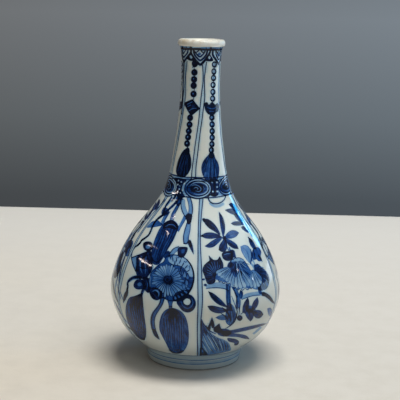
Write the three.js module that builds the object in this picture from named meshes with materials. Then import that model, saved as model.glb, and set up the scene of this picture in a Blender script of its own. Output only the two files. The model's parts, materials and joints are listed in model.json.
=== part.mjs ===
// Pear-shaped porcelain bottle vase, about 270 mm tall.
//
// The vase is built the way a potter builds it: a lower body thrown as a bowl,
// an upper body luted on top of it just above the widest line, a tall neck
// luted at the shoulder, a thick rolled lip, a low foot ring turned under the
// body, and the floor slab that closes the bottom inside the foot ring.
// It is hollow from the mouth down to the floor, so every section is a shell
// with an open bore. Millimetres, +Z up, origin at the centre of the foot
// ring's resting plane.

import * as THREE from 'three';

// ---------------------------------------------------------------- dimensions

const HEIGHT = 270;            // resting plane to the top of the lip
const FOOT_TOP = 8.5;          // joint between foot ring and lower body
const BODY_SEAM = 72;          // joint between lower and upper body
const NECK_SEAM = 160;         // joint between upper body and neck
const LIP_SEAM = 264.4;        // joint between neck and rolled lip

const SEGMENTS = 48;           // facets round the axis

const LIP_RADIUS = 19.5;       // outside of the rolled lip
const MOUTH_RADIUS = 12.7;     // bore through the lip
const FOOT_BOTTOM_RADIUS = 39; // outside of the foot ring where it rests
const FOOT_TOP_RADIUS = 41;    // outside of the foot ring where it meets the body
const RECESS_RADIUS = 35.8;    // inside of the foot ring beside the floor slab
const SLAB_RADIUS = 35.5;      // floor slab, 0.3 mm inside the foot ring
const SLAB_BOTTOM = 4.5;       // depth of the recess under the floor slab

// Outside radius of the vase against height, from the foot joint to the lip.
const OUTER = [
  [8.5, 41.3], [12, 43.7], [16, 47.9], [20, 52.4], [28, 60.2], [36, 64.9],
  [44, 68.3], [52, 70.8], [60, 71.93], [66, 71.7], [72, 70.6], [78, 68.98],
  [90, 64.4], [102, 58.2], [114, 50.4], [126, 40.9], [138, 32.4], [150, 26.75],
  [160, 24.1], [172, 22.1], [188, 19.8], [204, 18.05], [220, 16.75],
  [236, 16.1], [250, 16.3], [262, 17.2], [264.4, 17.65],
];

// Wall thickness, measured square to the wall, against height.
const WALL = [
  [8.5, 6.6], [16, 5.6], [28, 4.4], [60, 3.4], [102, 3.1], [138, 3.3],
  [160, 3.5], [204, 3.6], [250, 3.7], [LIP_SEAM, 4.5],
];

// ------------------------------------------------------------------- profiles

// Natural cubic spline through [x, y] pairs, with its slope.
function spline(points) {
  const n = points.length;
  const x = points.map((p) => p[0]);
  const y = points.map((p) => p[1]);
  const m = new Array(n).fill(0);
  const c = new Array(n).fill(0);
  const d = new Array(n).fill(0);
  for (let i = 1; i < n - 1; i++) {
    const h0 = x[i] - x[i - 1];
    const h1 = x[i + 1] - x[i];
    const b = 2 * (h0 + h1) - h0 * c[i - 1];
    c[i] = h1 / b;
    d[i] = (6 * ((y[i + 1] - y[i]) / h1 - (y[i] - y[i - 1]) / h0) - h0 * d[i - 1]) / b;
  }
  for (let i = n - 2; i > 0; i--) m[i] = d[i] - c[i] * m[i + 1];
  return (t) => {
    let i = 0;
    while (i < n - 2 && t > x[i + 1]) i++;
    const h = x[i + 1] - x[i];
    const a = (x[i + 1] - t) / h;
    const b = (t - x[i]) / h;
    const value = a * y[i] + b * y[i + 1]
      + ((a ** 3 - a) * m[i] + (b ** 3 - b) * m[i + 1]) * h * h / 6;
    const slope = (y[i + 1] - y[i]) / h
      + ((1 - 3 * a * a) * m[i] + (3 * b * b - 1) * m[i + 1]) * h / 6;
    return { value, slope };
  };
}

const outer = spline(OUTER);

function linear(points, t) {
  if (t <= points[0][0]) return points[0][1];
  for (let i = 1; i < points.length; i++) {
    if (t <= points[i][0]) {
      const [x0, y0] = points[i - 1];
      const [x1, y1] = points[i];
      return y0 + (y1 - y0) * (t - x0) / (x1 - x0);
    }
  }
  return points[points.length - 1][1];
}

// Inside radius at a height: the wall's horizontal thickness grows where the
// wall leans.
function inner(z) {
  const o = outer(z);
  return o.value - linear(WALL, z) * Math.sqrt(1 + o.slope * o.slope);
}

// A shell between two joint planes: up the outside, down the inside.
function shellProfile(outsideHeights, insideHeights) {
  const points = [];
  for (const z of outsideHeights) points.push([outer(z).value, z]);
  for (const z of [...insideHeights].reverse()) points.push([inner(z), z]);
  return points;
}

// ----------------------------------------------------------------- revolution

// Turns a closed [radius, height] outline round the Z axis. The outline runs
// anticlockwise seen with radius to the right and height up, which puts the
// faces outwards.
function revolve(outline) {
  const points = outline.map(([r, z]) => new THREE.Vector2(r, z));
  points.push(points[0].clone());
  const geometry = new THREE.LatheGeometry(points, SEGMENTS);
  geometry.rotateX(Math.PI / 2);
  return geometry;
}

// A slab that reaches the axis starts and ends on it.
function revolveSolid(outline) {
  const points = outline.map(([r, z]) => new THREE.Vector2(r, z));
  const geometry = new THREE.LatheGeometry(points, SEGMENTS);
  geometry.rotateX(Math.PI / 2);
  return geometry;
}

const glaze = (name, color, roughness = 0.12) => new THREE.MeshStandardMaterial({
  name, color, roughness, metalness: 0,
});

const vase = new THREE.Group();
vase.name = 'pear_vase';

function add(name, geometry, material) {
  const mesh = new THREE.Mesh(geometry, material);
  mesh.name = name;
  vase.add(mesh);
}

// --------------------------------------------------------------------- pieces

// Foot ring: low, slightly drawn in towards the resting edge, with the edges
// pared off so that it stands on a narrow flat ring.
add('foot_ring', revolve([
  [36.2, 0], [FOOT_BOTTOM_RADIUS, 0], [39.5, 0.5], [39.8, 1.6], [40.55, 5],
  [FOOT_TOP_RADIUS, FOOT_TOP], [RECESS_RADIUS, FOOT_TOP], [RECESS_RADIUS, 4.2],
  [35.4, 3.4], [35.2, 1.0],
]), glaze('foot_glaze', '#b9c0c4', 0.25));

// Floor slab: closes the bottom inside the foot ring, slightly domed below.
add('base', revolveSolid([
  [0, SLAB_BOTTOM + 0.6], [14, SLAB_BOTTOM + 0.5], [26, SLAB_BOTTOM + 0.2],
  [34.4, SLAB_BOTTOM], [SLAB_RADIUS, SLAB_BOTTOM + 0.8], [SLAB_RADIUS, FOOT_TOP],
  [0, FOOT_TOP],
]), glaze('base_glaze', '#c2c8c8', 0.2));

// Lower body: the thrown bowl, from the foot joint to the seam above the
// widest line, resting on the foot ring and on the rim of the floor slab.
add('lower_body', revolve(shellProfile(
  [8.5, 11.5, 15, 20, 26, 33, 41, 50, 60, 66, BODY_SEAM],
  [8.5, 12, 16, 21, 28, 36, 46, 58, BODY_SEAM],
)), glaze('body_glaze', '#cdd2d0'));

// Upper body: from the seam over the round shoulder to the root of the neck.
add('upper_body', revolve(shellProfile(
  [BODY_SEAM, 78, 85, 93, 102, 111, 119, 127, 134, 142, 151, NECK_SEAM],
  [BODY_SEAM, 82, 92, 103, 113, 122, 130, 138, 148, NECK_SEAM],
)), glaze('body_glaze', '#cdd2d0'));

// Neck: long and waisted, opening again a little under the lip.
add('neck', revolve(shellProfile(
  [NECK_SEAM, 170, 181, 193, 206, 220, 236, 250, 259, LIP_SEAM],
  [NECK_SEAM, 172, 186, 202, 220, 240, LIP_SEAM],
)), glaze('body_glaze', '#cdd2d0'));

// Rolled lip: a thick rounded bead round the mouth.
const neckTop = outer(LIP_SEAM).value;
add('mouth_rim', revolve([
  [MOUTH_RADIUS, LIP_SEAM], [neckTop, LIP_SEAM], [18.75, 264.45], [19.25, 264.95],
  [LIP_RADIUS, 266.1], [19.45, 267.4], [18.9, 268.9], [17.8, 269.75], [16.4, HEIGHT],
  [14.9, 269.7], [13.6, 268.7], [12.9, 267.1], [MOUTH_RADIUS, 265.6],
]), glaze('lip_glaze', '#e3e4dc', 0.18));

export default vase;
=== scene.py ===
# Pear-shaped porcelain bottle vase, painted in cobalt blue under the glaze.
#
# The painting is geometry: every brush stroke is an outline on the wall of the
# vase, the wall's mesh is cut along the outlines, and each face between them
# carries how much cobalt lies there and which way the brush went. The strokes
# are given by their control points: degrees round the axis (0 faces the
# viewer, + to the viewer's right) and millimetres above the table.

import json
import math

import bpy
import numpy as np
from mathutils import Matrix, Vector
from mathutils.geometry import delaunay_2d_cdt

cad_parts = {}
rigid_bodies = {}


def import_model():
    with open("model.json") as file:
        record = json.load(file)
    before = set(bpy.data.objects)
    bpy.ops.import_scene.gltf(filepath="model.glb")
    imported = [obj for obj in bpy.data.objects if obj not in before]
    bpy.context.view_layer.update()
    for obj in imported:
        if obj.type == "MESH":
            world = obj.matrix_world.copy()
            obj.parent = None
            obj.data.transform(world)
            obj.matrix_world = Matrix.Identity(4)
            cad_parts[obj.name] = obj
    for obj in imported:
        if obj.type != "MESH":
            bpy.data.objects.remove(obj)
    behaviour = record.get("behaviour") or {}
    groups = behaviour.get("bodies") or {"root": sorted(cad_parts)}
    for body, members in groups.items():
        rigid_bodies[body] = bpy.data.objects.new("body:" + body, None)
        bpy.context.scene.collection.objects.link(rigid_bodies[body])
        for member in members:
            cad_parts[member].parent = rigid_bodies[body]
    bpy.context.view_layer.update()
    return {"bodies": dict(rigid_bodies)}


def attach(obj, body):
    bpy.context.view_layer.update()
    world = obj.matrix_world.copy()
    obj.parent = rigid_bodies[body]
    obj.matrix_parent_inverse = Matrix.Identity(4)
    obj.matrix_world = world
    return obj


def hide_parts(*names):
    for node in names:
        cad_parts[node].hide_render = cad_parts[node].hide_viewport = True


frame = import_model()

BODY = "root" if "root" in frame["bodies"] else next(iter(frame["bodies"]))
MM = 0.001

# --------------------------------------------------------------------- camera
# Fitted to the outline and to the ellipses of the lip and the foot.

CAM_DISTANCE, CAM_HEIGHT = 0.86757, 0.30583
CAM_LENS = 94.81
CAM_PITCH, CAM_ROLL, CAM_YAW = math.radians(11.063), math.radians(1.51), math.radians(-0.136)


def make_camera():
    data = bpy.data.cameras.new("camera")
    data.lens, data.sensor_width, data.sensor_fit = CAM_LENS, 36.0, "AUTO"
    data.clip_start, data.clip_end = 0.02, 50
    cam = bpy.data.objects.new("camera", data)
    bpy.context.scene.collection.objects.link(cam)
    sy, cy, sp, cp = math.sin(CAM_YAW), math.cos(CAM_YAW), math.sin(CAM_PITCH), math.cos(CAM_PITCH)
    right0, up0 = Vector((cy, sy, 0)), Vector((-sy * sp, cy * sp, cp))
    ahead = Vector((-sy * cp, cy * cp, -sp))
    right = math.cos(CAM_ROLL) * right0 + math.sin(CAM_ROLL) * up0
    up = -math.sin(CAM_ROLL) * right0 + math.cos(CAM_ROLL) * up0
    m = Matrix((right, up, -ahead)).transposed().to_4x4()
    m.translation = Vector((0, -CAM_DISTANCE, CAM_HEIGHT))
    cam.matrix_world = m
    bpy.context.scene.camera = cam


make_camera()

# ------------------------------------------------------------ shape of the wall

OUTER = [(8.5, 41.3), (12, 43.7), (16, 47.9), (20, 52.4), (28, 60.2), (36, 64.9), (44, 68.3), (52, 70.8), (60, 71.93),
         (66, 71.7), (72, 70.6), (78, 68.98), (90, 64.4), (102, 58.2), (114, 50.4), (126, 40.9), (138, 32.4), (150, 26.75),
         (160, 24.1), (172, 22.1), (188, 19.8), (204, 18.05), (220, 16.75), (236, 16.1), (250, 16.3), (262, 17.2), (264.4, 17.65)]
WALL = [(8.5, 6.6), (16, 5.6), (28, 4.4), (60, 3.4), (102, 3.1), (138, 3.3), (160, 3.5), (204, 3.6), (250, 3.7), (264.4, 4.5)]
FOOT, SEAM, ROOT, LIP = 8.5, 72.0, 160.0, 264.4


def natural_spline(points):
    x = np.array([p[0] for p in points], float)
    y = np.array([p[1] for p in points], float)
    n, h = len(x), np.diff(x)
    a, b = np.zeros((n, n)), np.zeros(n)
    a[0, 0] = a[-1, -1] = 1
    for i in range(1, n - 1):
        a[i, i - 1], a[i, i], a[i, i + 1] = h[i - 1], 2 * (h[i - 1] + h[i]), h[i]
        b[i] = 6 * ((y[i + 1] - y[i]) / h[i] - (y[i] - y[i - 1]) / h[i - 1])
    m = np.linalg.solve(a, b)

    def at(t):
        t = np.asarray(t, float)
        i = np.clip(np.searchsorted(x, t, side="right") - 1, 0, n - 2)
        w = h[i]
        p, q = (x[i + 1] - t) / w, (t - x[i]) / w
        value = p * y[i] + q * y[i + 1] + ((p ** 3 - p) * m[i] + (q ** 3 - q) * m[i + 1]) * w * w / 6
        slope = (y[i + 1] - y[i]) / w + ((1 - 3 * p * p) * m[i] + (3 * q * q - 1) * m[i + 1]) * w / 6
        return value, slope
    return at


outer = natural_spline(OUTER)
WALL_Z, WALL_T = [w[0] for w in WALL], [w[1] for w in WALL]


def inner_radius(z):
    r, s = outer(z)
    return r - np.interp(z, WALL_Z, WALL_T) * np.sqrt(1 + s * s)


# The painting is laid out in (theta, q), where q is the way along the wall over
# the radius. Angles between strokes there are those on the wall.
ZT = np.arange(FOOT, LIP + 1e-6, 0.05)
_r, _s = outer(ZT)
_f = np.sqrt(1 + _s ** 2) / _r
QT = np.concatenate([[0], np.cumsum(0.025 * (_f[1:] + _f[:-1]))])
ST = np.concatenate([[0], np.cumsum(0.025 * (np.sqrt(1 + _s[1:] ** 2) + np.sqrt(1 + _s[:-1] ** 2)))])


def q_of(z):
    return np.interp(z, ZT, QT)


def z_of(q):
    return np.interp(q, QT, ZT)


def way_of(z):
    return np.interp(z, ZT, ST)


def radius_at(q):
    return outer(z_of(q))[0]


def dent(theta, z):
    """How far the thrown wall lies inside the true round, in mm."""
    oval = 0.05 * (1 + np.sin(2 * theta + 0.7 + 0.012 * z))
    rings = 0.022 * (1 + np.sin(0.46 * z + 1.1 * np.sin(theta + 0.4)))
    swirl = 0.024 * (1 + np.sin(5 * theta + 0.085 * z + 1.0)) + 0.012 * (1 + np.sin(9 * theta - 0.13 * z))
    pressed = 0.9 * np.exp(-((z - 15) / 7.0) ** 2) * (0.5 + 0.5 * np.cos(theta - 1.45)) ** 2
    return oval + rings + swirl + pressed


def wall_point(theta, z):
    """Points of the outside, in mm."""
    r = outer(np.clip(z, FOOT, LIP))[0] - dent(theta, z)
    return np.stack([r * np.sin(theta), -r * np.cos(theta), z], -1)


def wall_normal(theta, z):
    e = 0.01
    z = np.clip(z, FOOT + 0.06, LIP - 0.06)
    a = wall_point(theta + e, z) - wall_point(theta - e, z)
    b = wall_point(theta, z + 0.05) - wall_point(theta, z - 0.05)
    n = np.cross(a, b)
    return n / np.linalg.norm(n, axis=-1, keepdims=True)


# ------------------------------------------------------------- the brush strokes
# Kinds: S a brush line with its widths in mm, F a filled outline, R a ribbon
# between two edges, L a leaf from its tip to its base. The number is the
# density of the cobalt, from 0 to 1. e is an outline's density and we its width,
# ve the width of a leaf's vein, st how streaky the brush left it, flow the way
# the brush went, g how much paler the outer end is. op 'set' is a place that
# the painter left pale, or painted over.

MOTIFS = {}
MOTIFS['flower'] = [
    ('S', .22, ['19.54,139.33 24.25,137.35 32.19,137.06 41.24,138.25'], dict(w=[2.35, 2.13])),
    ('S', .88, ['16.92,144.64 17.47,142.73 19.19,140.75 23.49,139.31 29.89,138.87 37.46,139.51 44.89,141.09 51.44,143.25'], dict(w=[1.23, 1.15, 1.17, .99, .89, .96])),
    ('L', .72, ['29.58,132.90! 27.59,127.79 25.90,121.49 25.18,115.91', '29.58,132.90! 32.32,129.35 32.19,124.69 29.73,119.87 26.06,115.51'], dict(e=.88, we=.45, ve=.34)),
    ('L', .76, ['7.00,128.11! 12.39,128.22 18.19,125.44 21.53,121.96 23.56,117.40', '7.00,128.11! 8.96,125.16 12.79,122.05 17.51,119.72 22.71,116.53'], dict(e=.9, we=.5, ve=.37)),
    ('F', .95, ['6.33,128.54 9.00,128.82 10.00,127.54 8.37,125.86 6.65,126.85'], dict()),
    ('L', .74, ['3.95,116.55! 8.12,118.35 14.15,118.69 19.97,117.55 24.35,115.39', '3.95,116.55! 7.79,115.03 13.33,114.54 19.18,114.93 24.19,114.98'], dict(e=.9, we=.5, ve=.4)),
    ('F', .95, ['6.69,116.49 6.38,116.00 5.66,115.69 4.79,115.69 4.10,115.99 3.85,116.48 4.14,116.97 4.87,117.27 5.76,117.28 6.45,116.97'], dict()),
    ('L', .66, ['7.18,109.29! 10.55,111.09 14.96,113.24 20.11,114.75 24.64,114.81', '7.18,109.29! 10.68,108.28 14.64,108.82 19.15,111.13 23.16,113.48'], dict(e=.85, we=.42, ve=.32)),
    ('L', .72, ['18.82,106.33! 20.48,109.80 23.91,112.45 26.65,114.42', '18.82,106.33! 21.31,104.92 24.63,105.43 27.11,108.70 27.41,112.24 26.85,114.40'], dict(e=.9, we=.5, ve=.4)),
    ('L', .68, ['37.39,105.74! 37.05,108.55 34.10,111.29 30.33,113.25 26.65,114.42', '37.39,105.74! 32.97,106.49 29.77,108.50 27.77,111.08 26.48,114.00'], dict(e=.88, we=.45, ve=.34)),
    ('L', .66, ['45.21,116.72! 42.47,118.31 37.74,119.02 32.09,117.88 26.94,115.10', '45.21,116.72! 40.38,114.75 34.28,113.72 30.00,113.91 26.65,114.42'], dict(e=.88, we=.45, ve=.37)),
    ('F', .8, ['28.23,114.46 27.52,113.67 26.37,113.23 25.21,113.30 24.45,113.85 24.39,114.69 25.07,115.48 26.25,115.92 27.46,115.85 28.22,115.29'], dict()),
    ('S', .8, ['26.55,114.42 26.99,110.85 27.02,107.27 27.64,105.07'], dict(w=[1.1, .73, .61])),
    ('S', .75, ['72.49,140.00 68.77,134.36 65.03,128.48 63.52,122.49 62.27,116.52 61.29,112.07'], dict(w=[1.62, 1.26, 1.08, 1.26])),
    ('L', .72, ['51.34,137.14! 57.86,137.71 65.40,135.95 67.07,131.78', '51.34,137.14! 53.52,134.98 56.93,132.54 62.94,130.65'], dict(e=.85, we=.4, ve=.34)),
    ('L', .72, ['39.89,133.68! 45.83,134.04 53.98,133.71 62.56,130.61', '39.89,133.68! 43.56,131.96 49.37,129.87 59.69,128.60'], dict(e=.85, we=.42, ve=.34)),
    ('L', .74, ['51.34,129.55! 56.75,129.65 60.80,127.87 61.80,123.47', '51.34,129.55! 52.18,126.78 54.43,124.30 59.10,122.57'], dict(e=.85, we=.4, ve=.34)),
    ('L', .7, ['40.40,123.84! 45.09,124.54 52.36,124.22 60.08,122.61', '40.40,123.84! 42.94,122.47 49.81,121.52 59.15,120.90'], dict(e=.88, we=.45, ve=.4)),
    ('L', .72, ['52.09,120.09! 56.98,120.11 58.77,118.23 60.15,115.30', '52.09,120.09! 52.47,118.26 54.72,116.79 58.54,114.77'], dict(e=.88, we=.4, ve=.34)),
    ('L', .5, ['83.13,125.70! 93.95,122.90 84.74,121.01 73.76,118.70', '83.13,125.70! 74.75,123.80 72.52,121.26 71.65,118.55'], dict(e=.8, we=.35, ve=.34)),
    ('L', .42, ['40.24,107.03! 45.12,107.47 49.03,105.88 49.76,102.46 47.64,98.26 44.49,94.24', '40.24,107.03! 39.63,104.16 40.33,101.12 41.65,97.97 43.68,94.37'], dict(e=.62, we=.5, ve=.4)),
    ('S', .6, ['50.49,103.86 49.57,100.22 47.32,96.81 44.38,93.51'], dict(w=[.67, 1.78, 1.76, .69])),
    ('L', .72, ['54.89,111.96! 57.92,109.84 58.82,106.62 58.35,102.54', '54.89,111.96! 53.23,109.48 52.64,106.55 54.04,102.98'], dict(e=.9, we=.5, ve=.4)),
    ('S', .92, ['54.74,111.83 56.15,110.41 57.46,108.84'], dict(w=[1.62, 1.98, .72])),
    ('F', .62, ['54.49,103.52 60.14,103.61 63.51,101.88 63.25,99.26 59.75,96.84 59.47,93.76 54.79,93.93 52.38,96.08 49.21,95.88 49.17,98.77 51.20,101.47'], dict(flow=(55.4, 103.8, 56.3, 93.6), st=.3, e=.85, we=.4)),
    ('S', .9, ['57.21,97.65 58.57,95.05 59.02,92.76'], dict(w=[2.16, 2.34, .72])),
    ('S', .85, ['53.20,102.66 52.86,99.21 51.33,95.66'], dict(w=[.9, 1.24, .68])),
    ('S', .35, ['47.81,95.97 48.89,93.50 47.13,90.76'], dict(w=[1.9, 1.63, .75])),
    ('F', .84, ['21.21,103.64 23.92,104.76 27.60,104.93 30.06,104.43 30.01,101.97 28.83,99.17 25.83,98.27 23.08,98.77 21.25,100.47'], dict(flow=(20.7, 101.9, 30.2, 101.2), st=.25, e=.95, we=.5)),
    ('S', .22, ['22.56,102.69 25.87,103.33 28.48,102.98'], dict(op='set', w=[.31, .54, .33])),
    ('F', .85, ['29.33,105.65 32.47,105.23 32.80,102.43 32.39,99.55 30.16,100.07 28.44,97.02 26.85,93.81 24.68,92.69 23.54,94.39 24.93,96.46 27.21,98.30'], dict(flow=(30.6, 105.5, 24.7, 93.0), st=.25)),
    ('S', .55, ['28.84,107.56 28.87,105.40 29.69,103.89'], dict(w=[.73, 1.73, 1.5])),
    ('F', .84, ['10.16,102.47! 11.90,100.58 14.12,99.23 16.68,99.42 18.80,101.62! 19.72,99.27 20.49,96.20 19.86,93.05 17.10,91.61 14.84,89.53 13.63,86.80 13.45,83.87 10.89,82.04 8.32,82.39 7.16,85.35 6.12,88.71 5.04,92.05 5.98,95.22 8.29,97.50 10.37,99.04'], dict(flow=('fan', 14.2, 87.1), st=.5, e=.95, we=.55)),
    ('S', .4, ['14.09,90.70 14.27,93.22 14.15,95.70 13.69,98.22'], dict(op='set', w=[.16, .45, .34])),
    ('S', .4, ['13.59,90.60 13.30,93.10 12.71,95.50 11.75,97.86'], dict(op='set', w=[.16, .45, .34])),
    ('S', .4, ['13.02,90.38 12.25,92.63 11.18,94.72 9.76,96.71'], dict(op='set', w=[.16, .45, .34])),
    ('S', .4, ['12.50,90.04 11.48,91.81 10.19,93.36 8.58,94.74'], dict(op='set', w=[.16, .45, .34])),
    ('S', .4, ['12.01,89.52 10.88,90.74 9.55,91.71 7.98,92.43'], dict(op='set', w=[.16, .44, .34])),
    ('S', .4, ['11.66,88.89 10.57,89.68 9.35,90.17 7.98,90.36'], dict(op='set', w=[.16, .44, .33])),
    ('S', .4, ['11.45,88.11 10.42,88.52 9.35,88.63 8.23,88.41'], dict(op='set', w=[.16, .43, .33])),
    ('S', .4, ['15.09,92.11 15.80,93.95 16.23,95.83 16.35,97.80'], dict(op='set', w=[.16, .45, .34])),
    ('S', .4, ['16.28,92.56 17.03,93.45 17.51,94.45 17.70,95.59'], dict(op='set', w=[.16, .44, .34])),
    ('S', .97, ['5.19,92.05 6.12,95.22 8.60,97.64 11.00,99.18'], dict(w=[.51, .82, .72, .52])),
    ('F', .9, ['6.55,85.50 6.34,85.07 5.83,84.80 5.20,84.80 4.69,85.07 4.50,85.50 4.70,85.93 5.21,86.20 5.85,86.20 6.36,85.93'], dict()),
    ('F', .6, ['28.24,98.94 32.44,99.69 36.99,99.03 39.58,96.47 41.16,93.26 42.90,89.21 45.19,85.76 43.30,81.49 41.48,76.87 38.08,75.79 35.22,77.04 31.59,76.51 28.13,77.28 26.47,79.90 23.73,81.99 20.29,82.73 16.83,84.00 14.09,85.32 13.13,87.85 14.79,90.70 18.10,92.42 22.31,92.73 25.29,93.37 27.00,95.99'], dict(flow=('fan', 31.1, 95.3), st=.45)),
    ('F', .3, ['25.48,93.89! 20.00,93.22 16.15,92.01 14.66,90.87 14.52,89.98 15.20,89.42 17.03,89.59 20.70,91.17'], dict(op='set', flow=('fan', 31.7, 95.6), st=.35, g=.18)),
    ('F', .27, ['25.75,93.19! 20.57,91.93 17.04,90.30 15.77,89.01 15.77,88.11 16.50,87.64 18.25,88.03 21.56,90.01'], dict(op='set', flow=('fan', 31.7, 95.6), st=.35, g=.18)),
    ('F', .3, ['26.14,92.55! 21.45,90.85 18.38,88.95 17.39,87.57 17.52,86.70 18.30,86.32 19.89,86.85 22.72,89.08'], dict(op='set', flow=('fan', 31.7, 95.6), st=.35, g=.18)),
    ('F', .33, ['26.69,91.89! 22.39,89.73 19.72,87.51 19.01,86.02 19.32,85.17 20.16,84.86 21.66,85.56 24.03,88.08'], dict(op='set', flow=('fan', 31.7, 95.6), st=.35, g=.18)),
    ('F', .3, ['27.44,91.27! 23.60,88.45 21.35,85.83 20.87,84.27 21.28,83.50 22.14,83.36 23.49,84.32 25.43,87.17'], dict(op='set', flow=('fan', 31.7, 95.6), st=.35, g=.18)),
    ('F', .26, ['28.31,90.77! 24.77,87.15 22.86,83.99 22.62,82.25 23.19,81.51 24.12,81.52 25.38,82.78 26.94,86.13'], dict(op='set', flow=('fan', 31.7, 95.6), st=.35, g=.18)),
    ('F', .28, ['29.28,90.42! 26.10,85.72 24.60,81.79 24.63,79.79 25.35,79.08 26.33,79.30 27.47,80.96 28.58,85.02'], dict(op='set', flow=('fan', 31.7, 95.6), st=.35, g=.18)),
    ('F', .24, ['30.32,90.22! 27.91,84.64 27.03,80.14 27.38,77.98 28.21,77.34 29.18,77.76 30.06,79.77 30.53,84.33'], dict(op='set', flow=('fan', 31.7, 95.6), st=.35, g=.18)),
    ('F', .25, ['31.41,90.18! 29.93,84.18 29.81,79.47 30.57,77.33 31.57,76.81 32.54,77.38 33.13,79.58 32.79,84.28'], dict(op='set', flow=('fan', 31.7, 95.6), st=.35, g=.18)),
    ('F', .22, ['32.51,90.30! 32.14,84.21 32.83,79.55 33.97,77.53 35.09,77.16 35.99,77.87 36.22,80.13 35.03,84.72'], dict(op='set', flow=('fan', 31.7, 95.6), st=.35, g=.18)),
    ('F', .28, ['33.50,90.54! 34.26,84.44 35.76,79.84 37.23,77.94 38.41,77.69 39.17,78.50 39.00,80.80 37.00,85.27'], dict(op='set', flow=('fan', 31.7, 95.6), st=.35, g=.18)),
    ('F', .3, ['34.36,90.85! 36.08,85.05 38.26,80.74 40.00,79.02 41.20,78.89 41.84,79.75 41.31,81.97 38.63,86.11'], dict(op='set', flow=('fan', 31.7, 95.6), st=.35, g=.18)),
    ('F', .26, ['31.32,94.89! 32.58,96.93 32.93,98.49 32.45,99.18 31.64,99.33 30.81,99.12 30.22,98.39 30.33,96.85'], dict(op='set', flow=('fan', 30.8, 93.9), st=.3, g=.1)),
    ('F', .28, ['31.93,94.78! 34.63,96.51 36.19,98.10 36.28,99.09 35.62,99.61 34.64,99.74 33.48,99.19 32.41,97.41'], dict(op='set', flow=('fan', 30.8, 93.9), st=.3, g=.1)),
    ('F', .3, ['32.37,94.46! 35.97,95.33 38.56,96.42 39.43,97.35 39.27,98.05 38.52,98.48 37.04,98.29 34.70,96.89'], dict(op='set', flow=('fan', 30.8, 93.9), st=.3, g=.1)),
    ('F', .3, ['30.70,94.74! 30.62,96.84 30.01,98.21 29.20,98.59 28.44,98.42 27.87,97.95 27.80,97.16 28.77,95.96'], dict(op='set', flow=('fan', 30.8, 93.9), st=.3, g=.1)),
    ('S', .74, ['24.46,93.10 21.69,92.22 19.10,91.12 16.62,89.74'], dict(w=[.26, .43, .31, .15])),
    ('S', .74, ['24.86,92.30 22.23,91.09 19.82,89.66 17.56,87.98'], dict(w=[.26, .43, .31, .15])),
    ('S', .74, ['26.07,91.98 23.82,90.60 21.80,89.04 19.95,87.24'], dict(w=[.26, .44, .31, .16])),
    ('S', .74, ['26.76,91.29 24.76,89.62 23.01,87.78 21.47,85.72'], dict(w=[.27, .45, .32, .16])),
    ('S', .74, ['27.63,90.69 25.79,88.54 24.25,86.25 22.94,83.76'], dict(w=[.27, .46, .33, .16])),
    ('S', .74, ['28.61,90.24 26.95,87.40 25.63,84.46 24.59,81.31'], dict(w=[.28, .47, .34, .17])),
    ('S', .74, ['29.68,89.95 28.41,86.45 27.49,82.87 26.90,79.09'], dict(w=[.29, .49, .35, .17])),
    ('S', .74, ['30.81,89.82 30.17,86.08 29.87,82.30 29.91,78.34'], dict(w=[.3, .51, .36, .18])),
    ('S', .74, ['31.99,89.86 32.04,86.11 32.41,82.34 33.12,78.43'], dict(w=[.31, .52, .37, .19])),
    ('S', .74, ['33.10,90.05 33.87,86.27 34.93,82.50 36.36,78.59'], dict(w=[.31, .53, .38, .19])),
    ('S', .74, ['34.40,89.69 35.70,86.28 37.28,82.90 39.24,79.43'], dict(w=[.32, .54, .39, .19])),
    ('S', .74, ['35.96,89.57 37.46,86.99 39.22,84.48 41.33,81.97'], dict(w=[.32, .54, .39, .19])),
    ('S', .74, ['36.47,90.73 37.86,88.92 39.49,87.23 41.43,85.60'], dict(w=[.32, .54, .38, .19])),
    ('S', .74, ['36.37,92.60 37.77,91.40 39.37,90.35 41.24,89.43'], dict(w=[.31, .52, .36, .18])),
    ('S', .74, ['23.37,93.87 20.77,93.45 18.29,92.78 15.86,91.86'], dict(w=[.26, .43, .31, .15])),
    ('S', .85, ['29.06,98.72 32.41,99.62 36.61,99.08 38.90,97.31'], dict(w=[.52, .5, .52])),
    ('S', .8, ['39.58,96.47 41.16,93.26 42.85,89.07'], dict(w=[.69, .56, .57])),
    ('S', .5, ['24.24,93.74 21.53,93.13 18.95,92.31 16.43,91.26'], dict(w=[.12, .27, .21, .08])),
    ('S', .64, ['22.54,92.50 19.96,91.67 17.54,90.64 15.19,89.37'], dict(w=[.12, .27, .2, .08])),
    ('S', .78, ['20.83,91.50 19.85,91.26 18.94,90.85 18.11,90.26'], dict(w=[.12, .27, .21, .08])),
    ('S', .5, ['19.65,89.60 19.22,89.56 18.88,89.37 18.63,89.00'], dict(w=[.12, .27, .21, .08])),
    ('S', .64, ['25.00,92.08 22.00,90.48 19.25,88.68 16.66,86.63'], dict(w=[.12, .27, .21, .08])),
    ('S', .78, ['23.51,90.76 21.74,89.78 20.14,88.64 18.66,87.29'], dict(w=[.12, .27, .21, .08])),
    ('S', .5, ['22.62,88.80 21.90,88.42 21.32,87.90 20.85,87.23'], dict(w=[.12, .27, .21, .09])),
    ('S', .64, ['21.52,87.20 20.55,86.50 19.72,85.67 19.03,84.68'], dict(w=[.12, .27, .21, .08])),
    ('S', .78, ['26.15,90.78 23.87,88.78 21.85,86.62 20.02,84.24'], dict(w=[.13, .28, .21, .08])),
    ('S', .5, ['25.44,88.89 24.42,87.93 23.57,86.85 22.89,85.63'], dict(w=[.13, .28, .22, .09])),
    ('S', .64, ['24.49,87.23 23.46,86.15 22.62,84.95 21.94,83.60'], dict(w=[.13, .28, .22, .09])),
    ('S', .78, ['24.35,85.12 23.52,84.07 22.88,82.93 22.41,81.65'], dict(w=[.13, .28, .22, .09])),
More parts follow.
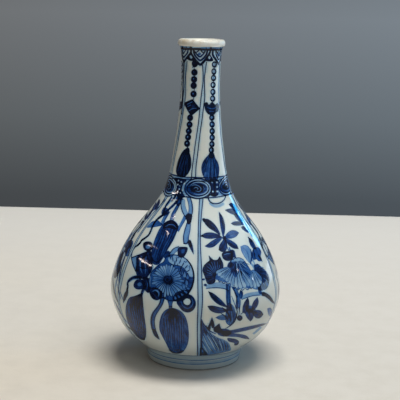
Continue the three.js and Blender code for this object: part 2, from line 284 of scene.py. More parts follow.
    ('S', .5, ['27.90,89.71 26.31,87.23 25.00,84.66 23.91,81.90'], dict(w=[.13, .29, .22, .09])),
    ('S', .64, ['27.24,87.94 25.97,85.79 24.95,83.55 24.14,81.16'], dict(w=[.13, .29, .22, .09])),
    ('S', .78, ['27.50,85.87 26.42,83.33 25.60,80.72 25.00,77.94'], dict(w=[.14, .3, .23, .09])),
    ('S', .5, ['27.55,83.93 27.01,82.68 26.67,81.39 26.52,80.00'], dict(w=[.14, .3, .23, .09])),
    ('S', .64, ['29.58,89.21 28.65,86.57 27.99,83.87 27.58,81.03'], dict(w=[.14, .3, .23, .09])),
    ('S', .78, ['30.09,87.29 29.45,84.15 29.09,80.97 28.99,77.63'], dict(w=[.14, .31, .24, .1])),
    ('S', .5, ['30.22,85.43 29.81,83.14 29.63,80.83 29.69,78.42'], dict(w=[.14, .31, .24, .1])),
    ('S', .64, ['31.04,83.56 30.83,82.72 30.82,81.89 31.03,81.03'], dict(w=[.14, .32, .24, .1])),
    ('S', .78, ['31.93,89.12 31.95,85.67 32.24,82.19 32.83,78.58'], dict(w=[.15, .32, .25, .1])),
    ('S', .5, ['32.32,87.33 32.44,84.14 32.83,80.95 33.50,77.63'], dict(w=[.15, .32, .25, .1])),
    ('S', .64, ['33.64,85.69 33.76,84.12 34.10,82.60 34.68,81.05'], dict(w=[.15, .33, .25, .1])),
    ('S', .78, ['35.02,84.10 35.20,82.80 35.59,81.55 36.22,80.31'], dict(w=[.15, .33, .25, .1])),
    ('S', .5, ['33.72,89.47 34.77,85.71 36.09,81.96 37.75,78.07'], dict(w=[.15, .33, .26, .1])),
    ('S', .64, ['35.34,88.08 36.23,85.78 37.34,83.53 38.73,81.26'], dict(w=[.15, .33, .26, .1])),
    ('S', .78, ['36.71,86.63 37.31,85.12 38.12,83.69 39.18,82.28'], dict(w=[.16, .34, .26, .1])),
    ('S', .5, ['38.40,85.30 38.92,84.09 39.66,82.96 40.64,81.88'], dict(w=[.16, .34, .26, .1])),
    ('S', .64, ['36.04,90.46 37.64,88.21 39.47,86.03 41.60,83.84'], dict(w=[.15, .33, .26, .1])),
    ('S', .78, ['37.55,89.16 38.29,88.01 39.23,86.96 40.41,85.99'], dict(w=[.16, .34, .25, .1])),
    ('S', .5, ['39.70,88.25 40.82,86.91 42.13,85.68 43.71,84.52'], dict(w=[.16, .34, .25, .1])),
    ('S', .64, ['42.26,87.62 43.17,86.66 44.26,85.82 45.60,85.07'], dict(w=[.16, .34, .25, .1])),
    ('S', .8, ['31.85,97.46 29.90,96.72 28.17,95.76 26.61,94.55'], dict(w=[.21, .52, .44, .16])),
    ('S', .8, ['32.10,97.20 30.18,95.94 28.55,94.50 27.15,92.84'], dict(w=[.21, .54, .46, .16])),
    ('S', .8, ['32.43,97.00 30.97,95.54 29.83,93.95 28.96,92.19'], dict(w=[.22, .56, .48, .17])),
    ('S', .8, ['32.77,96.89 31.57,95.02 30.72,93.07 30.18,90.98'], dict(w=[.23, .59, .5, .18])),
    ('S', .8, ['33.58,96.86 33.47,94.71 33.68,92.59 34.24,90.44'], dict(w=[.25, .63, .54, .19])),
    ('S', .8, ['34.02,96.96 34.60,94.79 35.49,92.71 36.72,90.64'], dict(w=[.26, .65, .54, .19])),
    ('S', .8, ['34.38,97.10 35.61,95.03 37.12,93.06 38.98,91.16'], dict(w=[.26, .64, .54, .19])),
    ('S', .8, ['34.69,97.30 36.59,95.43 38.75,93.69 41.27,92.05'], dict(w=[.25, .63, .53, .19])),
    ('S', .8, ['35.71,97.18 38.02,95.73 40.57,94.45 43.49,93.29'], dict(w=[.25, .61, .51, .18])),
    ('S', .26, ['31.68,96.50 30.33,95.46 29.25,94.28 28.42,92.92'], dict(op='set', w=[.16, .44, .23])),
    ('S', .26, ['34.02,96.22 34.16,94.56 34.60,92.97 35.38,91.39'], dict(op='set', w=[.19, .51, .26])),
    ('S', .26, ['35.62,96.12 36.70,94.61 38.04,93.24 39.71,91.98'], dict(op='set', w=[.19, .51, .25])),
    ('F', .46, ['27.10,96.42 30.74,97.09 33.20,95.06 33.19,91.81 31.07,87.91 28.51,85.52 26.78,88.38 25.81,91.86'], dict(flow=('fan', 31.1, 95.3), st=.5)),
    ('S', .25, ['31.84,95.95 31.24,92.34 31.06,88.65'], dict(op='set', w=[.49, .98, .49])),
    ('S', .74, ['33.81,90.84 34.04,88.28 33.95,84.84'], dict(st=.5, w=[.64, 1.52, .51])),
    ('S', .7, ['27.85,92.25 26.05,89.63 24.20,86.85'], dict(st=.5, w=[.44, 1.1, .33])),
    ('S', .85, ['15.63,85.10 16.36,83.43 17.82,83.94'], dict(w=[.38, .78, .36])),
    ('S', .85, ['17.95,83.78 19.09,82.07 20.74,82.84'], dict(w=[.38, .78, .36])),
    ('S', .85, ['21.01,82.67 22.48,81.35 24.04,82.11'], dict(w=[.38, .77, .36])),
    ('S', .85, ['26.50,80.20 26.80,77.44 27.95,78.37'], dict(w=[.41, .83, .38])),
    ('S', .85, ['28.00,77.45 29.37,76.05 30.84,76.77'], dict(w=[.39, .77, .38])),
    ('S', .85, ['31.30,76.71 32.88,75.40 34.67,76.66'], dict(w=[.39, .77, .4])),
    ('S', .85, ['35.02,76.76 36.63,75.26 38.42,75.73'], dict(w=[.4, .78, .38])),
    ('S', .85, ['38.78,75.82 40.73,75.77 41.75,77.29'], dict(w=[.36, .89, .48])),
    ('F', .46, ['43.52,88.65 47.26,88.44 50.85,84.96 52.65,80.34 49.98,76.20 46.48,73.82 42.73,74.60 40.40,76.92 42.93,81.56 44.75,85.07'], dict(flow=('fan', 45.4, 91.8), st=.4, e=.7, we=.35)),
    ('F', .26, ['42.84,87.25! 40.49,82.47 39.57,78.59 39.83,76.70 40.55,76.12 41.41,76.45 42.24,78.18 42.79,82.13'], dict(op='set', flow=('fan', 45.4, 91.8), st=.3, g=.12)),
    ('F', .26, ['43.86,87.17! 42.52,81.81 42.41,77.55 43.06,75.57 43.93,75.05 44.75,75.52 45.23,77.48 44.94,81.76'], dict(op='set', flow=('fan', 45.4, 91.8), st=.3, g=.12)),
    ('F', .26, ['44.91,87.21! 44.73,81.75 45.51,77.49 46.61,75.57 47.62,75.15 48.38,75.72 48.46,77.75 47.22,81.99'], dict(op='set', flow=('fan', 45.4, 91.8), st=.3, g=.12)),
    ('F', .26, ['45.96,87.39! 46.80,82.63 48.26,79.00 49.64,77.44 50.69,77.18 51.34,77.76 51.08,79.55 49.13,83.13'], dict(op='set', flow=('fan', 45.4, 91.8), st=.3, g=.12)),
    ('S', .72, ['43.23,86.45 42.75,83.03 42.41,79.56 42.19,75.92'], dict(w=[.29, .52, .36])),
    ('S', .72, ['44.43,86.44 44.73,82.74 45.16,78.99 45.75,75.05'], dict(w=[.3, .54, .38])),
    ('S', .72, ['45.65,86.56 46.72,83.19 47.89,79.75 49.23,76.12'], dict(w=[.3, .56, .4])),
    ('S', .72, ['46.74,86.80 48.13,84.27 49.60,81.68 51.21,78.96'], dict(w=[.3, .56, .4])),
    ('S', .6, ['42.56,85.02 42.12,82.70 41.74,80.37 41.41,77.93'], dict(w=[.17, .37, .14])),
    ('S', .6, ['43.41,84.20 43.27,81.79 43.20,79.34 43.19,76.80'], dict(w=[.18, .38, .15])),
    ('S', .6, ['44.29,83.45 44.38,81.85 44.49,80.23 44.63,78.56'], dict(w=[.18, .39, .15])),
    ('S', .6, ['45.01,84.98 45.36,82.74 45.75,80.47 46.21,78.11'], dict(w=[.18, .39, .15])),
    ('S', .6, ['45.99,84.33 46.66,81.91 47.39,79.46 48.21,76.89'], dict(w=[.18, .4, .16])),
    ('S', .6, ['47.14,83.75 47.80,82.12 48.48,80.48 49.22,78.77'], dict(w=[.18, .4, .16])),
    ('S', .6, ['47.19,85.33 48.22,83.28 49.30,81.19 50.47,79.00'], dict(w=[.18, .4, .16])),
    ('S', .6, ['48.40,84.86 49.88,82.59 51.43,80.26 53.13,77.81'], dict(w=[.18, .41, .16])),
    ('S', .3, ['45.17,93.83 46.84,91.12 47.05,88.48'], dict(w=[2.07, 2.48, 1.57])),
    ('F', .86, ['48.20,92.10! 52.49,91.91 55.36,89.00 58.36,86.30 60.88,82.68 61.62,78.62 59.24,75.20 55.64,72.42 51.42,71.88 47.84,72.40 46.15,74.20 50.31,76.60 52.42,80.39 50.52,84.72 47.20,88.30'], dict(flow=('fan', 42.8, 90.7), st=.5, e=.96, we=.55)),
    ('S', .45, ['52.41,89.44 54.46,89.20 56.43,88.69 58.39,87.90'], dict(op='set', w=[.16, .51, .35])),
    ('S', .45, ['54.56,87.15 56.72,86.50 58.73,85.60 60.62,84.43'], dict(op='set', w=[.18, .6, .42])),
    ('S', .45, ['55.24,84.20 56.98,83.34 58.47,82.30 59.71,81.04'], dict(op='set', w=[.21, .68, .45])),
    ('S', .45, ['54.14,80.95 55.52,79.88 56.58,78.68 57.32,77.32'], dict(op='set', w=[.23, .72, .45])),
    ('S', .45, ['52.00,77.91 52.88,76.96 53.43,75.94 53.62,74.82'], dict(op='set', w=[.23, .71, .45])),
    ('S', .6, ['46.82,74.53 47.62,71.17 50.55,69.67'], dict(w=[2.32, 3.09, 1.59])),
    ('R', .46, ['20.93,81.78 20.67,76.99 20.36,71.68 20.60,66.21 21.75,60.41', '24.56,81.46 23.64,76.72 23.41,71.38 23.62,65.88 24.26,60.11'], dict(e=.85, we=.45, st=.35)),
    ('R', .46, ['24.62,79.34 26.18,75.68 27.61,71.66 27.21,67.02 26.74,62.25', '27.67,78.55 29.09,74.86 30.07,70.54 29.67,65.87 29.38,61.86'], dict(e=.82, we=.4, st=.35)),
    ('R', .3, ['6.68,80.92! 9.81,82.36 13.93,82.67 18.10,82.14 22.23,80.33', '7.45,78.83! 10.66,79.22 14.71,79.20 18.54,78.52 22.19,76.40'], dict(st=.3)),
    ('S', .82, ['7.06,78.69 10.79,79.06 15.12,79.03 19.62,77.99 22.31,76.09'], dict(w=[.51, .76, .72, .84])),
    ('S', .6, ['11.17,82.47 16.04,82.86 20.21,81.84 22.91,79.81'], dict(w=[.31, .52, .64])),
    ('F', .9, ['7.83,81.36 7.60,80.79 7.03,80.45 6.33,80.45 5.77,80.81 5.55,81.37 5.77,81.94 6.35,82.29 7.05,82.28 7.62,81.93'], dict()),
    ('R', .28, ['30.63,69.99! 34.77,72.31 40.22,72.58 46.69,71.70 52.72,69.13', '31.57,67.96! 35.28,69.24 40.21,69.74 46.25,68.77 52.36,66.45'], dict(st=.35)),
    ('S', .7, ['31.59,68.28 35.60,69.18 40.73,69.64 47.24,68.70'], dict(w=[.43, .65, .64, .53])),
    ('F', .9, ['49.67,70.85 54.32,68.71 59.08,64.92 64.00,59.49 68.87,54.54! 61.52,58.73 56.58,62.96 52.34,66.29 49.23,68.06'], dict()),
    ('L', .66, ['31.04,75.82! 32.60,74.36 32.63,71.72 31.16,68.82', '31.04,75.82! 30.19,73.63 29.98,71.34 30.69,68.57'], dict(e=.85, we=.4, ve=.34)),
    ('S', .55, ['25.74,78.77 26.84,74.84 28.44,70.77'], dict(w=[.69, 1.14, 1.37])),
    ('S', .82, ['21.69,80.67 21.55,75.40 21.09,69.30 21.83,62.87'], dict(st=.4, w=[.44, .78, .66, .33])),
    ('S', .86, ['23.34,79.77 22.62,74.54 22.43,68.38 23.36,61.87'], dict(st=.4, w=[.45, .9, .78, .45])),
    ('S', .84, ['26.40,74.89 27.80,70.08 27.89,65.33 28.22,61.21'], dict(st=.4, w=[.46, .93, 1.06, .71])),
    ('S', .7, ['24.16,72.07 25.38,68.05 26.58,63.90'], dict(st=.4, w=[.33, .79, .45])),
    ('S', .75, ['30.51,68.13 30.09,64.20 29.64,59.32'], dict(st=.4, w=[.61, .99, .63])),
    ('L', .8, ['8.61,76.57! 11.61,74.97 14.83,71.78 17.80,68.34 20.72,64.28', '8.61,76.57! 10.25,72.28 12.80,68.65 16.05,65.79 20.73,63.47'], dict(e=.94, we=.55, ve=.46)),
    ('L', .76, ['8.06,65.20! 10.86,65.44 14.74,64.29 18.05,63.07 20.76,61.84', '8.06,65.20! 9.89,61.93 13.28,59.80 16.83,59.22 20.81,60.18'], dict(e=.92, we=.55, ve=.44)),
    ('L', .46, ['13.46,55.55! 16.00,57.09 18.93,57.17 22.44,55.75', '13.46,55.55! 16.23,53.61 19.24,52.98 22.59,53.99'], dict(e=.7, we=.35, ve=.34)),
    ('F', .5, ['21.15,66.47 23.90,65.53 26.06,61.03 27.56,55.73 27.34,50.46 24.55,47.61 21.16,50.44 20.17,56.70 20.48,62.20'], dict(flow=(22.1, 66.8, 24.8, 47.8), st=.5, e=.85, we=.45)),
    ('S', .84, ['21.54,65.32 21.21,60.47 22.06,55.28 21.81,50.90'], dict(w=[.67, .89, .69, .36])),
    ('S', .8, ['22.78,63.90 23.04,59.42 24.09,54.50 24.48,50.00'], dict(w=[.34, .9, .69, .36])),
    ('S', .78, ['25.49,61.11 26.02,56.82 25.64,52.16'], dict(w=[.35, .84, .38])),
    ('S', .84, ['17.64,63.59 20.54,60.21 22.86,55.70 24.21,50.94'], dict(st=.4, w=[.82, 1.55, 1.38, .44])),
    ('S', .8, ['16.84,58.89 19.95,56.04 22.37,52.08'], dict(st=.4, w=[.52, 1.23, .52])),
    ('S', .86, ['28.17,59.21 27.77,55.17 26.13,50.65 23.65,46.82 21.20,44.90'], dict(st=.3, w=[1, 1.31, 1.11, .86, .43])),
    ('S', .84, ['35.04,63.01 36.56,58.37 39.03,52.79'], dict(st=.4, w=[1.13, 2.02, .78])),
    ('S', .82, ['38.37,58.67 42.77,55.76 47.50,53.48'], dict(st=.4, w=[.93, 1.37, .67])),
    ('S', .84, ['23.75,63.78 24.85,59.53 25.23,54.51'], dict(w=[.55, .8, .35])),
    ('S', .25, ['24.59,64.97 26.03,62.35 26.86,59.24'], dict(op='set', w=[.54, .99, .45])),
    ('S', .82, ['26.72,63.88 28.00,59.58 27.99,54.44 26.94,50.16 24.76,47.21 22.17,45.15'], dict(w=[1.02, .95, .91, .84, .72, .5])),
    ('S', .72, ['29.37,62.19 29.69,58.46 29.40,55.08'], dict(w=[1.09, 1, .65])),
    ('F', .9, ['32.70,52.72 32.53,51.34 31.59,50.64 30.26,50.88 29.07,51.97 28.48,53.48 28.70,54.84 29.63,55.53 30.91,55.31 32.08,54.24'], dict(e=.97, we=.4)),
    ('S', .5, ['30.10,54.26 31.47,53.13'], dict(op='set', w=[.52])),
    ('S', .8, ['31.06,56.52 33.25,57.83'], dict(w=[.8, .67])),
    ('L', .76, ['36.40,69.04! 33.98,66.45 32.37,63.00 32.02,57.72', '36.40,69.04! 37.16,65.06 36.57,60.56 34.56,55.86'], dict(e=.92, we=.5, ve=.4)),
    ('L', .68, ['44.76,67.66! 41.65,65.59 39.69,62.41 39.43,58.26', '44.76,67.66! 45.51,63.89 44.46,60.48 41.10,57.37'], dict(e=.85, we=.42, ve=.34)),
    ('L', .68, ['40.55,47.92! 37.00,51.82 34.68,56.18 35.11,60.51', '40.55,47.92! 42.10,50.25 41.69,54.62 38.25,60.21'], dict(e=.88, we=.5, ve=.4)),
    ('F', .6, ['33.78,62.26 37.49,62.54 41.39,59.86 43.54,56.78 40.61,55.75 36.18,57.25'], dict(flow=(33.9, 60.3, 43.4, 58.2), st=.4)),
    ('L', .76, ['52.72,50.73! 48.31,55.36 44.08,56.99 40.53,56.29', '52.72,50.73! 50.25,48.75 45.45,49.92 41.29,53.84'], dict(e=.9, we=.5, ve=.4)),
    ('L', .5, ['56.24,54.98! 59.99,54.51 64.28,51.49 67.81,47.21', '56.24,54.98! 58.59,50.87 63.50,46.34 73.36,41.02'], dict(e=.75, we=.35, ve=.34)),
    ('R', .35, ['65.02,43.61 77.12,35.72 75.73,32.60', '71.42,41.91 77.26,36.68 76.16,33.46'], dict(st=.2)),
    ('L', .72, ['66.84,37.98! 55.68,41.36 43.47,43.08 32.72,43.18 24.97,42.68 18.31,43.16', '66.84,37.98! 57.32,38.95 47.02,39.65 37.18,39.73 29.57,39.60 19.28,39.22'], dict(e=.86, we=.42, ve=.46)),
    ('F', .92, ['76.35,33.58 75.96,32.98 75.77,32.55 75.77,32.49 70.58,34.78 67.33,36.69 66.49,37.75 67.57,37.85 70.85,36.69 76.59,34.19'], dict()),
    ('L', .62, ['49.42,28.34! 41.80,33.94 34.46,37.26 28.04,39.30 20.96,40.18', '49.42,28.34! 40.51,31.68 33.56,34.71 27.18,36.33 20.70,37.49'], dict(e=.8, we=.4, ve=.34)),
    ('F', .8, ['24.75,35.15 28.55,34.31 33.25,32.18 37.15,28.78 38.38,25.32 35.00,25.72 32.79,28.71 29.39,30.27 26.39,32.07'], dict(e=.93, we=.4, flow=(25.3, 34.3, 36.8, 27.8), st=.2)),
    ('R', .3, ['59.13,36.67 55.46,34.62 51.26,32.44', '55.13,38.91 51.60,36.78 48.19,34.52'], dict(e=.6, we=.3)),
    ('F', .72, ['16.43,44.67 20.18,45.03 24.59,43.12 26.88,39.50 24.12,37.21 19.59,37.82 16.09,40.70'], dict(flow=(16.3, 42.2, 26.3, 40.0), st=.3)),
    ('F', .93, ['8.84,45.88 9.59,50.45 11.10,56.20! 12.49,52.28 13.38,47.70 12.05,45.93 10.90,48.58 10.69,44.50'], dict()),
    ('F', .84, ['12.70,46.26 14.53,48.36 16.36,50.39! 17.75,46.41 19.95,41.84 17.17,41.18 13.91,42.41'], dict()),
    ('S', .8, ['4.53,54.26 5.82,50.71 7.97,47.02 10.93,43.35 15.14,40.40'], dict(w=[.72, .95, 1.21, 1.17, .74])),
    ('S', .85, ['7.73,48.87 8.84,45.88 10.69,42.98'], dict(w=[.52, 1.16, .65])),
    ('F', .42, ['4.71,52.86 6.71,48.34 9.65,43.98 13.05,40.16 17.08,36.91 22.15,34.13 26.79,30.33 31.44,24.88 37.14,17.97 27.91,17.63 19.94,17.00 12.08,16.66 8.39,16.56 5.62,36.93'], dict(flow=('fan', 2.4, 49.2), st=.5)),
    ('S', .86, ['5.74,41.79 8.71,33.87 13.49,25.21 18.76,19.37'], dict(w=[.57, .84, .9, .52])),
    ('S', .86, ['6.50,45.00 10.35,36.21 15.18,28.17 21.52,20.35'], dict(w=[.67, .98, .92, .44])),
    ('S', .86, ['8.18,43.84 12.50,36.29 17.19,28.42 23.14,20.90'], dict(w=[.53, .77, .69, .4])),
    ('S', .86, ['10.50,42.04 14.93,34.52 19.91,26.47 24.97,19.79'], dict(w=[.58, .84, .74, .34])),
    ('S', .86, ['13.59,39.16 17.43,32.26 21.87,24.97'], dict(w=[.43, .62, .53, .33])),
    ('S', .86, ['16.42,36.38 20.07,30.28 25.59,21.01'], dict(w=[.57, .82, .7, .32])),
    ('S', .86, ['19.30,34.49 23.20,27.63 28.05,20.01'], dict(w=[.51, .75, .67, .36])),
    ('S', .86, ['22.49,32.67 25.82,26.72 30.03,20.13'], dict(w=[.57, .86, .82, .44])),
    ('S', .86, ['25.51,30.12 28.93,24.93 32.35,19.88'], dict(w=[.48, .77, .78, .54])),
    ('S', .86, ['6.10,33.93 8.71,27.43 12.92,19.97'], dict(w=[.58, .89, .82, .41])),
    ('S', .86, ['6.83,26.29 9.47,21.55 12.02,18.08'], dict(w=[.72, 1.15, 1.05, .51])),
    ('S', .1, ['6.47,38.88 9.79,30.73 15.51,21.92'], dict(op='set', w=[.21, .79, .88, .29])),
    ('S', .1, ['8.13,40.78 12.52,32.67 18.70,22.87'], dict(op='set', w=[.22, .72, .76, .26])),
    ('S', .1, ['12.91,37.64 17.40,29.51 23.47,20.31'], dict(op='set', w=[.21, .64, .65, .22])),
    ('S', .1, ['18.40,33.59 22.62,26.08 26.65,20.28'], dict(op='set', w=[.21, .63, .64, .22])),
    ('S', .1, ['6.76,31.24 10.09,24.17 13.10,19.40'], dict(op='set', w=[.22, .9, .98, .29])),
    ('F', .94, ['4.73,26.80! 6.47,22.99 9.32,15.95! 6.00,15.76!'], dict()),
    ('F', .9, ['8.43,24.24! 11.35,20.35 14.44,16.19! 8.85,16.25!'], dict()),
    ('S', .85, ['8.85,16.25 18.22,16.37 28.16,17.31 37.09,18.24'], dict(w=[.9, 1.35, 1.08, .63])),
    ('S', .82, ['4.45,52.86 4.65,44.64 5.46,34.94 6.52,23.78'], dict(w=[.82, .72, .73, .95])),
    ('F', .4, ['4.61,51.97 6.76,47.42 8.87,43.63 8.56,38.83 6.69,41.77 5.75,34.94'], dict(flow=(4.9, 52.0, 7.6, 38.9), st=.3)),
]
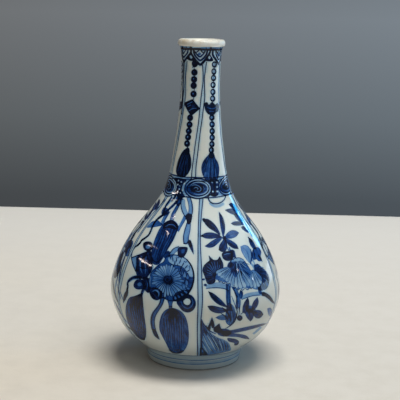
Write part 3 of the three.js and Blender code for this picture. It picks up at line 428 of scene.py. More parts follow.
MOTIFS['emblem'] = [
    ('R', .34, ['-25.77,141.91 -23.01,136.78 -18.00,132.33 -12.84,128.82', '-20.48,142.17 -18.59,137.74 -14.02,133.23 -10.37,129.63'], dict(st=.3)),
    ('S', .84, ['-26.11,141.90 -23.45,136.46 -18.02,131.74 -11.83,127.86'], dict(w=[.52, .78, .95, .63])),
    ('S', .6, ['-19.84,141.44 -17.88,137.48 -13.44,133.11 -9.98,130.07'], dict(w=[.33, .42, .42])),
    ('R', .38, ['-17.62,143.36 -13.62,138.99 -11.65,134.34 -11.71,130.01', '-11.18,143.74 -8.00,139.17 -6.27,134.51 -7.22,129.88'], dict(st=.35)),
    ('S', .86, ['-11.47,143.57 -8.00,139.17 -6.27,134.51 -6.84,130.46 -8.46,127.71'], dict(w=[.64, .79, .84, .86, .55])),
    ('S', .7, ['-17.19,143.07 -13.23,138.71 -11.38,134.35 -11.59,130.44'], dict(w=[.43, .48, .48, .43])),
    ('F', .93, ['-13.77,130.93 -10.46,131.92 -6.42,130.90 -6.36,127.77 -7.22,124.93 -9.74,124.27 -12.02,126.86 -14.10,128.91'], dict(e=.97, we=.3)),
    ('R', .36, ['-11.51,125.05 -12.11,120.11 -12.27,115.20 -10.95,110.63', '-7.41,124.78 -6.99,120.05 -7.56,115.15 -6.92,111.96'], dict(st=.35)),
    ('S', .85, ['-11.17,125.48 -12.11,120.11 -12.27,115.20 -10.89,110.77'], dict(w=[.65, .76, .8, .94])),
    ('S', .8, ['-7.30,125.35 -6.79,120.05 -7.44,115.02 -6.96,112.24'], dict(w=[.63, .63, .63, .73])),
    ('S', .93, ['-10.98,110.77 -8.69,110.75 -7.01,112.65'], dict(w=[1.11, 1.23, .99])),
    ('F', .88, ['-8.06,112.47 -5.87,113.54 -3.84,111.09 -2.56,107.47 -1.75,102.96! -4.11,106.14 -6.40,109.16'], dict()),
    ('S', .85, ['-29.74,143.23 -32.77,139.67 -36.47,136.36 -39.88,133.66 -42.93,131.57 -45.26,129.06'], dict(w=[1.88, 2.53, 2.57, 2.28, 2.74])),
    ('S', .9, ['-45.06,128.63 -48.72,126.25 -51.41,123.33 -51.27,119.83 -49.93,116.07 -49.52,112.78 -51.78,110.11 -54.93,107.53'], dict(w=[2.53, 3.07, 2.52, 2.31, 2.05, 2.22, 2.06, 2.67])),
    ('S', .9, ['-54.79,107.40 -55.36,104.95 -58.56,101.77 -59.68,98.67 -57.71,93.86'], dict(w=[2.34, 2.7, 1.44, 1.26, 1.08])),
    ('S', .84, ['-45.06,142.21 -47.53,138.55 -49.30,135.27 -48.06,132.60 -46.56,129.23'], dict(w=[1.69, 2.15, 1.98, 2.07])),
    ('S', .35, ['-41.75,141.98 -44.59,138.64 -46.83,135.35'], dict(w=[.88, 1.7, 1.3])),
    ('F', .62, ['-51.30,133.37 -44.22,133.28 -39.15,131.61 -39.90,129.13 -44.54,127.92 -50.38,129.74'], dict(e=.88, we=.5, st=.3)),
    ('R', .46, ['-41.68,130.47 -42.83,127.05 -42.62,123.78 -40.99,120.84', '-37.48,131.60 -38.36,127.93 -38.85,124.77 -37.86,121.92'], dict(st=.3)),
    ('S', .72, ['-37.31,131.76 -38.36,127.93 -38.72,124.64 -37.86,121.63'], dict(w=[.71, .94, .86, .69])),
    ('S', .62, ['-41.84,130.31 -42.97,127.03 -42.74,123.61'], dict(w=[.76, .77, .61])),
    ('R', .5, ['-29.96,138.17 -32.03,134.27 -33.36,130.15 -32.39,126.11', '-25.60,139.19 -27.34,134.74 -29.19,130.47 -28.43,126.58'], dict(st=.3)),
    ('S', .78, ['-25.69,139.34 -27.34,134.74 -28.92,130.49 -28.34,126.45'], dict(w=[.73, .87, .76, .74])),
    ('S', .7, ['-30.18,138.01 -32.07,134.12 -33.36,130.15 -32.18,125.84'], dict(w=[.64, .79, .66, .64])),
    ('F', .7, ['-35.43,143.20 -26.74,143.70 -24.41,140.01 -27.36,136.23 -32.36,137.72 -35.67,140.55'], dict(flow=(-31.3, 143.9, -28.2, 136.5), st=.35)),
    ('R', .5, ['-16.61,130.22 -18.04,126.42 -19.61,122.49 -20.17,119.20', '-12.64,128.97 -15.02,125.30 -16.80,121.53 -17.86,118.65'], dict(st=.3)),
    ('S', .66, ['-12.84,128.82 -14.97,125.16 -16.96,121.38 -18.16,118.35'], dict(w=[.51, .57, .52, .41])),
    ('F', .7, ['-32.07,125.70 -36.27,124.14 -38.48,121.71 -39.95,118.89 -39.96,115.05 -39.55,110.65 -38.85,105.99 -37.97,101.63 -36.58,97.81 -34.49,95.01 -31.37,93.27 -28.53,94.14 -26.75,97.34 -25.33,102.36 -23.23,107.52 -21.22,112.59 -20.29,116.92 -19.69,120.36 -20.33,122.58 -24.87,124.98 -29.05,125.95'], dict(flow=(-28.7, 124.7, -30.7, 94.6), st=.5, e=.92, we=.6)),
    ('S', .62, ['-36.29,121.06 -34.57,113.96 -34.92,106.56 -34.64,99.17'], dict(op='set', w=[.27, .66, .53, .19])),
    ('S', .62, ['-32.22,120.75 -31.19,113.13 -32.04,105.23 -32.22,97.31'], dict(op='set', w=[.26, .64, .51, .19])),
    ('S', .62, ['-28.80,121.07 -28.44,113.43 -29.77,105.52 -30.32,97.59'], dict(op='set', w=[.25, .62, .5, .18])),
    ('S', .62, ['-25.06,120.67 -25.46,113.97 -27.26,107.04 -28.14,100.10'], dict(op='set', w=[.24, .61, .49, .18])),
    ('S', .62, ['-21.81,119.50 -22.80,114.69 -24.98,109.70 -26.13,104.74'], dict(op='set', w=[.24, .6, .48, .18])),
    ('S', .8, ['-35.52,118.23 -34.89,112.45 -35.57,106.47 -35.61,100.51'], dict(w=[.4, .67, .53, .26])),
    ('S', .8, ['-34.08,120.56 -32.89,113.18 -33.26,105.55 -33.18,97.90'], dict(w=[.4, .65, .51, .25])),
    ('S', .8, ['-26.60,120.54 -26.99,113.58 -28.47,106.41 -29.27,99.21'], dict(w=[.37, .61, .49, .24])),
    ('S', .8, ['-30.85,121.60 -30.03,113.50 -30.71,105.16 -30.93,96.76'], dict(w=[.38, .63, .5, .25])),
    ('S', .8, ['-22.98,120.12 -24.09,114.10 -26.07,107.90 -27.25,101.68'], dict(w=[.36, .6, .48, .24])),
    ('S', .8, ['-20.47,118.89 -21.42,115.28 -23.19,111.55 -24.09,107.87'], dict(w=[.35, .59, .48, .24])),
    ('F', .93, ['-37.26,121.25 -36.15,124.01 -31.86,125.43 -26.47,125.14 -21.19,122.95 -19.80,120.35 -23.06,119.83 -27.62,120.31 -32.39,120.30 -35.80,119.22'], dict(e=.96, we=.4)),
    ('S', .4, ['-34.29,120.83 -31.06,122.60 -25.77,122.76 -21.94,121.19'], dict(op='set', w=[.41, .71, .61, .32])),
    ('S', .92, ['-36.27,98.46 -33.26,95.66 -29.79,95.44 -27.35,98.74'], dict(w=[.57, .95, 1.03, .6])),
    ('F', .86, ['-50.56,106.16 -47.21,107.97 -41.69,107.95 -38.81,105.54 -39.41,102.75 -43.49,101.76 -47.80,103.12'], dict(e=.95, we=.5)),
    ('F', .42, ['-46.57,104.87 -43.98,106.08 -41.26,105.16 -42.06,103.52 -44.76,103.36'], dict(op='set')),
    ('F', .36, ['-57.48,93.60! -52.36,95.86 -48.54,95.12 -46.51,89.35 -47.14,85.00! -53.26,89.37'], dict(flow=(-58.0, 93.8, -46.8, 86.2), st=.25)),
    ('S', .88, ['-57.37,93.46 -51.76,96.15 -45.93,99.33 -39.60,102.72'], dict(w=[.92, 1.15, 1.23, 1.03])),
    ('S', .85, ['-57.26,93.33 -52.35,89.58 -47.00,85.18'], dict(w=[.85, 1, .98])),
    ('S', .9, ['-50.91,94.92 -48.04,90.57 -45.88,85.60'], dict(w=[1.28, 1.85, 1.35])),
    ('F', .78, ['-50.44,96.11 -44.97,99.67 -39.92,102.52 -36.52,98.12 -33.93,94.50 -33.77,90.32 -34.34,86.44 -36.79,82.76 -40.83,80.97 -44.91,83.17 -47.64,87.54 -48.39,92.04'], dict(flow=(-48.3, 97.5, -36.0, 83.1), st=.4, e=.92, we=.6)),
    ('S', .42, ['-46.25,96.81 -45.32,92.69 -43.15,88.52 -40.32,85.26'], dict(op='set', w=[.61, 1.33, 1.23, .51])),
    ('S', .46, ['-41.60,98.45 -40.95,95.08'], dict(op='set', w=[.57, 1.12])),
    ('S', .45, ['-40.74,92.84 -38.33,88.73 -37.47,85.08'], dict(op='set', w=[.4, .79, .4])),
    ('S', .93, ['-47.44,94.88 -43.45,97.05 -38.98,99.51'], dict(w=[.68, 1.17, .76])),
    ('S', .92, ['-45.71,89.52 -40.94,88.52 -36.66,89.81'], dict(w=[.43, .73, .44])),
    ('S', .93, ['-34.04,94.78 -33.08,89.24 -34.67,84.55 -36.44,81.44'], dict(w=[.76, 1.13, 1.26, 1.13])),
    ('S', .3, ['-32.05,92.11 -32.37,88.00 -33.53,84.77'], dict(op='set', w=[.37, 1, .5])),
    ('S', .88, ['-40.13,81.75 -45.18,81.07 -49.43,78.59 -51.80,74.92 -50.86,71.95 -50.82,69.20'], dict(w=[2.5, 2.65, 2.65, 2.6, 2.26, 2.62])),
    ('S', .93, ['-50.87,70.32 -50.64,67.29 -52.18,63.52 -54.42,57.73'], dict(w=[2.27, 4.48, 3.91, .9])),
    ('S', .45, ['-42.48,80.13 -47.07,78.71 -50.04,75.87'], dict(op='set', w=[.43, .96, .56])),
    ('F', .78, ['-45.17,74.43 -44.41,78.11 -40.44,80.28 -36.15,78.88 -36.00,75.02 -39.36,72.85 -43.40,72.81'], dict(e=.93, we=.6, flow=(-45.1, 75.6, -36.4, 77.6), st=.3)),
    ('F', .4, ['-42.06,76.62 -40.01,78.04 -38.02,77.23 -39.03,75.44 -41.09,74.96'], dict(op='set', flow=(-42.3, 76.2, -38.0, 77.2), st=.2)),
    ('F', .82, ['-38.44,82.26 -33.26,82.38 -30.86,77.15 -31.73,71.86 -35.29,73.92 -37.53,78.12'], dict(e=.94, we=.6, flow=(-36.0, 83.1, -32.9, 72.1), st=.5)),
    ('S', .5, ['-35.10,80.94 -33.54,77.71 -33.45,74.63'], dict(op='set', w=[.37, .87, .38])),
    ('S', .86, ['-35.09,75.53 -36.46,72.09 -37.13,67.65'], dict(w=[2.49, 2.83, 2.49])),
    ('S', .4, ['-35.53,73.40 -36.26,70.88'], dict(op='set', w=[.51, .64])),
    ('F', .64, ['-24.80,96.42 -23.73,99.92 -20.82,101.69 -15.94,102.15 -10.97,101.37 -6.84,99.32 -3.57,95.75 -1.54,90.77 -1.16,85.68 -1.79,80.49 -3.61,76.37 -5.81,73.07 -8.90,70.24 -12.69,68.33 -17.31,68.39 -21.52,69.96 -24.85,67.68 -28.57,68.56 -31.04,72.46 -32.39,77.63 -32.87,82.14 -32.70,86.74 -30.47,90.87 -27.92,93.79'], dict(flow=('fan', -19.7, 84.2), st=.45, e=.93, we=.75)),
    ('F', .62, ['-17.07,84.07 -17.35,82.64 -18.43,81.64 -19.90,81.46 -21.23,82.15 -21.91,83.47 -21.67,84.91 -20.57,85.92 -19.05,86.10 -17.71,85.40'], dict(op='set')),
    ('F', .47, ['-21.17,84.50! -24.95,86.93 -28.27,88.27 -30.00,88.40 -30.61,87.92 -30.41,87.20 -28.96,86.28 -25.56,85.27'], dict(op='set', flow=('fan', -19.5, 83.8), st=.35, g=.14, e=.9, we=.42)),
    ('F', .47, ['-21.26,84.16! -25.74,85.89 -29.50,86.64 -31.34,86.45 -31.86,85.88 -31.48,85.18 -29.76,84.53 -26.00,84.12'], dict(op='set', flow=('fan', -19.5, 83.8), st=.35, g=.14, e=.9, we=.42)),
    ('F', .47, ['-21.29,83.80! -25.32,84.67 -28.55,84.75 -30.02,84.26 -30.35,83.60 -29.92,82.97 -28.40,82.60 -25.23,82.86'], dict(op='set', flow=('fan', -19.5, 83.8), st=.35, g=.14, e=.9, we=.42)),
    ('F', .47, ['-21.24,83.44! -25.65,83.45 -29.06,82.86 -30.50,82.07 -30.72,81.34 -30.15,80.81 -28.49,80.76 -25.21,81.68'], dict(op='set', flow=('fan', -19.5, 83.8), st=.35, g=.14, e=.9, we=.42)),
    ('F', .47, ['-21.13,83.10! -25.69,82.12 -29.10,80.79 -30.46,79.69 -30.56,78.92 -29.88,78.51 -28.16,78.82 -24.94,80.46'], dict(op='set', flow=('fan', -19.5, 83.8), st=.35, g=.14, e=.9, we=.42)),
    ('F', .47, ['-20.96,82.78! -24.41,81.49 -26.83,79.99 -27.64,78.87 -27.53,78.15 -26.89,77.81 -25.58,78.21 -23.38,79.99'], dict(op='set', flow=('fan', -19.5, 83.8), st=.35, g=.14, e=.9, we=.42)),
    ('F', .47, ['-20.73,82.50! -24.01,80.24 -26.24,78.09 -26.94,76.77 -26.78,76.10 -26.12,75.96 -24.87,76.73 -22.87,79.09'], dict(op='set', flow=('fan', -19.5, 83.8), st=.35, g=.14, e=.9, we=.62)),
    ('F', .34, ['-20.46,82.26! -23.39,79.14 -25.29,76.38 -25.80,74.86 -25.54,74.21 -24.86,74.22 -23.73,75.31 -22.07,78.23'], dict(op='set', flow=('fan', -19.5, 83.8), st=.35, g=.14, e=.9, we=.62)),
    ('F', .34, ['-20.15,82.09! -22.19,79.03 -23.37,76.42 -23.51,75.04 -23.12,74.51 -22.49,74.60 -21.67,75.67 -20.76,78.39'], dict(op='set', flow=('fan', -19.5, 83.8), st=.35, g=.14, e=.9, we=.62)),
    ('F', .34, ['-19.81,81.98! -21.31,78.21 -22.06,75.15 -21.98,73.64 -21.53,73.16 -20.92,73.40 -20.28,74.75 -19.81,77.88'], dict(op='set', flow=('fan', -19.5, 83.8), st=.35, g=.14, e=.9, we=.62)),
    ('F', .34, ['-19.46,81.94! -20.27,76.55 -20.50,72.29 -20.21,70.31 -19.70,69.81 -19.15,70.30 -18.73,72.26 -18.75,76.53'], dict(op='set', flow=('fan', -19.5, 83.8), st=.35, g=.14, e=.9, we=.62)),
    ('F', .34, ['-19.12,81.97! -19.05,77.15 -18.62,73.43 -18.03,71.80 -17.45,71.48 -16.99,72.00 -16.88,73.77 -17.56,77.43'], dict(op='set', flow=('fan', -19.5, 83.8), st=.35, g=.14, e=.9, we=.62)),
    ('F', .34, ['-18.79,82.06! -17.74,77.01 -16.61,73.19 -15.74,71.59 -15.12,71.36 -14.76,72.00 -14.97,73.88 -16.34,77.59'], dict(op='set', flow=('fan', -19.5, 83.8), st=.35, g=.14, e=.9, we=.62)),
    ('F', .34, ['-18.48,82.23! -16.42,77.23 -14.58,73.53 -13.43,72.07 -12.77,71.95 -12.54,72.68 -13.10,74.55 -15.15,78.09'], dict(op='set', flow=('fan', -19.5, 83.8), st=.35, g=.14, e=.9, we=.62)),
    ('F', .34, ['-18.21,82.45! -15.70,78.44 -13.56,75.59 -12.30,74.58 -11.67,74.65 -11.53,75.36 -12.27,76.90 -14.61,79.54'], dict(op='set', flow=('fan', -19.5, 83.8), st=.35, g=.14, e=.9, we=.62)),
    ('F', .34, ['-17.99,82.72! -14.54,79.08 -11.76,76.56 -10.27,75.76 -9.64,75.94 -9.64,76.69 -10.71,78.11 -13.67,80.38'], dict(op='set', flow=('fan', -19.5, 83.8), st=.35, g=.14, e=.9, we=.62)),
    ('F', .34, ['-17.83,83.03! -13.57,80.04 -10.23,78.07 -8.56,77.55 -7.95,77.86 -8.09,78.59 -9.46,79.80 -12.94,81.51'], dict(op='set', flow=('fan', -19.5, 83.8), st=.35, g=.14, e=.9, we=.62)),
    ('F', .47, ['-17.72,83.37! -14.53,81.73 -12.03,80.88 -10.80,80.91 -10.38,81.39 -10.53,82.03 -11.60,82.74 -14.19,83.30'], dict(op='set', flow=('fan', -19.5, 83.8), st=.35, g=.14, e=.9, we=.62)),
    ('F', .36, ['-18.76,85.61! -16.60,88.88 -15.32,91.57 -15.16,92.98 -15.57,93.53 -16.25,93.45 -17.13,92.34 -18.09,89.52'], dict(op='set', flow=('fan', -19.5, 83.8), st=.35, g=.14, e=.84, we=.36)),
    ('F', .36, ['-19.12,85.73! -17.59,89.70 -16.85,92.85 -16.97,94.38 -17.50,94.87 -18.16,94.64 -18.80,93.27 -19.19,90.04'], dict(op='set', flow=('fan', -19.5, 83.8), st=.35, g=.14, e=.84, we=.36)),
    ('F', .36, ['-19.50,85.78! -18.77,89.67 -18.71,92.68 -19.16,94.06 -19.78,94.42 -20.37,94.09 -20.71,92.72 -20.41,89.70'], dict(op='set', flow=('fan', -19.5, 83.8), st=.35, g=.14, e=.84, we=.36)),
    ('F', .36, ['-19.87,85.75! -20.02,90.06 -20.67,93.30 -21.46,94.70 -22.16,94.97 -22.66,94.50 -22.64,92.97 -21.63,89.78'], dict(op='set', flow=('fan', -19.5, 83.8), st=.35, g=.14, e=.84, we=.36)),
    ('F', .36, ['-20.24,85.64! -21.10,89.58 -22.30,92.45 -23.32,93.59 -24.05,93.70 -24.44,93.17 -24.14,91.75 -22.61,89.00'], dict(op='set', flow=('fan', -19.5, 83.8), st=.35, g=.14, e=.84, we=.36)),
    ('F', .36, ['-20.57,85.47! -22.39,89.49 -24.36,92.32 -25.70,93.36 -26.46,93.35 -26.70,92.73 -26.01,91.28 -23.75,88.62'], dict(op='set', flow=('fan', -19.5, 83.8), st=.35, g=.14, e=.84, we=.36)),
    ('F', .36, ['-20.86,85.24! -23.18,88.63 -25.47,90.91 -26.90,91.62 -27.61,91.47 -27.73,90.82 -26.85,89.58 -24.33,87.52'], dict(op='set', flow=('fan', -19.5, 83.8), st=.35, g=.14, e=.84, we=.36)),
    ('F', .36, ['-21.10,84.95! -24.33,88.06 -27.29,90.04 -28.95,90.55 -29.64,90.28 -29.58,89.60 -28.34,88.46 -25.21,86.74'], dict(op='set', flow=('fan', -19.5, 83.8), st=.35, g=.14, e=.84, we=.36)),
    ('F', .36, ['-21.28,84.62! -24.70,86.96 -27.70,88.30 -29.29,88.47 -29.86,88.07 -29.70,87.41 -28.40,86.54 -25.30,85.49'], dict(op='set', flow=('fan', -19.5, 83.8), st=.35, g=.14, e=.84, we=.36)),
    ('S', .8, ['-19.09,83.99 -18.26,84.42 -17.43,84.86 -16.57,85.30'], dict(w=[.38, .36, .25, .1])),
    ('S', .8, ['-19.20,84.13 -18.37,85.16 -17.54,86.19 -16.68,87.24'], dict(w=[.39, .37, .26, .11])),
    ('S', .8, ['-19.35,84.21 -19.09,85.03 -18.84,85.85 -18.58,86.70'], dict(w=[.39, .37, .26, .11])),
    ('S', .8, ['-19.53,84.23 -19.61,84.84 -19.69,85.45 -19.77,86.07'], dict(w=[.39, .37, .26, .11])),
    ('S', .8, ['-19.67,84.19 -20.20,85.24 -20.74,86.29 -21.31,87.36'], dict(w=[.39, .36, .26, .11])),
    ('S', .8, ['-19.82,84.06 -20.84,84.86 -21.88,85.65 -22.97,86.46'], dict(w=[.37, .35, .25, .1])),
    ('S', .8, ['-19.88,83.94 -20.54,84.18 -21.20,84.42 -21.88,84.66'], dict(w=[.37, .35, .25, .1])),
    ('S', .8, ['-19.90,83.73 -20.61,83.64 -21.33,83.55 -22.07,83.45'], dict(w=[.37, .35, .25, .1])),
    ('S', .8, ['-19.86,83.61 -21.02,83.06 -22.17,82.51 -23.37,81.93'], dict(w=[.38, .36, .25, .11])),
    ('S', .8, ['-19.73,83.44 -20.38,82.54 -21.03,81.64 -21.69,80.70'], dict(w=[.39, .37, .26, .11])),
    ('S', .8, ['-19.62,83.37 -19.81,82.81 -20.01,82.25 -20.21,81.67'], dict(w=[.39, .37, .26, .11])),
    ('S', .8, ['-19.41,83.35 -19.27,82.44 -19.14,81.52 -19.01,80.58'], dict(w=[.39, .37, .26, .11])),
    ('S', .8, ['-19.29,83.38 -18.73,82.13 -18.18,80.87 -17.64,79.57'], dict(w=[.39, .36, .26, .11])),
    ('S', .8, ['-19.13,83.52 -18.40,82.94 -17.68,82.37 -16.96,81.77'], dict(w=[.37, .35, .25, .1])),
    ('S', .8, ['-19.07,83.63 -18.52,83.42 -17.98,83.20 -17.43,82.98'], dict(w=[.37, .35, .25, .1])),
    ('S', .8, ['-19.05,83.84 -17.98,83.97 -16.91,84.09 -15.82,84.21'], dict(w=[.37, .35, .25, .1])),
    ('F', .86, ['-18.62,83.89 -18.72,83.40 -19.10,83.05 -19.63,82.99 -20.10,83.23 -20.33,83.68 -20.24,84.17 -19.85,84.52 -19.32,84.59 -18.85,84.35'], dict()),
    ('F', .24, ['-20.68,101.12 -15.82,101.58 -10.89,100.80 -6.95,98.89 -3.98,95.30 -2.18,91.04 -2.03,87.11 -4.83,88.01 -6.43,90.99 -9.26,93.57 -12.86,95.04 -16.53,95.15 -20.13,96.68 -21.80,98.97'], dict(op='set', flow=('fan', -13.3, 84.2), st=.35)),
    ('S', .93, ['-17.46,97.41 -17.85,98.80 -18.58,100.15'], dict(w=[.53, .9, .42])),
    ('S', .93, ['-15.11,97.04 -14.93,98.48 -15.06,99.89'], dict(w=[.54, .91, .43])),
    ('S', .93, ['-12.49,96.31 -12.01,97.70 -11.83,99.07'], dict(w=[.54, .91, .42])),
    ('S', .93, ['-10.12,94.71 -9.38,96.01 -8.91,97.29'], dict(w=[.53, .9, .42])),
    ('S', .93, ['-7.82,93.13 -6.84,94.29 -6.14,95.43'], dict(w=[.53, .89, .42])),
    ('S', .93, ['-6.30,90.74 -5.05,91.64 -4.08,92.51'], dict(w=[.52, .89, .42])),
    ('S', .93, ['-15.78,94.93 -15.82,96.38 -16.17,97.79'], dict(w=[.54, .91, .42])),
    ('S', .93, ['-10.92,93.04 -10.23,94.37 -9.83,95.67'], dict(w=[.53, .9, .42])),
    ('S', .93, ['-19.54,98.72 -20.24,100.01 -21.29,101.26'], dict(w=[.53, .9, .42])),
    ('S', .85, ['-13.91,94.69 -13.67,95.41 -13.73,96.10'], dict(w=[.38, .59, .32])),
    ('S', .85, ['-11.36,92.61 -11.00,93.30 -10.92,93.97'], dict(w=[.37, .58, .32])),
    ('S', .85, ['-8.56,90.99 -8.06,91.61 -7.84,92.22'], dict(w=[.37, .58, .31])),
    ('S', .85, ['-6.27,89.07 -5.63,89.58 -5.26,90.06'], dict(w=[.36, .57, .31])),
    ('S', .85, ['-16.52,93.70 -16.56,94.42 -16.90,95.11'], dict(w=[.38, .58, .32])),
    ('S', .85, ['-15.56,99.73 -15.45,100.46 -15.66,101.16'], dict(w=[.38, .59, .32])),
    ('S', .85, ['-11.69,99.20 -11.39,99.91 -11.41,100.59'], dict(w=[.38, .59, .32])),
    ('S', .85, ['-7.80,97.23 -7.31,97.86 -7.12,98.48'], dict(w=[.37, .58, .31])),
    ('S', .85, ['-5.03,94.45 -4.40,94.99 -4.06,95.51'], dict(w=[.37, .57, .31])),
    ('S', .75, ['-20.85,96.30 -16.48,94.86 -12.67,94.76 -8.94,93.30 -6.12,90.57'], dict(w=[.41, .52, .52, .51, .41])),
    ('F', .62, ['-18.21,100.50 -18.28,100.24 -18.56,100.05 -18.96,100.01 -19.32,100.14 -19.50,100.37 -19.43,100.64 -19.14,100.82 -18.74,100.86 -18.39,100.74'], dict()),
    ('F', .62, ['-13.37,100.48 -13.45,100.22 -13.74,100.04 -14.13,100.01 -14.47,100.14 -14.63,100.38 -14.56,100.64 -14.27,100.82 -13.88,100.85 -13.54,100.72'], dict()),
    ('F', .62, ['-8.09,98.11 -8.18,97.85 -8.47,97.68 -8.84,97.65 -9.16,97.79 -9.30,98.03 -9.21,98.29 -8.93,98.47 -8.55,98.49 -8.23,98.35'], dict()),
    ('F', .62, ['-3.88,93.57 -3.98,93.31 -4.25,93.14 -4.61,93.13 -4.91,93.27 -5.04,93.52 -4.94,93.78 -4.66,93.95 -4.30,93.97 -4.01,93.82'], dict()),
    ('F', .44, ['-16.76,83.81! -12.45,82.75 -9.19,82.46 -7.69,82.88 -7.30,83.59 -7.65,84.34 -9.14,84.89 -12.46,84.79'], dict(op='set', flow=('fan', -19.5, 83.8), st=.4, g=.12, e=.93, we=.5)),
    ('F', .41, ['-16.81,83.23! -11.55,80.92 -7.50,79.61 -5.56,79.55 -4.93,80.12 -5.22,80.97 -6.97,81.98 -11.14,82.92'], dict(op='set', flow=('fan', -19.5, 83.8), st=.4, g=.12, e=.93, we=.5)),
    ('F', .44, ['-16.97,82.67! -11.94,79.08 -8.01,76.73 -6.03,76.14 -5.29,76.55 -5.45,77.47 -7.05,78.94 -11.16,80.95'], dict(op='set', flow=('fan', -19.5, 83.8), st=.4, g=.12, e=.93, we=.5)),
    ('F', .41, ['-17.23,82.16! -13.58,78.02 -10.58,75.20 -8.94,74.36 -8.20,74.63 -8.14,75.53 -9.25,77.17 -12.47,79.67'], dict(op='set', flow=('fan', -19.5, 83.8), st=.4, g=.12, e=.93, we=.5)),
    ('F', .44, ['-17.60,81.72! -14.56,76.55 -11.97,72.85 -10.43,71.52 -9.64,71.59 -9.45,72.50 -10.32,74.48 -13.16,77.93'], dict(op='set', flow=('fan', -19.5, 83.8), st=.4, g=.12, e=.93, we=.5)),
    ('F', .41, ['-18.04,81.37! -15.85,75.28 -13.85,70.75 -12.53,68.95 -11.73,68.80 -11.39,69.69 -11.94,71.99 -14.23,76.32'], dict(op='set', flow=('fan', -19.5, 83.8), st=.4, g=.12, e=.93, we=.5)),
    ('F', .4, ['-16.84,84.39! -13.34,84.20 -10.77,84.54 -9.69,85.20 -9.52,85.90 -9.94,86.49 -11.19,86.70 -13.73,86.02'], dict(op='set', flow=('fan', -19.5, 83.8), st=.35, g=.1, e=.9, we=.45)),
    ('F', .4, ['-17.05,84.99! -13.31,85.76 -10.64,86.81 -9.63,87.75 -9.59,88.49 -10.15,88.95 -11.54,88.82 -14.09,87.45'], dict(op='set', flow=('fan', -19.5, 83.8), st=.35, g=.1, e=.9, we=.45)),
    ('F', .4, ['-17.39,85.53! -14.17,86.96 -11.98,88.47 -11.29,89.56 -11.45,90.27 -12.10,90.61 -13.34,90.21 -15.32,88.42'], dict(op='set', flow=('fan', -19.5, 83.8), st=.35, g=.1, e=.9, we=.45)),
    ('F', .4, ['-17.84,85.98! -14.83,88.39 -12.89,90.56 -12.39,91.88 -12.70,92.55 -13.44,92.71 -14.63,91.95 -16.29,89.55'], dict(op='set', flow=('fan', -19.5, 83.8), st=.35, g=.1, e=.9, we=.45)),
    ('F', .46, ['-8.90,82.90! -8.85,80.29 -8.32,78.49 -7.61,77.90 -6.94,77.99 -6.42,78.49 -6.32,79.47 -7.16,81.11'], dict(op='set', flow=('fan', -13.1, 82.7), st=.35, e=.93, we=.5)),
    ('F', .46, ['-6.35,86.01! -6.90,83.50 -6.78,81.63 -6.22,80.87 -5.54,80.77 -4.92,81.10 -4.60,82.02 -5.05,83.82'], dict(op='set', flow=('fan', -13.1, 82.7), st=.35, e=.93, we=.5)),
    ('F', .46, ['-5.37,89.72! -6.42,87.42 -6.66,85.59 -6.24,84.72 -5.57,84.47 -4.89,84.64 -4.41,85.46 -4.50,87.31'], dict(op='set', flow=('fan', -13.1, 82.7), st=.35, e=.93, we=.5)),
    ('F', .46, ['-7.80,91.34! -8.66,88.96 -8.75,87.12 -8.25,86.29 -7.56,86.10 -6.89,86.33 -6.46,87.18 -6.72,89.01'], dict(op='set', flow=('fan', -13.1, 82.7), st=.35, e=.93, we=.5)),
    ('F', .46, ['-10.49,93.19! -11.14,90.75 -11.07,88.91 -10.49,88.13 -9.78,88.00 -9.11,88.28 -8.75,89.17 -9.17,90.97'], dict(op='set', flow=('fan', -13.1, 82.7), st=.35, e=.93, we=.5)),
    ('S', .88, ['-10.95,92.87 -10.19,89.87 -10.33,86.93'], dict(w=[.52, .83, .52])),
    ('S', .8, ['-7.65,86.53 -5.33,84.76 -4.64,81.85'], dict(w=[.41, .71, .41])),
    ('S', .94, ['-6.84,99.32 -3.56,95.60 -1.60,90.48 -1.27,84.94 -2.53,78.97 -5.32,73.56'], dict(w=[1.03, 1.23, 1.33, 1.43, 1.63, 1.53])),
    ('F', .7, ['-12.44,74.80 -9.25,76.61 -5.37,77.78 -3.12,77.15 -5.17,73.26 -8.64,70.26 -12.32,68.68 -14.47,69.68'], dict(flow=(-13.4, 69.8, -4.0, 76.7), st=.4)),
    ('F', .46, ['-13.28,72.57! -13.40,70.80 -13.13,69.60 -12.64,69.23 -12.15,69.32 -11.74,69.68 -11.62,70.35 -12.13,71.43'], dict(op='set', flow=('fan', -19.5, 83.8), st=.35, e=.92, we=.5)),
    ('F', .46, ['-11.56,73.68! -11.21,71.77 -10.62,70.56 -10.04,70.27 -9.57,70.48 -9.26,70.95 -9.31,71.69 -10.10,72.72'], dict(op='set', flow=('fan', -19.5, 83.8), st=.35, e=.92, we=.5)),
    ('F', .46, ['-9.74,75.12! -9.03,73.22 -8.22,72.07 -7.58,71.86 -7.14,72.15 -6.90,72.68 -7.08,73.43 -8.08,74.36'], dict(op='set', flow=('fan', -19.5, 83.8), st=.35, e=.92, we=.5)),
    ('F', .46, ['-7.96,77.15! -6.98,75.50 -6.02,74.60 -5.38,74.56 -5.00,74.95 -4.85,75.51 -5.14,76.18 -6.24,76.83'], dict(op='set', flow=('fan', -19.5, 83.8), st=.35, e=.92, we=.5)),
    ('F', .46, ['-6.56,79.37! -5.42,78.03 -4.40,77.42 -3.79,77.55 -3.49,78.02 -3.43,78.60 -3.80,79.16 -4.93,79.50'], dict(op='set', flow=('fan', -19.5, 83.8), st=.35, e=.92, we=.5)),
    ('S', .93, ['-14.28,68.77 -10.80,69.45 -7.30,71.75 -4.35,75.13 -2.78,78.51'], dict(w=[.61, 1.22, 1.32, 1.22, .71])),
    ('F', .6, ['-30.93,74.82 -27.37,76.56 -23.18,74.95 -21.65,71.33 -24.13,67.65 -27.77,67.93 -30.37,71.03'], dict(e=.93, we=.7, flow=(-30.3, 75.7, -22.9, 69.3), st=.5)),
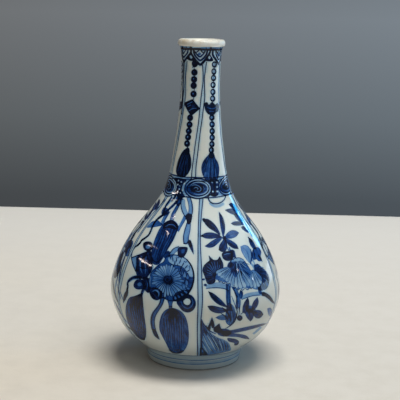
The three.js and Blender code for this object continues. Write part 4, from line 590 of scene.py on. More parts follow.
    ('S', .36, ['-28.86,73.35 -26.65,74.68 -24.09,72.95 -24.06,70.01'], dict(op='set', w=[.42, 1.13, 1.23, .45])),
    ('S', .8, ['-27.58,71.57 -26.33,72.26 -25.47,71.17 -26.07,69.97'], dict(w=[.31, .62, .69, .33])),
    ('S', .36, ['-32.61,84.48 -32.14,80.75 -31.09,76.65'], dict(op='set', w=[.37, .98, .36])),
    ('F', .84, ['-14.87,107.53 -11.22,108.21 -7.62,107.98 -7.49,105.57 -8.64,102.94 -10.13,101.00 -13.31,101.06 -14.84,104.10'], dict(e=.95, we=.55, flow=(-14.7, 104.4, -7.4, 104.9), st=.25)),
    ('F', .5, ['-12.24,106.29 -9.78,106.58 -9.62,104.32 -11.49,103.77'], dict(op='set', flow=(-12.4, 105.3, -9.9, 105.4), st=.2)),
    ('R', .34, ['-21.77,100.14 -20.80,103.57 -18.59,106.38 -15.45,107.78', '-18.79,100.15 -17.80,103.14 -16.06,105.15 -14.18,105.87'], dict(st=.25)),
    ('S', .86, ['-22.00,100.40 -20.88,103.86 -18.67,106.66 -15.03,108.24'], dict(w=[.69, .92, .8, .9])),
    ('S', .7, ['-18.59,100.75 -17.38,103.46 -15.26,105.36'], dict(w=[.45, .56, .56])),
    ('F', .8, ['-25.63,102.17 -23.38,104.61 -21.30,103.52 -22.53,100.49 -24.24,98.69 -25.89,99.66'], dict(flow=(-25.6, 100.4, -22.2, 103.7), st=.3)),
    ('F', .78, ['-10.57,70.09 -8.36,72.28 -5.86,74.28 -2.61,73.40 -0.23,70.44 0.48,66.58 -0.82,62.39 -3.91,60.11 -7.33,61.01 -9.68,64.05 -11.47,67.36'], dict(e=.92, we=.55, flow=('fan', -5.0, 68.2), st=.3)),
    ('F', 0, ['-7.32,69.28 -5.47,70.95 -3.54,70.45 -2.71,68.33 -3.53,66.10 -5.42,65.83 -6.98,67.13'], dict(op='set')),
    ('S', .92, ['-7.44,69.28 -5.47,71.11 -3.41,70.61 -2.52,68.34 -3.47,65.95 -5.48,65.67 -7.10,66.97 -7.55,68.80'], dict(w=[.61, .61, .61, .61, .61, .62, .62, .62])),
    ('S', .45, ['-8.81,68.23 -7.42,64.89 -4.60,63.17 -2.12,64.75 -1.19,67.93 -2.16,71.13'], dict(op='set', w=[.31, .63, .73, .72, .61, .31])),
    ('S', .9, ['-12.04,68.39 -9.93,70.15 -7.95,71.85'], dict(w=[1.12, 1.22, .81])),
    ('R', .56, ['-22.20,69.69 -22.72,65.35 -24.82,60.90 -27.65,56.11 -29.27,51.02 -30.09,45.38 -30.24,40.49', '-19.98,69.72 -20.90,64.85 -22.85,60.11 -25.22,55.41 -26.90,50.66 -27.59,45.42 -27.62,40.74'], dict(st=.35)),
    ('S', .92, ['-22.24,70.15 -22.72,65.35 -24.82,60.90 -27.65,56.11 -29.27,51.02 -30.09,45.38 -30.15,40.13'], dict(w=[1.11, 1.2, 1.06, 1.2, 1.46, 1.51, 1.33])),
    ('S', .9, ['-19.85,69.74 -20.83,64.86 -22.85,60.11 -25.22,55.41 -26.82,50.68 -27.43,45.45 -27.45,40.77'], dict(w=[.87, .86, .63, .65, .71, .79, .84])),
    ('F', .92, ['-30.11,41.08 -27.54,41.13 -26.65,37.52 -26.07,31.45! -29.08,33.45 -30.29,36.66'], dict()),
    ('S', .45, ['-28.99,39.46 -28.19,36.39'], dict(op='set', w=[.47, .64])),
    ('S', .88, ['-23.80,70.21 -21.78,69.76 -19.46,69.96'], dict(w=[.83, 1.34, 1.02])),
    ('R', .5, ['-17.56,68.04 -16.60,65.01 -16.36,61.48', '-14.25,68.15 -14.55,64.96 -14.40,61.75'], dict(e=.9, we=.6, st=.2)),
    ('S', .9, ['-16.41,63.43 -14.44,63.53'], dict(w=[.84])),
    ('S', .9, ['-16.50,61.63 -14.27,61.93'], dict(w=[.85])),
    ('F', .68, ['-15.45,62.10 -18.34,60.37 -20.82,56.76 -22.44,51.94 -23.71,46.26 -24.07,40.57 -22.76,34.66 -21.54,29.19 -21.50,22.14 -20.80,17.57 -17.05,16.93 -11.62,18.61 -7.05,24.49 -4.57,31.56 -3.74,38.62 -4.09,46.21 -5.11,53.37 -7.04,58.38 -10.26,61.40 -13.11,62.39'], dict(flow=('fan', -15.4, 74.9), st=.7, e=.88, we=.55)),
    ('S', .56, ['-21.20,49.76 -20.94,43.75 -20.60,37.54 -20.41,30.82'], dict(op='set', w=[.18, .43, .47, .17])),
    ('S', .5, ['-19.59,50.71 -19.43,43.68 -19.31,36.33 -19.65,28.14'], dict(op='set', w=[.18, .41, .45, .17])),
    ('S', .56, ['-17.88,51.72 -17.79,43.71 -17.85,35.27 -18.87,25.47'], dict(op='set', w=[.17, .4, .44, .17])),
    ('S', .5, ['-16.21,52.69 -16.15,43.87 -16.36,34.51 -18.00,23.23'], dict(op='set', w=[.17, .39, .42, .17])),
    ('S', .56, ['-14.44,53.70 -14.39,44.24 -14.69,34.12 -16.75,21.62'], dict(op='set', w=[.16, .38, .41, .16])),
    ('S', .5, ['-12.72,54.05 -12.66,44.52 -12.97,34.31 -14.87,21.76'], dict(op='set', w=[.16, .37, .4, .15])),
    ('S', .56, ['-11.03,53.49 -10.96,44.59 -11.22,35.10 -12.56,23.82'], dict(op='set', w=[.16, .37, .39, .14])),
    ('S', .5, ['-9.36,52.91 -9.26,44.87 -9.49,36.34 -10.36,26.63'], dict(op='set', w=[.16, .36, .39, .13])),
    ('S', .56, ['-7.68,52.31 -7.58,45.31 -7.79,37.93 -8.42,29.84'], dict(op='set', w=[.16, .36, .38, .13])),
    ('S', .5, ['-6.27,51.78 -6.17,45.78 -6.38,39.50 -6.95,32.74'], dict(op='set', w=[.16, .35, .37, .13])),
    ('S', .8, ['-20.28,52.90 -20.11,45.07 -20.04,36.82 -20.60,27.54'], dict(w=[.82, .51, .38, .22])),
    ('S', .8, ['-18.45,53.97 -18.33,45.13 -18.46,35.73 -19.82,24.67'], dict(w=[.8, .49, .36, .22])),
    ('S', .8, ['-16.80,54.93 -16.70,45.30 -16.96,34.98 -19.01,22.39'], dict(w=[.78, .48, .35, .21])),
    ('S', .8, ['-15.18,55.85 -15.09,45.60 -15.43,34.54 -17.95,20.70'], dict(w=[.76, .47, .35, .21])),
    ('S', .8, ['-13.46,56.83 -13.35,46.13 -13.73,34.54 -16.35,19.90'], dict(w=[.75, .46, .34, .2])),
    ('S', .8, ['-11.78,56.35 -11.66,46.08 -12.00,34.98 -14.04,21.26'], dict(w=[.74, .45, .33, .18])),
    ('S', .8, ['-10.10,55.79 -9.98,46.21 -10.27,35.91 -11.67,23.65'], dict(w=[.74, .45, .32, .17])),
    ('S', .8, ['-8.56,55.26 -8.44,46.48 -8.70,37.09 -9.65,26.34'], dict(w=[.73, .44, .32, .16])),
    ('S', .8, ['-6.90,54.66 -6.78,46.89 -7.02,38.63 -7.73,29.51'], dict(w=[.73, .44, .31, .16])),
    ('S', .66, ['-15.46,61.69 -17.79,58.68 -19.26,55.91 -20.25,53.58'], dict(st=.6, w=[.98, 1.31, .91, .16])),
    ('S', .66, ['-15.20,61.72 -16.88,59.00 -18.03,54.65 -18.89,50.80'], dict(st=.6, w=[1.23, 1.66, 1.16, .16])),
    ('S', .66, ['-14.94,61.76 -15.98,59.32 -16.73,55.97 -17.26,53.38'], dict(st=.6, w=[1.48, 2, 1.39, .16])),
    ('S', .66, ['-14.71,61.79 -15.17,59.60 -15.66,53.71 -16.16,48.54'], dict(st=.6, w=[1.51, 2.04, 1.42, .16])),
    ('S', .66, ['-14.48,61.82 -14.36,59.87 -14.48,55.61 -14.62,52.36'], dict(st=.6, w=[1.67, 2.22, 1.53, .16])),
    ('S', .66, ['-14.26,61.84 -13.63,59.95 -13.51,53.57 -13.61,48.00'], dict(st=.6, w=[1.57, 2.07, 1.42, .16])),
    ('S', .66, ['-14.03,61.87 -12.82,59.88 -12.35,56.31 -12.08,53.57'], dict(st=.6, w=[1.72, 2.27, 1.55, .16])),
    ('S', .66, ['-13.80,61.90 -12.02,59.81 -11.25,54.89 -10.84,50.53'], dict(st=.6, w=[1.45, 1.92, 1.31, .16])),
    ('S', .66, ['-13.54,61.93 -11.14,59.72 -10.03,57.17 -9.33,55.10'], dict(st=.6, w=[1.45, 1.94, 1.33, .16])),
    ('S', .66, ['-13.26,61.97 -10.19,59.62 -8.71,56.53 -7.80,53.68'], dict(st=.6, w=[1.05, 1.41, .96, .16])),
    ('S', .93, ['-22.18,20.71 -19.82,17.50 -14.61,18.16 -9.50,21.60'], dict(w=[1.08, 1.98, 1.98, 1.08])),
    ('F', .68, ['-47.39,63.63 -43.14,66.13 -39.77,68.13 -36.92,69.78 -35.55,65.13 -34.93,58.66 -34.70,51.80 -35.22,44.42 -36.44,37.52 -39.02,31.57 -44.83,26.28 -51.22,25.61 -53.60,29.84 -54.81,35.51 -55.03,41.89 -53.19,49.74 -50.55,57.60'], dict(flow=('fan', -44.8, 86.6), st=.7, e=.86, we=.6)),
    ('S', .58, ['-48.38,56.57 -47.97,48.79 -48.41,40.44 -48.39,36.96'], dict(op='set', w=[.27, .65, .68, .27])),
    ('S', .52, ['-45.84,57.34 -45.56,49.55 -46.04,41.21 -46.60,36.69'], dict(op='set', w=[.26, .65, .68, .27])),
    ('S', .58, ['-43.47,58.05 -43.32,50.24 -43.85,41.90 -44.90,36.38'], dict(op='set', w=[.25, .65, .68, .27])),
    ('S', .52, ['-41.23,58.68 -41.20,50.88 -41.79,42.53 -43.27,36.04'], dict(op='set', w=[.23, .61, .68, .27])),
    ('S', .58, ['-39.09,59.27 -39.19,51.46 -39.84,43.11 -41.69,35.67'], dict(op='set', w=[.22, .57, .65, .27])),
    ('S', .52, ['-37.04,59.81 -37.28,51.99 -37.99,43.65 -40.16,35.26'], dict(op='set', w=[.21, .54, .62, .27])),
    ('S', .8, ['-46.95,58.72 -46.49,50.15 -47.20,40.83 -48.04,35.71'], dict(w=[1.24, .81, .58, .36])),
    ('S', .8, ['-44.55,59.43 -44.20,50.86 -44.92,41.56 -46.26,35.43'], dict(w=[1.16, .81, .58, .36])),
    ('S', .8, ['-42.27,60.08 -42.06,51.51 -42.80,42.22 -44.56,35.11'], dict(w=[1.1, .77, .58, .36])),
    ('S', .8, ['-40.11,60.68 -40.03,52.10 -40.80,42.83 -42.93,34.76'], dict(w=[1.04, .72, .57, .36])),
    ('S', .8, ['-38.04,61.22 -38.09,52.65 -38.91,43.38 -41.36,34.38'], dict(w=[.99, .69, .53, .36])),
    ('S', .8, ['-36.05,61.73 -36.23,53.16 -37.10,43.90 -39.84,33.97'], dict(w=[.95, .65, .5, .35])),
    ('S', .64, ['-40.70,67.29 -44.35,64.33 -46.23,59.95 -48.60,56.50'], dict(st=.6, w=[.87, 1.44, 1.11, .22])),
    ('S', .64, ['-40.26,67.55 -43.25,64.63 -44.80,58.85 -47.11,53.84'], dict(st=.6, w=[1.15, 1.96, 1.5, .24])),
    ('S', .64, ['-39.77,67.83 -42.05,64.95 -43.18,60.58 -44.68,57.18'], dict(st=.6, w=[1.46, 2.37, 1.75, .22])),
    ('S', .64, ['-39.33,68.08 -41.00,65.23 -41.83,59.11 -43.37,53.76'], dict(st=.6, w=[1.52, 2.44, 1.79, .23])),
    ('S', .64, ['-38.85,68.36 -39.86,65.53 -40.31,61.21 -41.09,57.87'], dict(st=.6, w=[1.73, 2.64, 1.88, .22])),
    ('S', .64, ['-38.42,68.61 -38.85,65.78 -39.02,59.63 -39.82,54.27'], dict(st=.6, w=[1.63, 2.43, 1.73, .22])),
    ('S', .64, ['-37.99,68.86 -37.86,66.03 -37.75,62.05 -37.89,59.08'], dict(st=.6, w=[1.79, 2.62, 1.83, .21])),
    ('S', .64, ['-37.61,69.07 -36.99,66.24 -36.62,60.67 -36.72,55.98'], dict(st=.6, w=[1.48, 2.16, 1.52, .21])),
    ('S', .64, ['-37.28,69.26 -36.24,66.42 -35.71,62.97 -35.38,60.56'], dict(st=.6, w=[1.32, 1.93, 1.34, .21])),
    ('S', .92, ['-53.60,29.84 -50.37,26.32 -44.62,26.77 -38.93,31.99'], dict(w=[.9, 1.8, 1.98, .77])),
]
MOTIFS['flank'] = [
    ('S', .86, ['-72.82,122.15 -72.18,117.82 -72.54,113.31 -73.56,109.30 -73.06,105.76'], dict(st=.4, w=[1.08, 2.52, 3.06, 2.7, 1.26])),
    ('S', .8, ['-78.24,120.10 -77.30,114.90 -78.08,110.20 -79.19,105.57'], dict(st=.3, w=[.72, 1.44, 1.62, .72])),
    ('F', .56, ['-76.22,100.35 -74.47,102.95 -69.71,104.35 -65.53,103.48 -65.58,100.55 -64.80,97.16 -63.25,93.16 -67.41,93.09 -73.32,96.21'], dict(flow=(-75.0, 103.7, -69.4, 93.4), st=.9, e=.82, we=.4)),
    ('S', .84, ['-69.34,103.61 -69.25,100.35 -68.99,97.13 -68.42,94.15'], dict(st=.5, w=[.72, 2.34, 1.98, .54])),
    ('S', .8, ['-74.18,102.85 -74.16,99.34 -72.64,96.22'], dict(st=.5, w=[.54, 1.44, .54])),
    ('S', .82, ['-64.96,103.12 -64.70,99.94 -64.16,96.67 -62.78,93.44'], dict(st=.5, w=[.54, 1.62, 1.26, .54])),
    ('S', .8, ['-74.50,98.26 -73.94,93.88 -72.47,89.26 -70.54,84.79 -68.63,80.35'], dict(st=.5, w=[.9, 2.7, 3.06, 2.34, .72])),
    ('S', .72, ['-76.80,95.32 -75.53,90.43 -73.55,85.60 -71.13,80.77 -69.08,76.04'], dict(st=.5, w=[.72, 2.16, 2.52, 2.16, .72])),
    ('S', .8, ['-67.68,96.30 -67.15,91.84 -66.13,87.19 -64.80,82.30 -63.09,77.37'], dict(st=.5, w=[.54, 1.44, 1.8, 1.44, .54])),
    ('S', .66, ['-68.62,93.60 -67.90,88.35 -66.71,83.07 -65.09,77.60 -63.96,72.64'], dict(st=.5, w=[.54, 1.26, 1.44, 1.26, .54])),
    ('S', .74, ['-69.11,82.71 -68.10,77.68 -67.02,72.51 -65.94,66.98'], dict(st=.5, w=[.72, 2.34, 1.98, .72])),
    ('S', .7, ['-65.02,82.57 -64.09,77.24 -62.85,71.82 -61.30,66.82'], dict(st=.5, w=[.54, 1.62, 1.44, .54])),
    ('S', .74, ['-64.48,69.97 -61.77,66.16 -59.40,62.73 -57.14,59.23'], dict(st=.5, w=[.72, 1.8, 1.44, .54])),
    ('S', .6, ['-69.26,71.78 -67.58,66.94 -65.74,62.29 -63.78,57.82'], dict(st=.5, w=[.54, 1.44, 1.26, .54])),
    ('S', .6, ['-59.40,66.59 -56.60,62.80 -54.06,59.05'], dict(st=.5, w=[.54, 1.26, .54])),
    ('S', .24, ['-71.94,93.90 -70.71,88.91 -68.96,83.92'], dict(op='set', w=[.36, .9, .36])),
    ('S', .84, ['83.94,132.02 80.65,127.03 76.76,122.24 75.69,117.59 76.53,113.59 76.66,107.89 75.65,102.24 75.00,96.35 74.94,89.47'], dict(st=.4, w=[1.26, 1.98, 2.16, 1.8, 1.98, 1.98, 1.8, 1.44, .36])),
    ('S', .8, ['69.23,122.51 68.19,116.88 69.41,111.97 70.36,107.20 69.24,101.04 68.48,93.83 68.97,86.27 68.76,79.13'], dict(st=.4, w=[.9, 1.44, 1.62, 1.44, 1.62, 1.8, 1.26, .36])),
    ('S', .86, ['-62.75,250.49 -64.03,239.95 -62.19,228.62 -60.18,218.90 -58.13,209.17'], dict(st=.4, w=[1.8, 3.06, 2.34, 2.88, 1.26])),
]
MOTIFS['band'] = [
    ('S', .85, ['-59.48,156.16 -36.68,157.09 -15.52,157.81 3.65,158.00'], dict(w=[.77, .75, .74, .74])),
    ('F', .58, ['24.94,150.58 23.66,153.67 18.25,156.38 9.78,158.19 -0.20,158.76 -10.09,157.97 -18.29,155.98 -23.28,153.17 -24.15,150.05 -21.06,147.14 -15.13,144.82 -7.58,143.36 0.66,142.92 8.89,143.55 16.39,145.17 22.17,147.61'], dict(flow=(-14.0, 150.9, 14.5, 151.2), st=.5, e=.97, we=.8)),
    ('S', .16, ['-19.37,147.93 -14.70,145.96 -8.46,144.63 -1.42,144.06 5.77,144.33 12.51,145.39 18.07,147.14 21.57,149.39 22.15,151.90 19.40,154.30 13.70,156.23 5.99,157.37 -2.53,157.50 -10.63,156.61 -17.11,154.85 -20.91,152.53'], dict(op='set', w=[.21, .76, .9, .94, .74, .23])),
    ('S', .95, ['20.01,150.68 18.65,153.08 13.79,155.11 6.39,156.37 -2.12,156.56 -10.18,155.66 -16.27,153.86 -19.21,151.52 -18.53,149.11 -14.67,147.04 -8.66,145.59 -1.51,144.98 5.85,145.26 12.57,146.40 17.64,148.26 19.98,150.57'], dict(w=[.81])),
    ('S', .2, ['-6.32,146.63 0.03,146.12 6.59,146.41 12.45,147.45 16.64,149.09 18.20,151.09 16.56,153.10 11.93,154.74 5.23,155.65 -2.19,155.63 -8.91,154.69 -13.61,153.03'], dict(op='set', w=[.21, .74, 1, .74, .22])),
    ('F', .86, ['13.06,150.91 12.14,152.35 9.19,153.58 4.67,154.39 -0.68,154.64 -5.99,154.27 -10.39,153.35 -13.17,152.05 -13.89,150.59 -12.52,149.20 -9.41,148.08 -5.10,147.37 -0.20,147.17 4.67,147.49 8.90,148.30 11.87,149.49'], dict(flow=(-14.0, 150.9, 14.5, 151.2), st=.3)),
    ('S', .2, ['-11.76,152.53 -7.17,153.59 -1.68,153.36 2.70,152.31 5.56,150.77 4.50,149.06 0.40,148.41 -3.75,148.97'], dict(op='set', w=[.22, .53, .58, .58, .53, .53, .48, .21])),
    ('S', .2, ['-7.48,150.76 -3.32,151.62 0.28,150.73 -0.71,149.79'], dict(op='set', w=[.21, .53, .53, .21])),
    ('S', .4, ['9.55,152.49 11.59,150.61 9.32,148.76'], dict(op='set', w=[.22, .65, .21])),
    ('S', .35, ['-21.89,145.48 -14.46,143.78 -5.65,143.27'], dict(w=[.32, .96, .43])),
]
MOTIFS['knot'] = [
    ('F', .72, ['22.46,157.89 29.76,158.21 39.77,157.24 40.76,153.68 37.05,149.88 35.83,146.02 28.43,144.45 21.24,145.40 24.64,149.49 23.68,153.43'], dict(flow=(31.9, 158.0, 27.5, 144.8), st=.35, e=.9, we=.5)),
    ('S', .93, ['30.42,157.23 32.14,154.00 30.24,150.90 30.25,147.78 26.87,145.11'], dict(w=[.98, 1.51, 1.23, 1.45, .79])),
    ('F', .06, ['28.52,155.69 28.06,155.28 27.05,155.05 25.91,155.08 25.04,155.35 24.77,155.78 25.21,156.19 26.19,156.43 27.36,156.40 28.26,156.12'], dict(op='set')),
    ('F', .06, ['39.16,155.03 38.58,154.63 37.43,154.41 36.15,154.46 35.23,154.75 34.98,155.18 35.52,155.58 36.64,155.80 37.94,155.76 38.91,155.46'], dict(op='set')),
    ('F', .06, ['38.03,151.41 37.45,151.02 36.34,150.81 35.14,150.85 34.28,151.14 34.09,151.56 34.62,151.96 35.71,152.18 36.94,152.13 37.84,151.84'], dict(op='set')),
    ('F', .06, ['27.86,148.16 27.38,147.77 26.44,147.54 25.41,147.57 24.65,147.84 24.46,148.25 24.91,148.65 25.84,148.88 26.90,148.86 27.68,148.58'], dict(op='set')),
    ('F', .06, ['36.73,148.01 36.15,147.62 35.09,147.41 33.97,147.45 33.18,147.73 33.03,148.15 33.56,148.55 34.61,148.76 35.77,148.72 36.58,148.43'], dict(op='set')),
    ('S', .85, ['39.96,156.43 44.89,153.82 41.68,150.78 44.46,147.65'], dict(w=[.66, 1.21, 1, .6])),
    ('S', .3, ['48.71,155.73 51.78,153.16 47.86,150.17'], dict(w=[.47, 1.38, .46])),
    ('S', .8, ['18.38,157.79 21.78,156.15 23.35,153.75'], dict(w=[.88, 1.25, .69])),
    ('S', .85, ['16.87,144.41 20.72,146.02 25.68,144.83 32.67,145.38'], dict(w=[.63, .96, .99, .53])),
    ('S', .5, ['10.29,144.62 18.31,146.22 24.64,149.49'], dict(w=[.43, 1.06, .44])),
]
MOTIFS['bandl'] = [
    ('F', .84, ['-45.63,156.58 -34.51,157.52 -21.45,157.45 -14.12,156.73 -19.64,153.86 -21.15,150.18 -17.38,146.59 -12.87,143.99 -18.32,142.57 -25.01,143.79 -32.24,146.67 -38.52,149.77 -43.18,153.01'], dict(flow=(-32.1, 157.3, -22.1, 143.6), st=.3, e=.93, we=.5)),
    ('F', .06, ['-35.84,154.72 -36.00,154.31 -36.83,154.01 -38.04,153.94 -39.17,154.13 -39.78,154.50 -39.63,154.91 -38.75,155.21 -37.52,155.28 -36.41,155.09'], dict(op='set')),
    ('F', .06, ['-29.76,155.66 -29.93,155.30 -30.65,155.04 -31.66,154.99 -32.58,155.17 -33.05,155.50 -32.89,155.87 -32.15,156.13 -31.13,156.18 -30.22,156.00'], dict(op='set')),
    ('F', .06, ['-22.65,155.01 -22.85,154.61 -23.62,154.33 -24.68,154.28 -25.63,154.49 -26.10,154.87 -25.91,155.28 -25.12,155.56 -24.04,155.61 -23.10,155.40'], dict(op='set')),
    ('F', .06, ['-29.68,152.48 -29.82,152.12 -30.50,151.86 -31.47,151.82 -32.36,151.99 -32.85,152.32 -32.71,152.68 -32.02,152.94 -31.03,152.99 -30.14,152.81'], dict(op='set')),
    ('F', .06, ['-22.91,152.15 -23.12,151.66 -24.02,151.32 -25.27,151.27 -26.41,151.51 -27.00,151.97 -26.80,152.47 -25.88,152.81 -24.60,152.87 -23.47,152.61'], dict(op='set')),
    ('F', .06, ['-31.50,149.85 -31.59,149.54 -32.16,149.32 -32.99,149.27 -33.78,149.42 -34.22,149.70 -34.13,150.02 -33.55,150.24 -32.70,150.29 -31.92,150.14'], dict(op='set')),
    ('F', .06, ['-24.11,149.27 -24.25,148.87 -24.95,148.59 -25.94,148.55 -26.85,148.75 -27.35,149.12 -27.21,149.52 -26.50,149.80 -25.49,149.84 -24.57,149.64'], dict(op='set')),
    ('F', .06, ['-18.15,148.73 -18.30,148.38 -18.90,148.14 -19.74,148.11 -20.50,148.29 -20.89,148.62 -20.75,148.98 -20.13,149.22 -19.28,149.25 -18.52,149.07'], dict(op='set')),
    ('F', .06, ['-20.76,146.46 -20.90,146.06 -21.55,145.79 -22.47,145.75 -23.33,145.95 -23.79,146.32 -23.67,146.72 -23.00,146.99 -22.06,147.03 -21.20,146.83'], dict(op='set')),
    ('F', .06, ['-26.64,146.96 -26.72,146.70 -27.16,146.51 -27.81,146.48 -28.42,146.61 -28.76,146.85 -28.69,147.12 -28.24,147.31 -27.58,147.34 -26.97,147.21'], dict(op='set')),
    ('F', .06, ['-15.94,154.14 -16.13,153.78 -16.79,153.54 -17.68,153.51 -18.46,153.71 -18.84,154.05 -18.65,154.41 -17.98,154.65 -17.08,154.68 -16.30,154.48'], dict(op='set')),
    ('F', .06, ['-13.02,151.24 -13.21,150.89 -13.84,150.65 -14.69,150.63 -15.43,150.82 -15.79,151.16 -15.61,151.51 -14.97,151.75 -14.11,151.78 -13.37,151.58'], dict(op='set')),
    ('S', .95, ['-40.78,155.57 -28.37,153.50 -22.06,150.61 -20.39,147.09'], dict(w=[.56, .99, 1, .56])),
    ('S', .94, ['-26.47,143.87 -20.48,142.17 -14.86,141.95'], dict(w=[.95, 1.38, .98])),
    ('S', .88, ['-23.84,145.85 -20.15,142.19 -16.47,139.33'], dict(w=[1.68, 1.41, .53])),
    ('S', .88, ['-30.12,147.10 -30.10,143.21 -33.11,139.65'], dict(w=[1.48, 2.26, 1.85])),
]
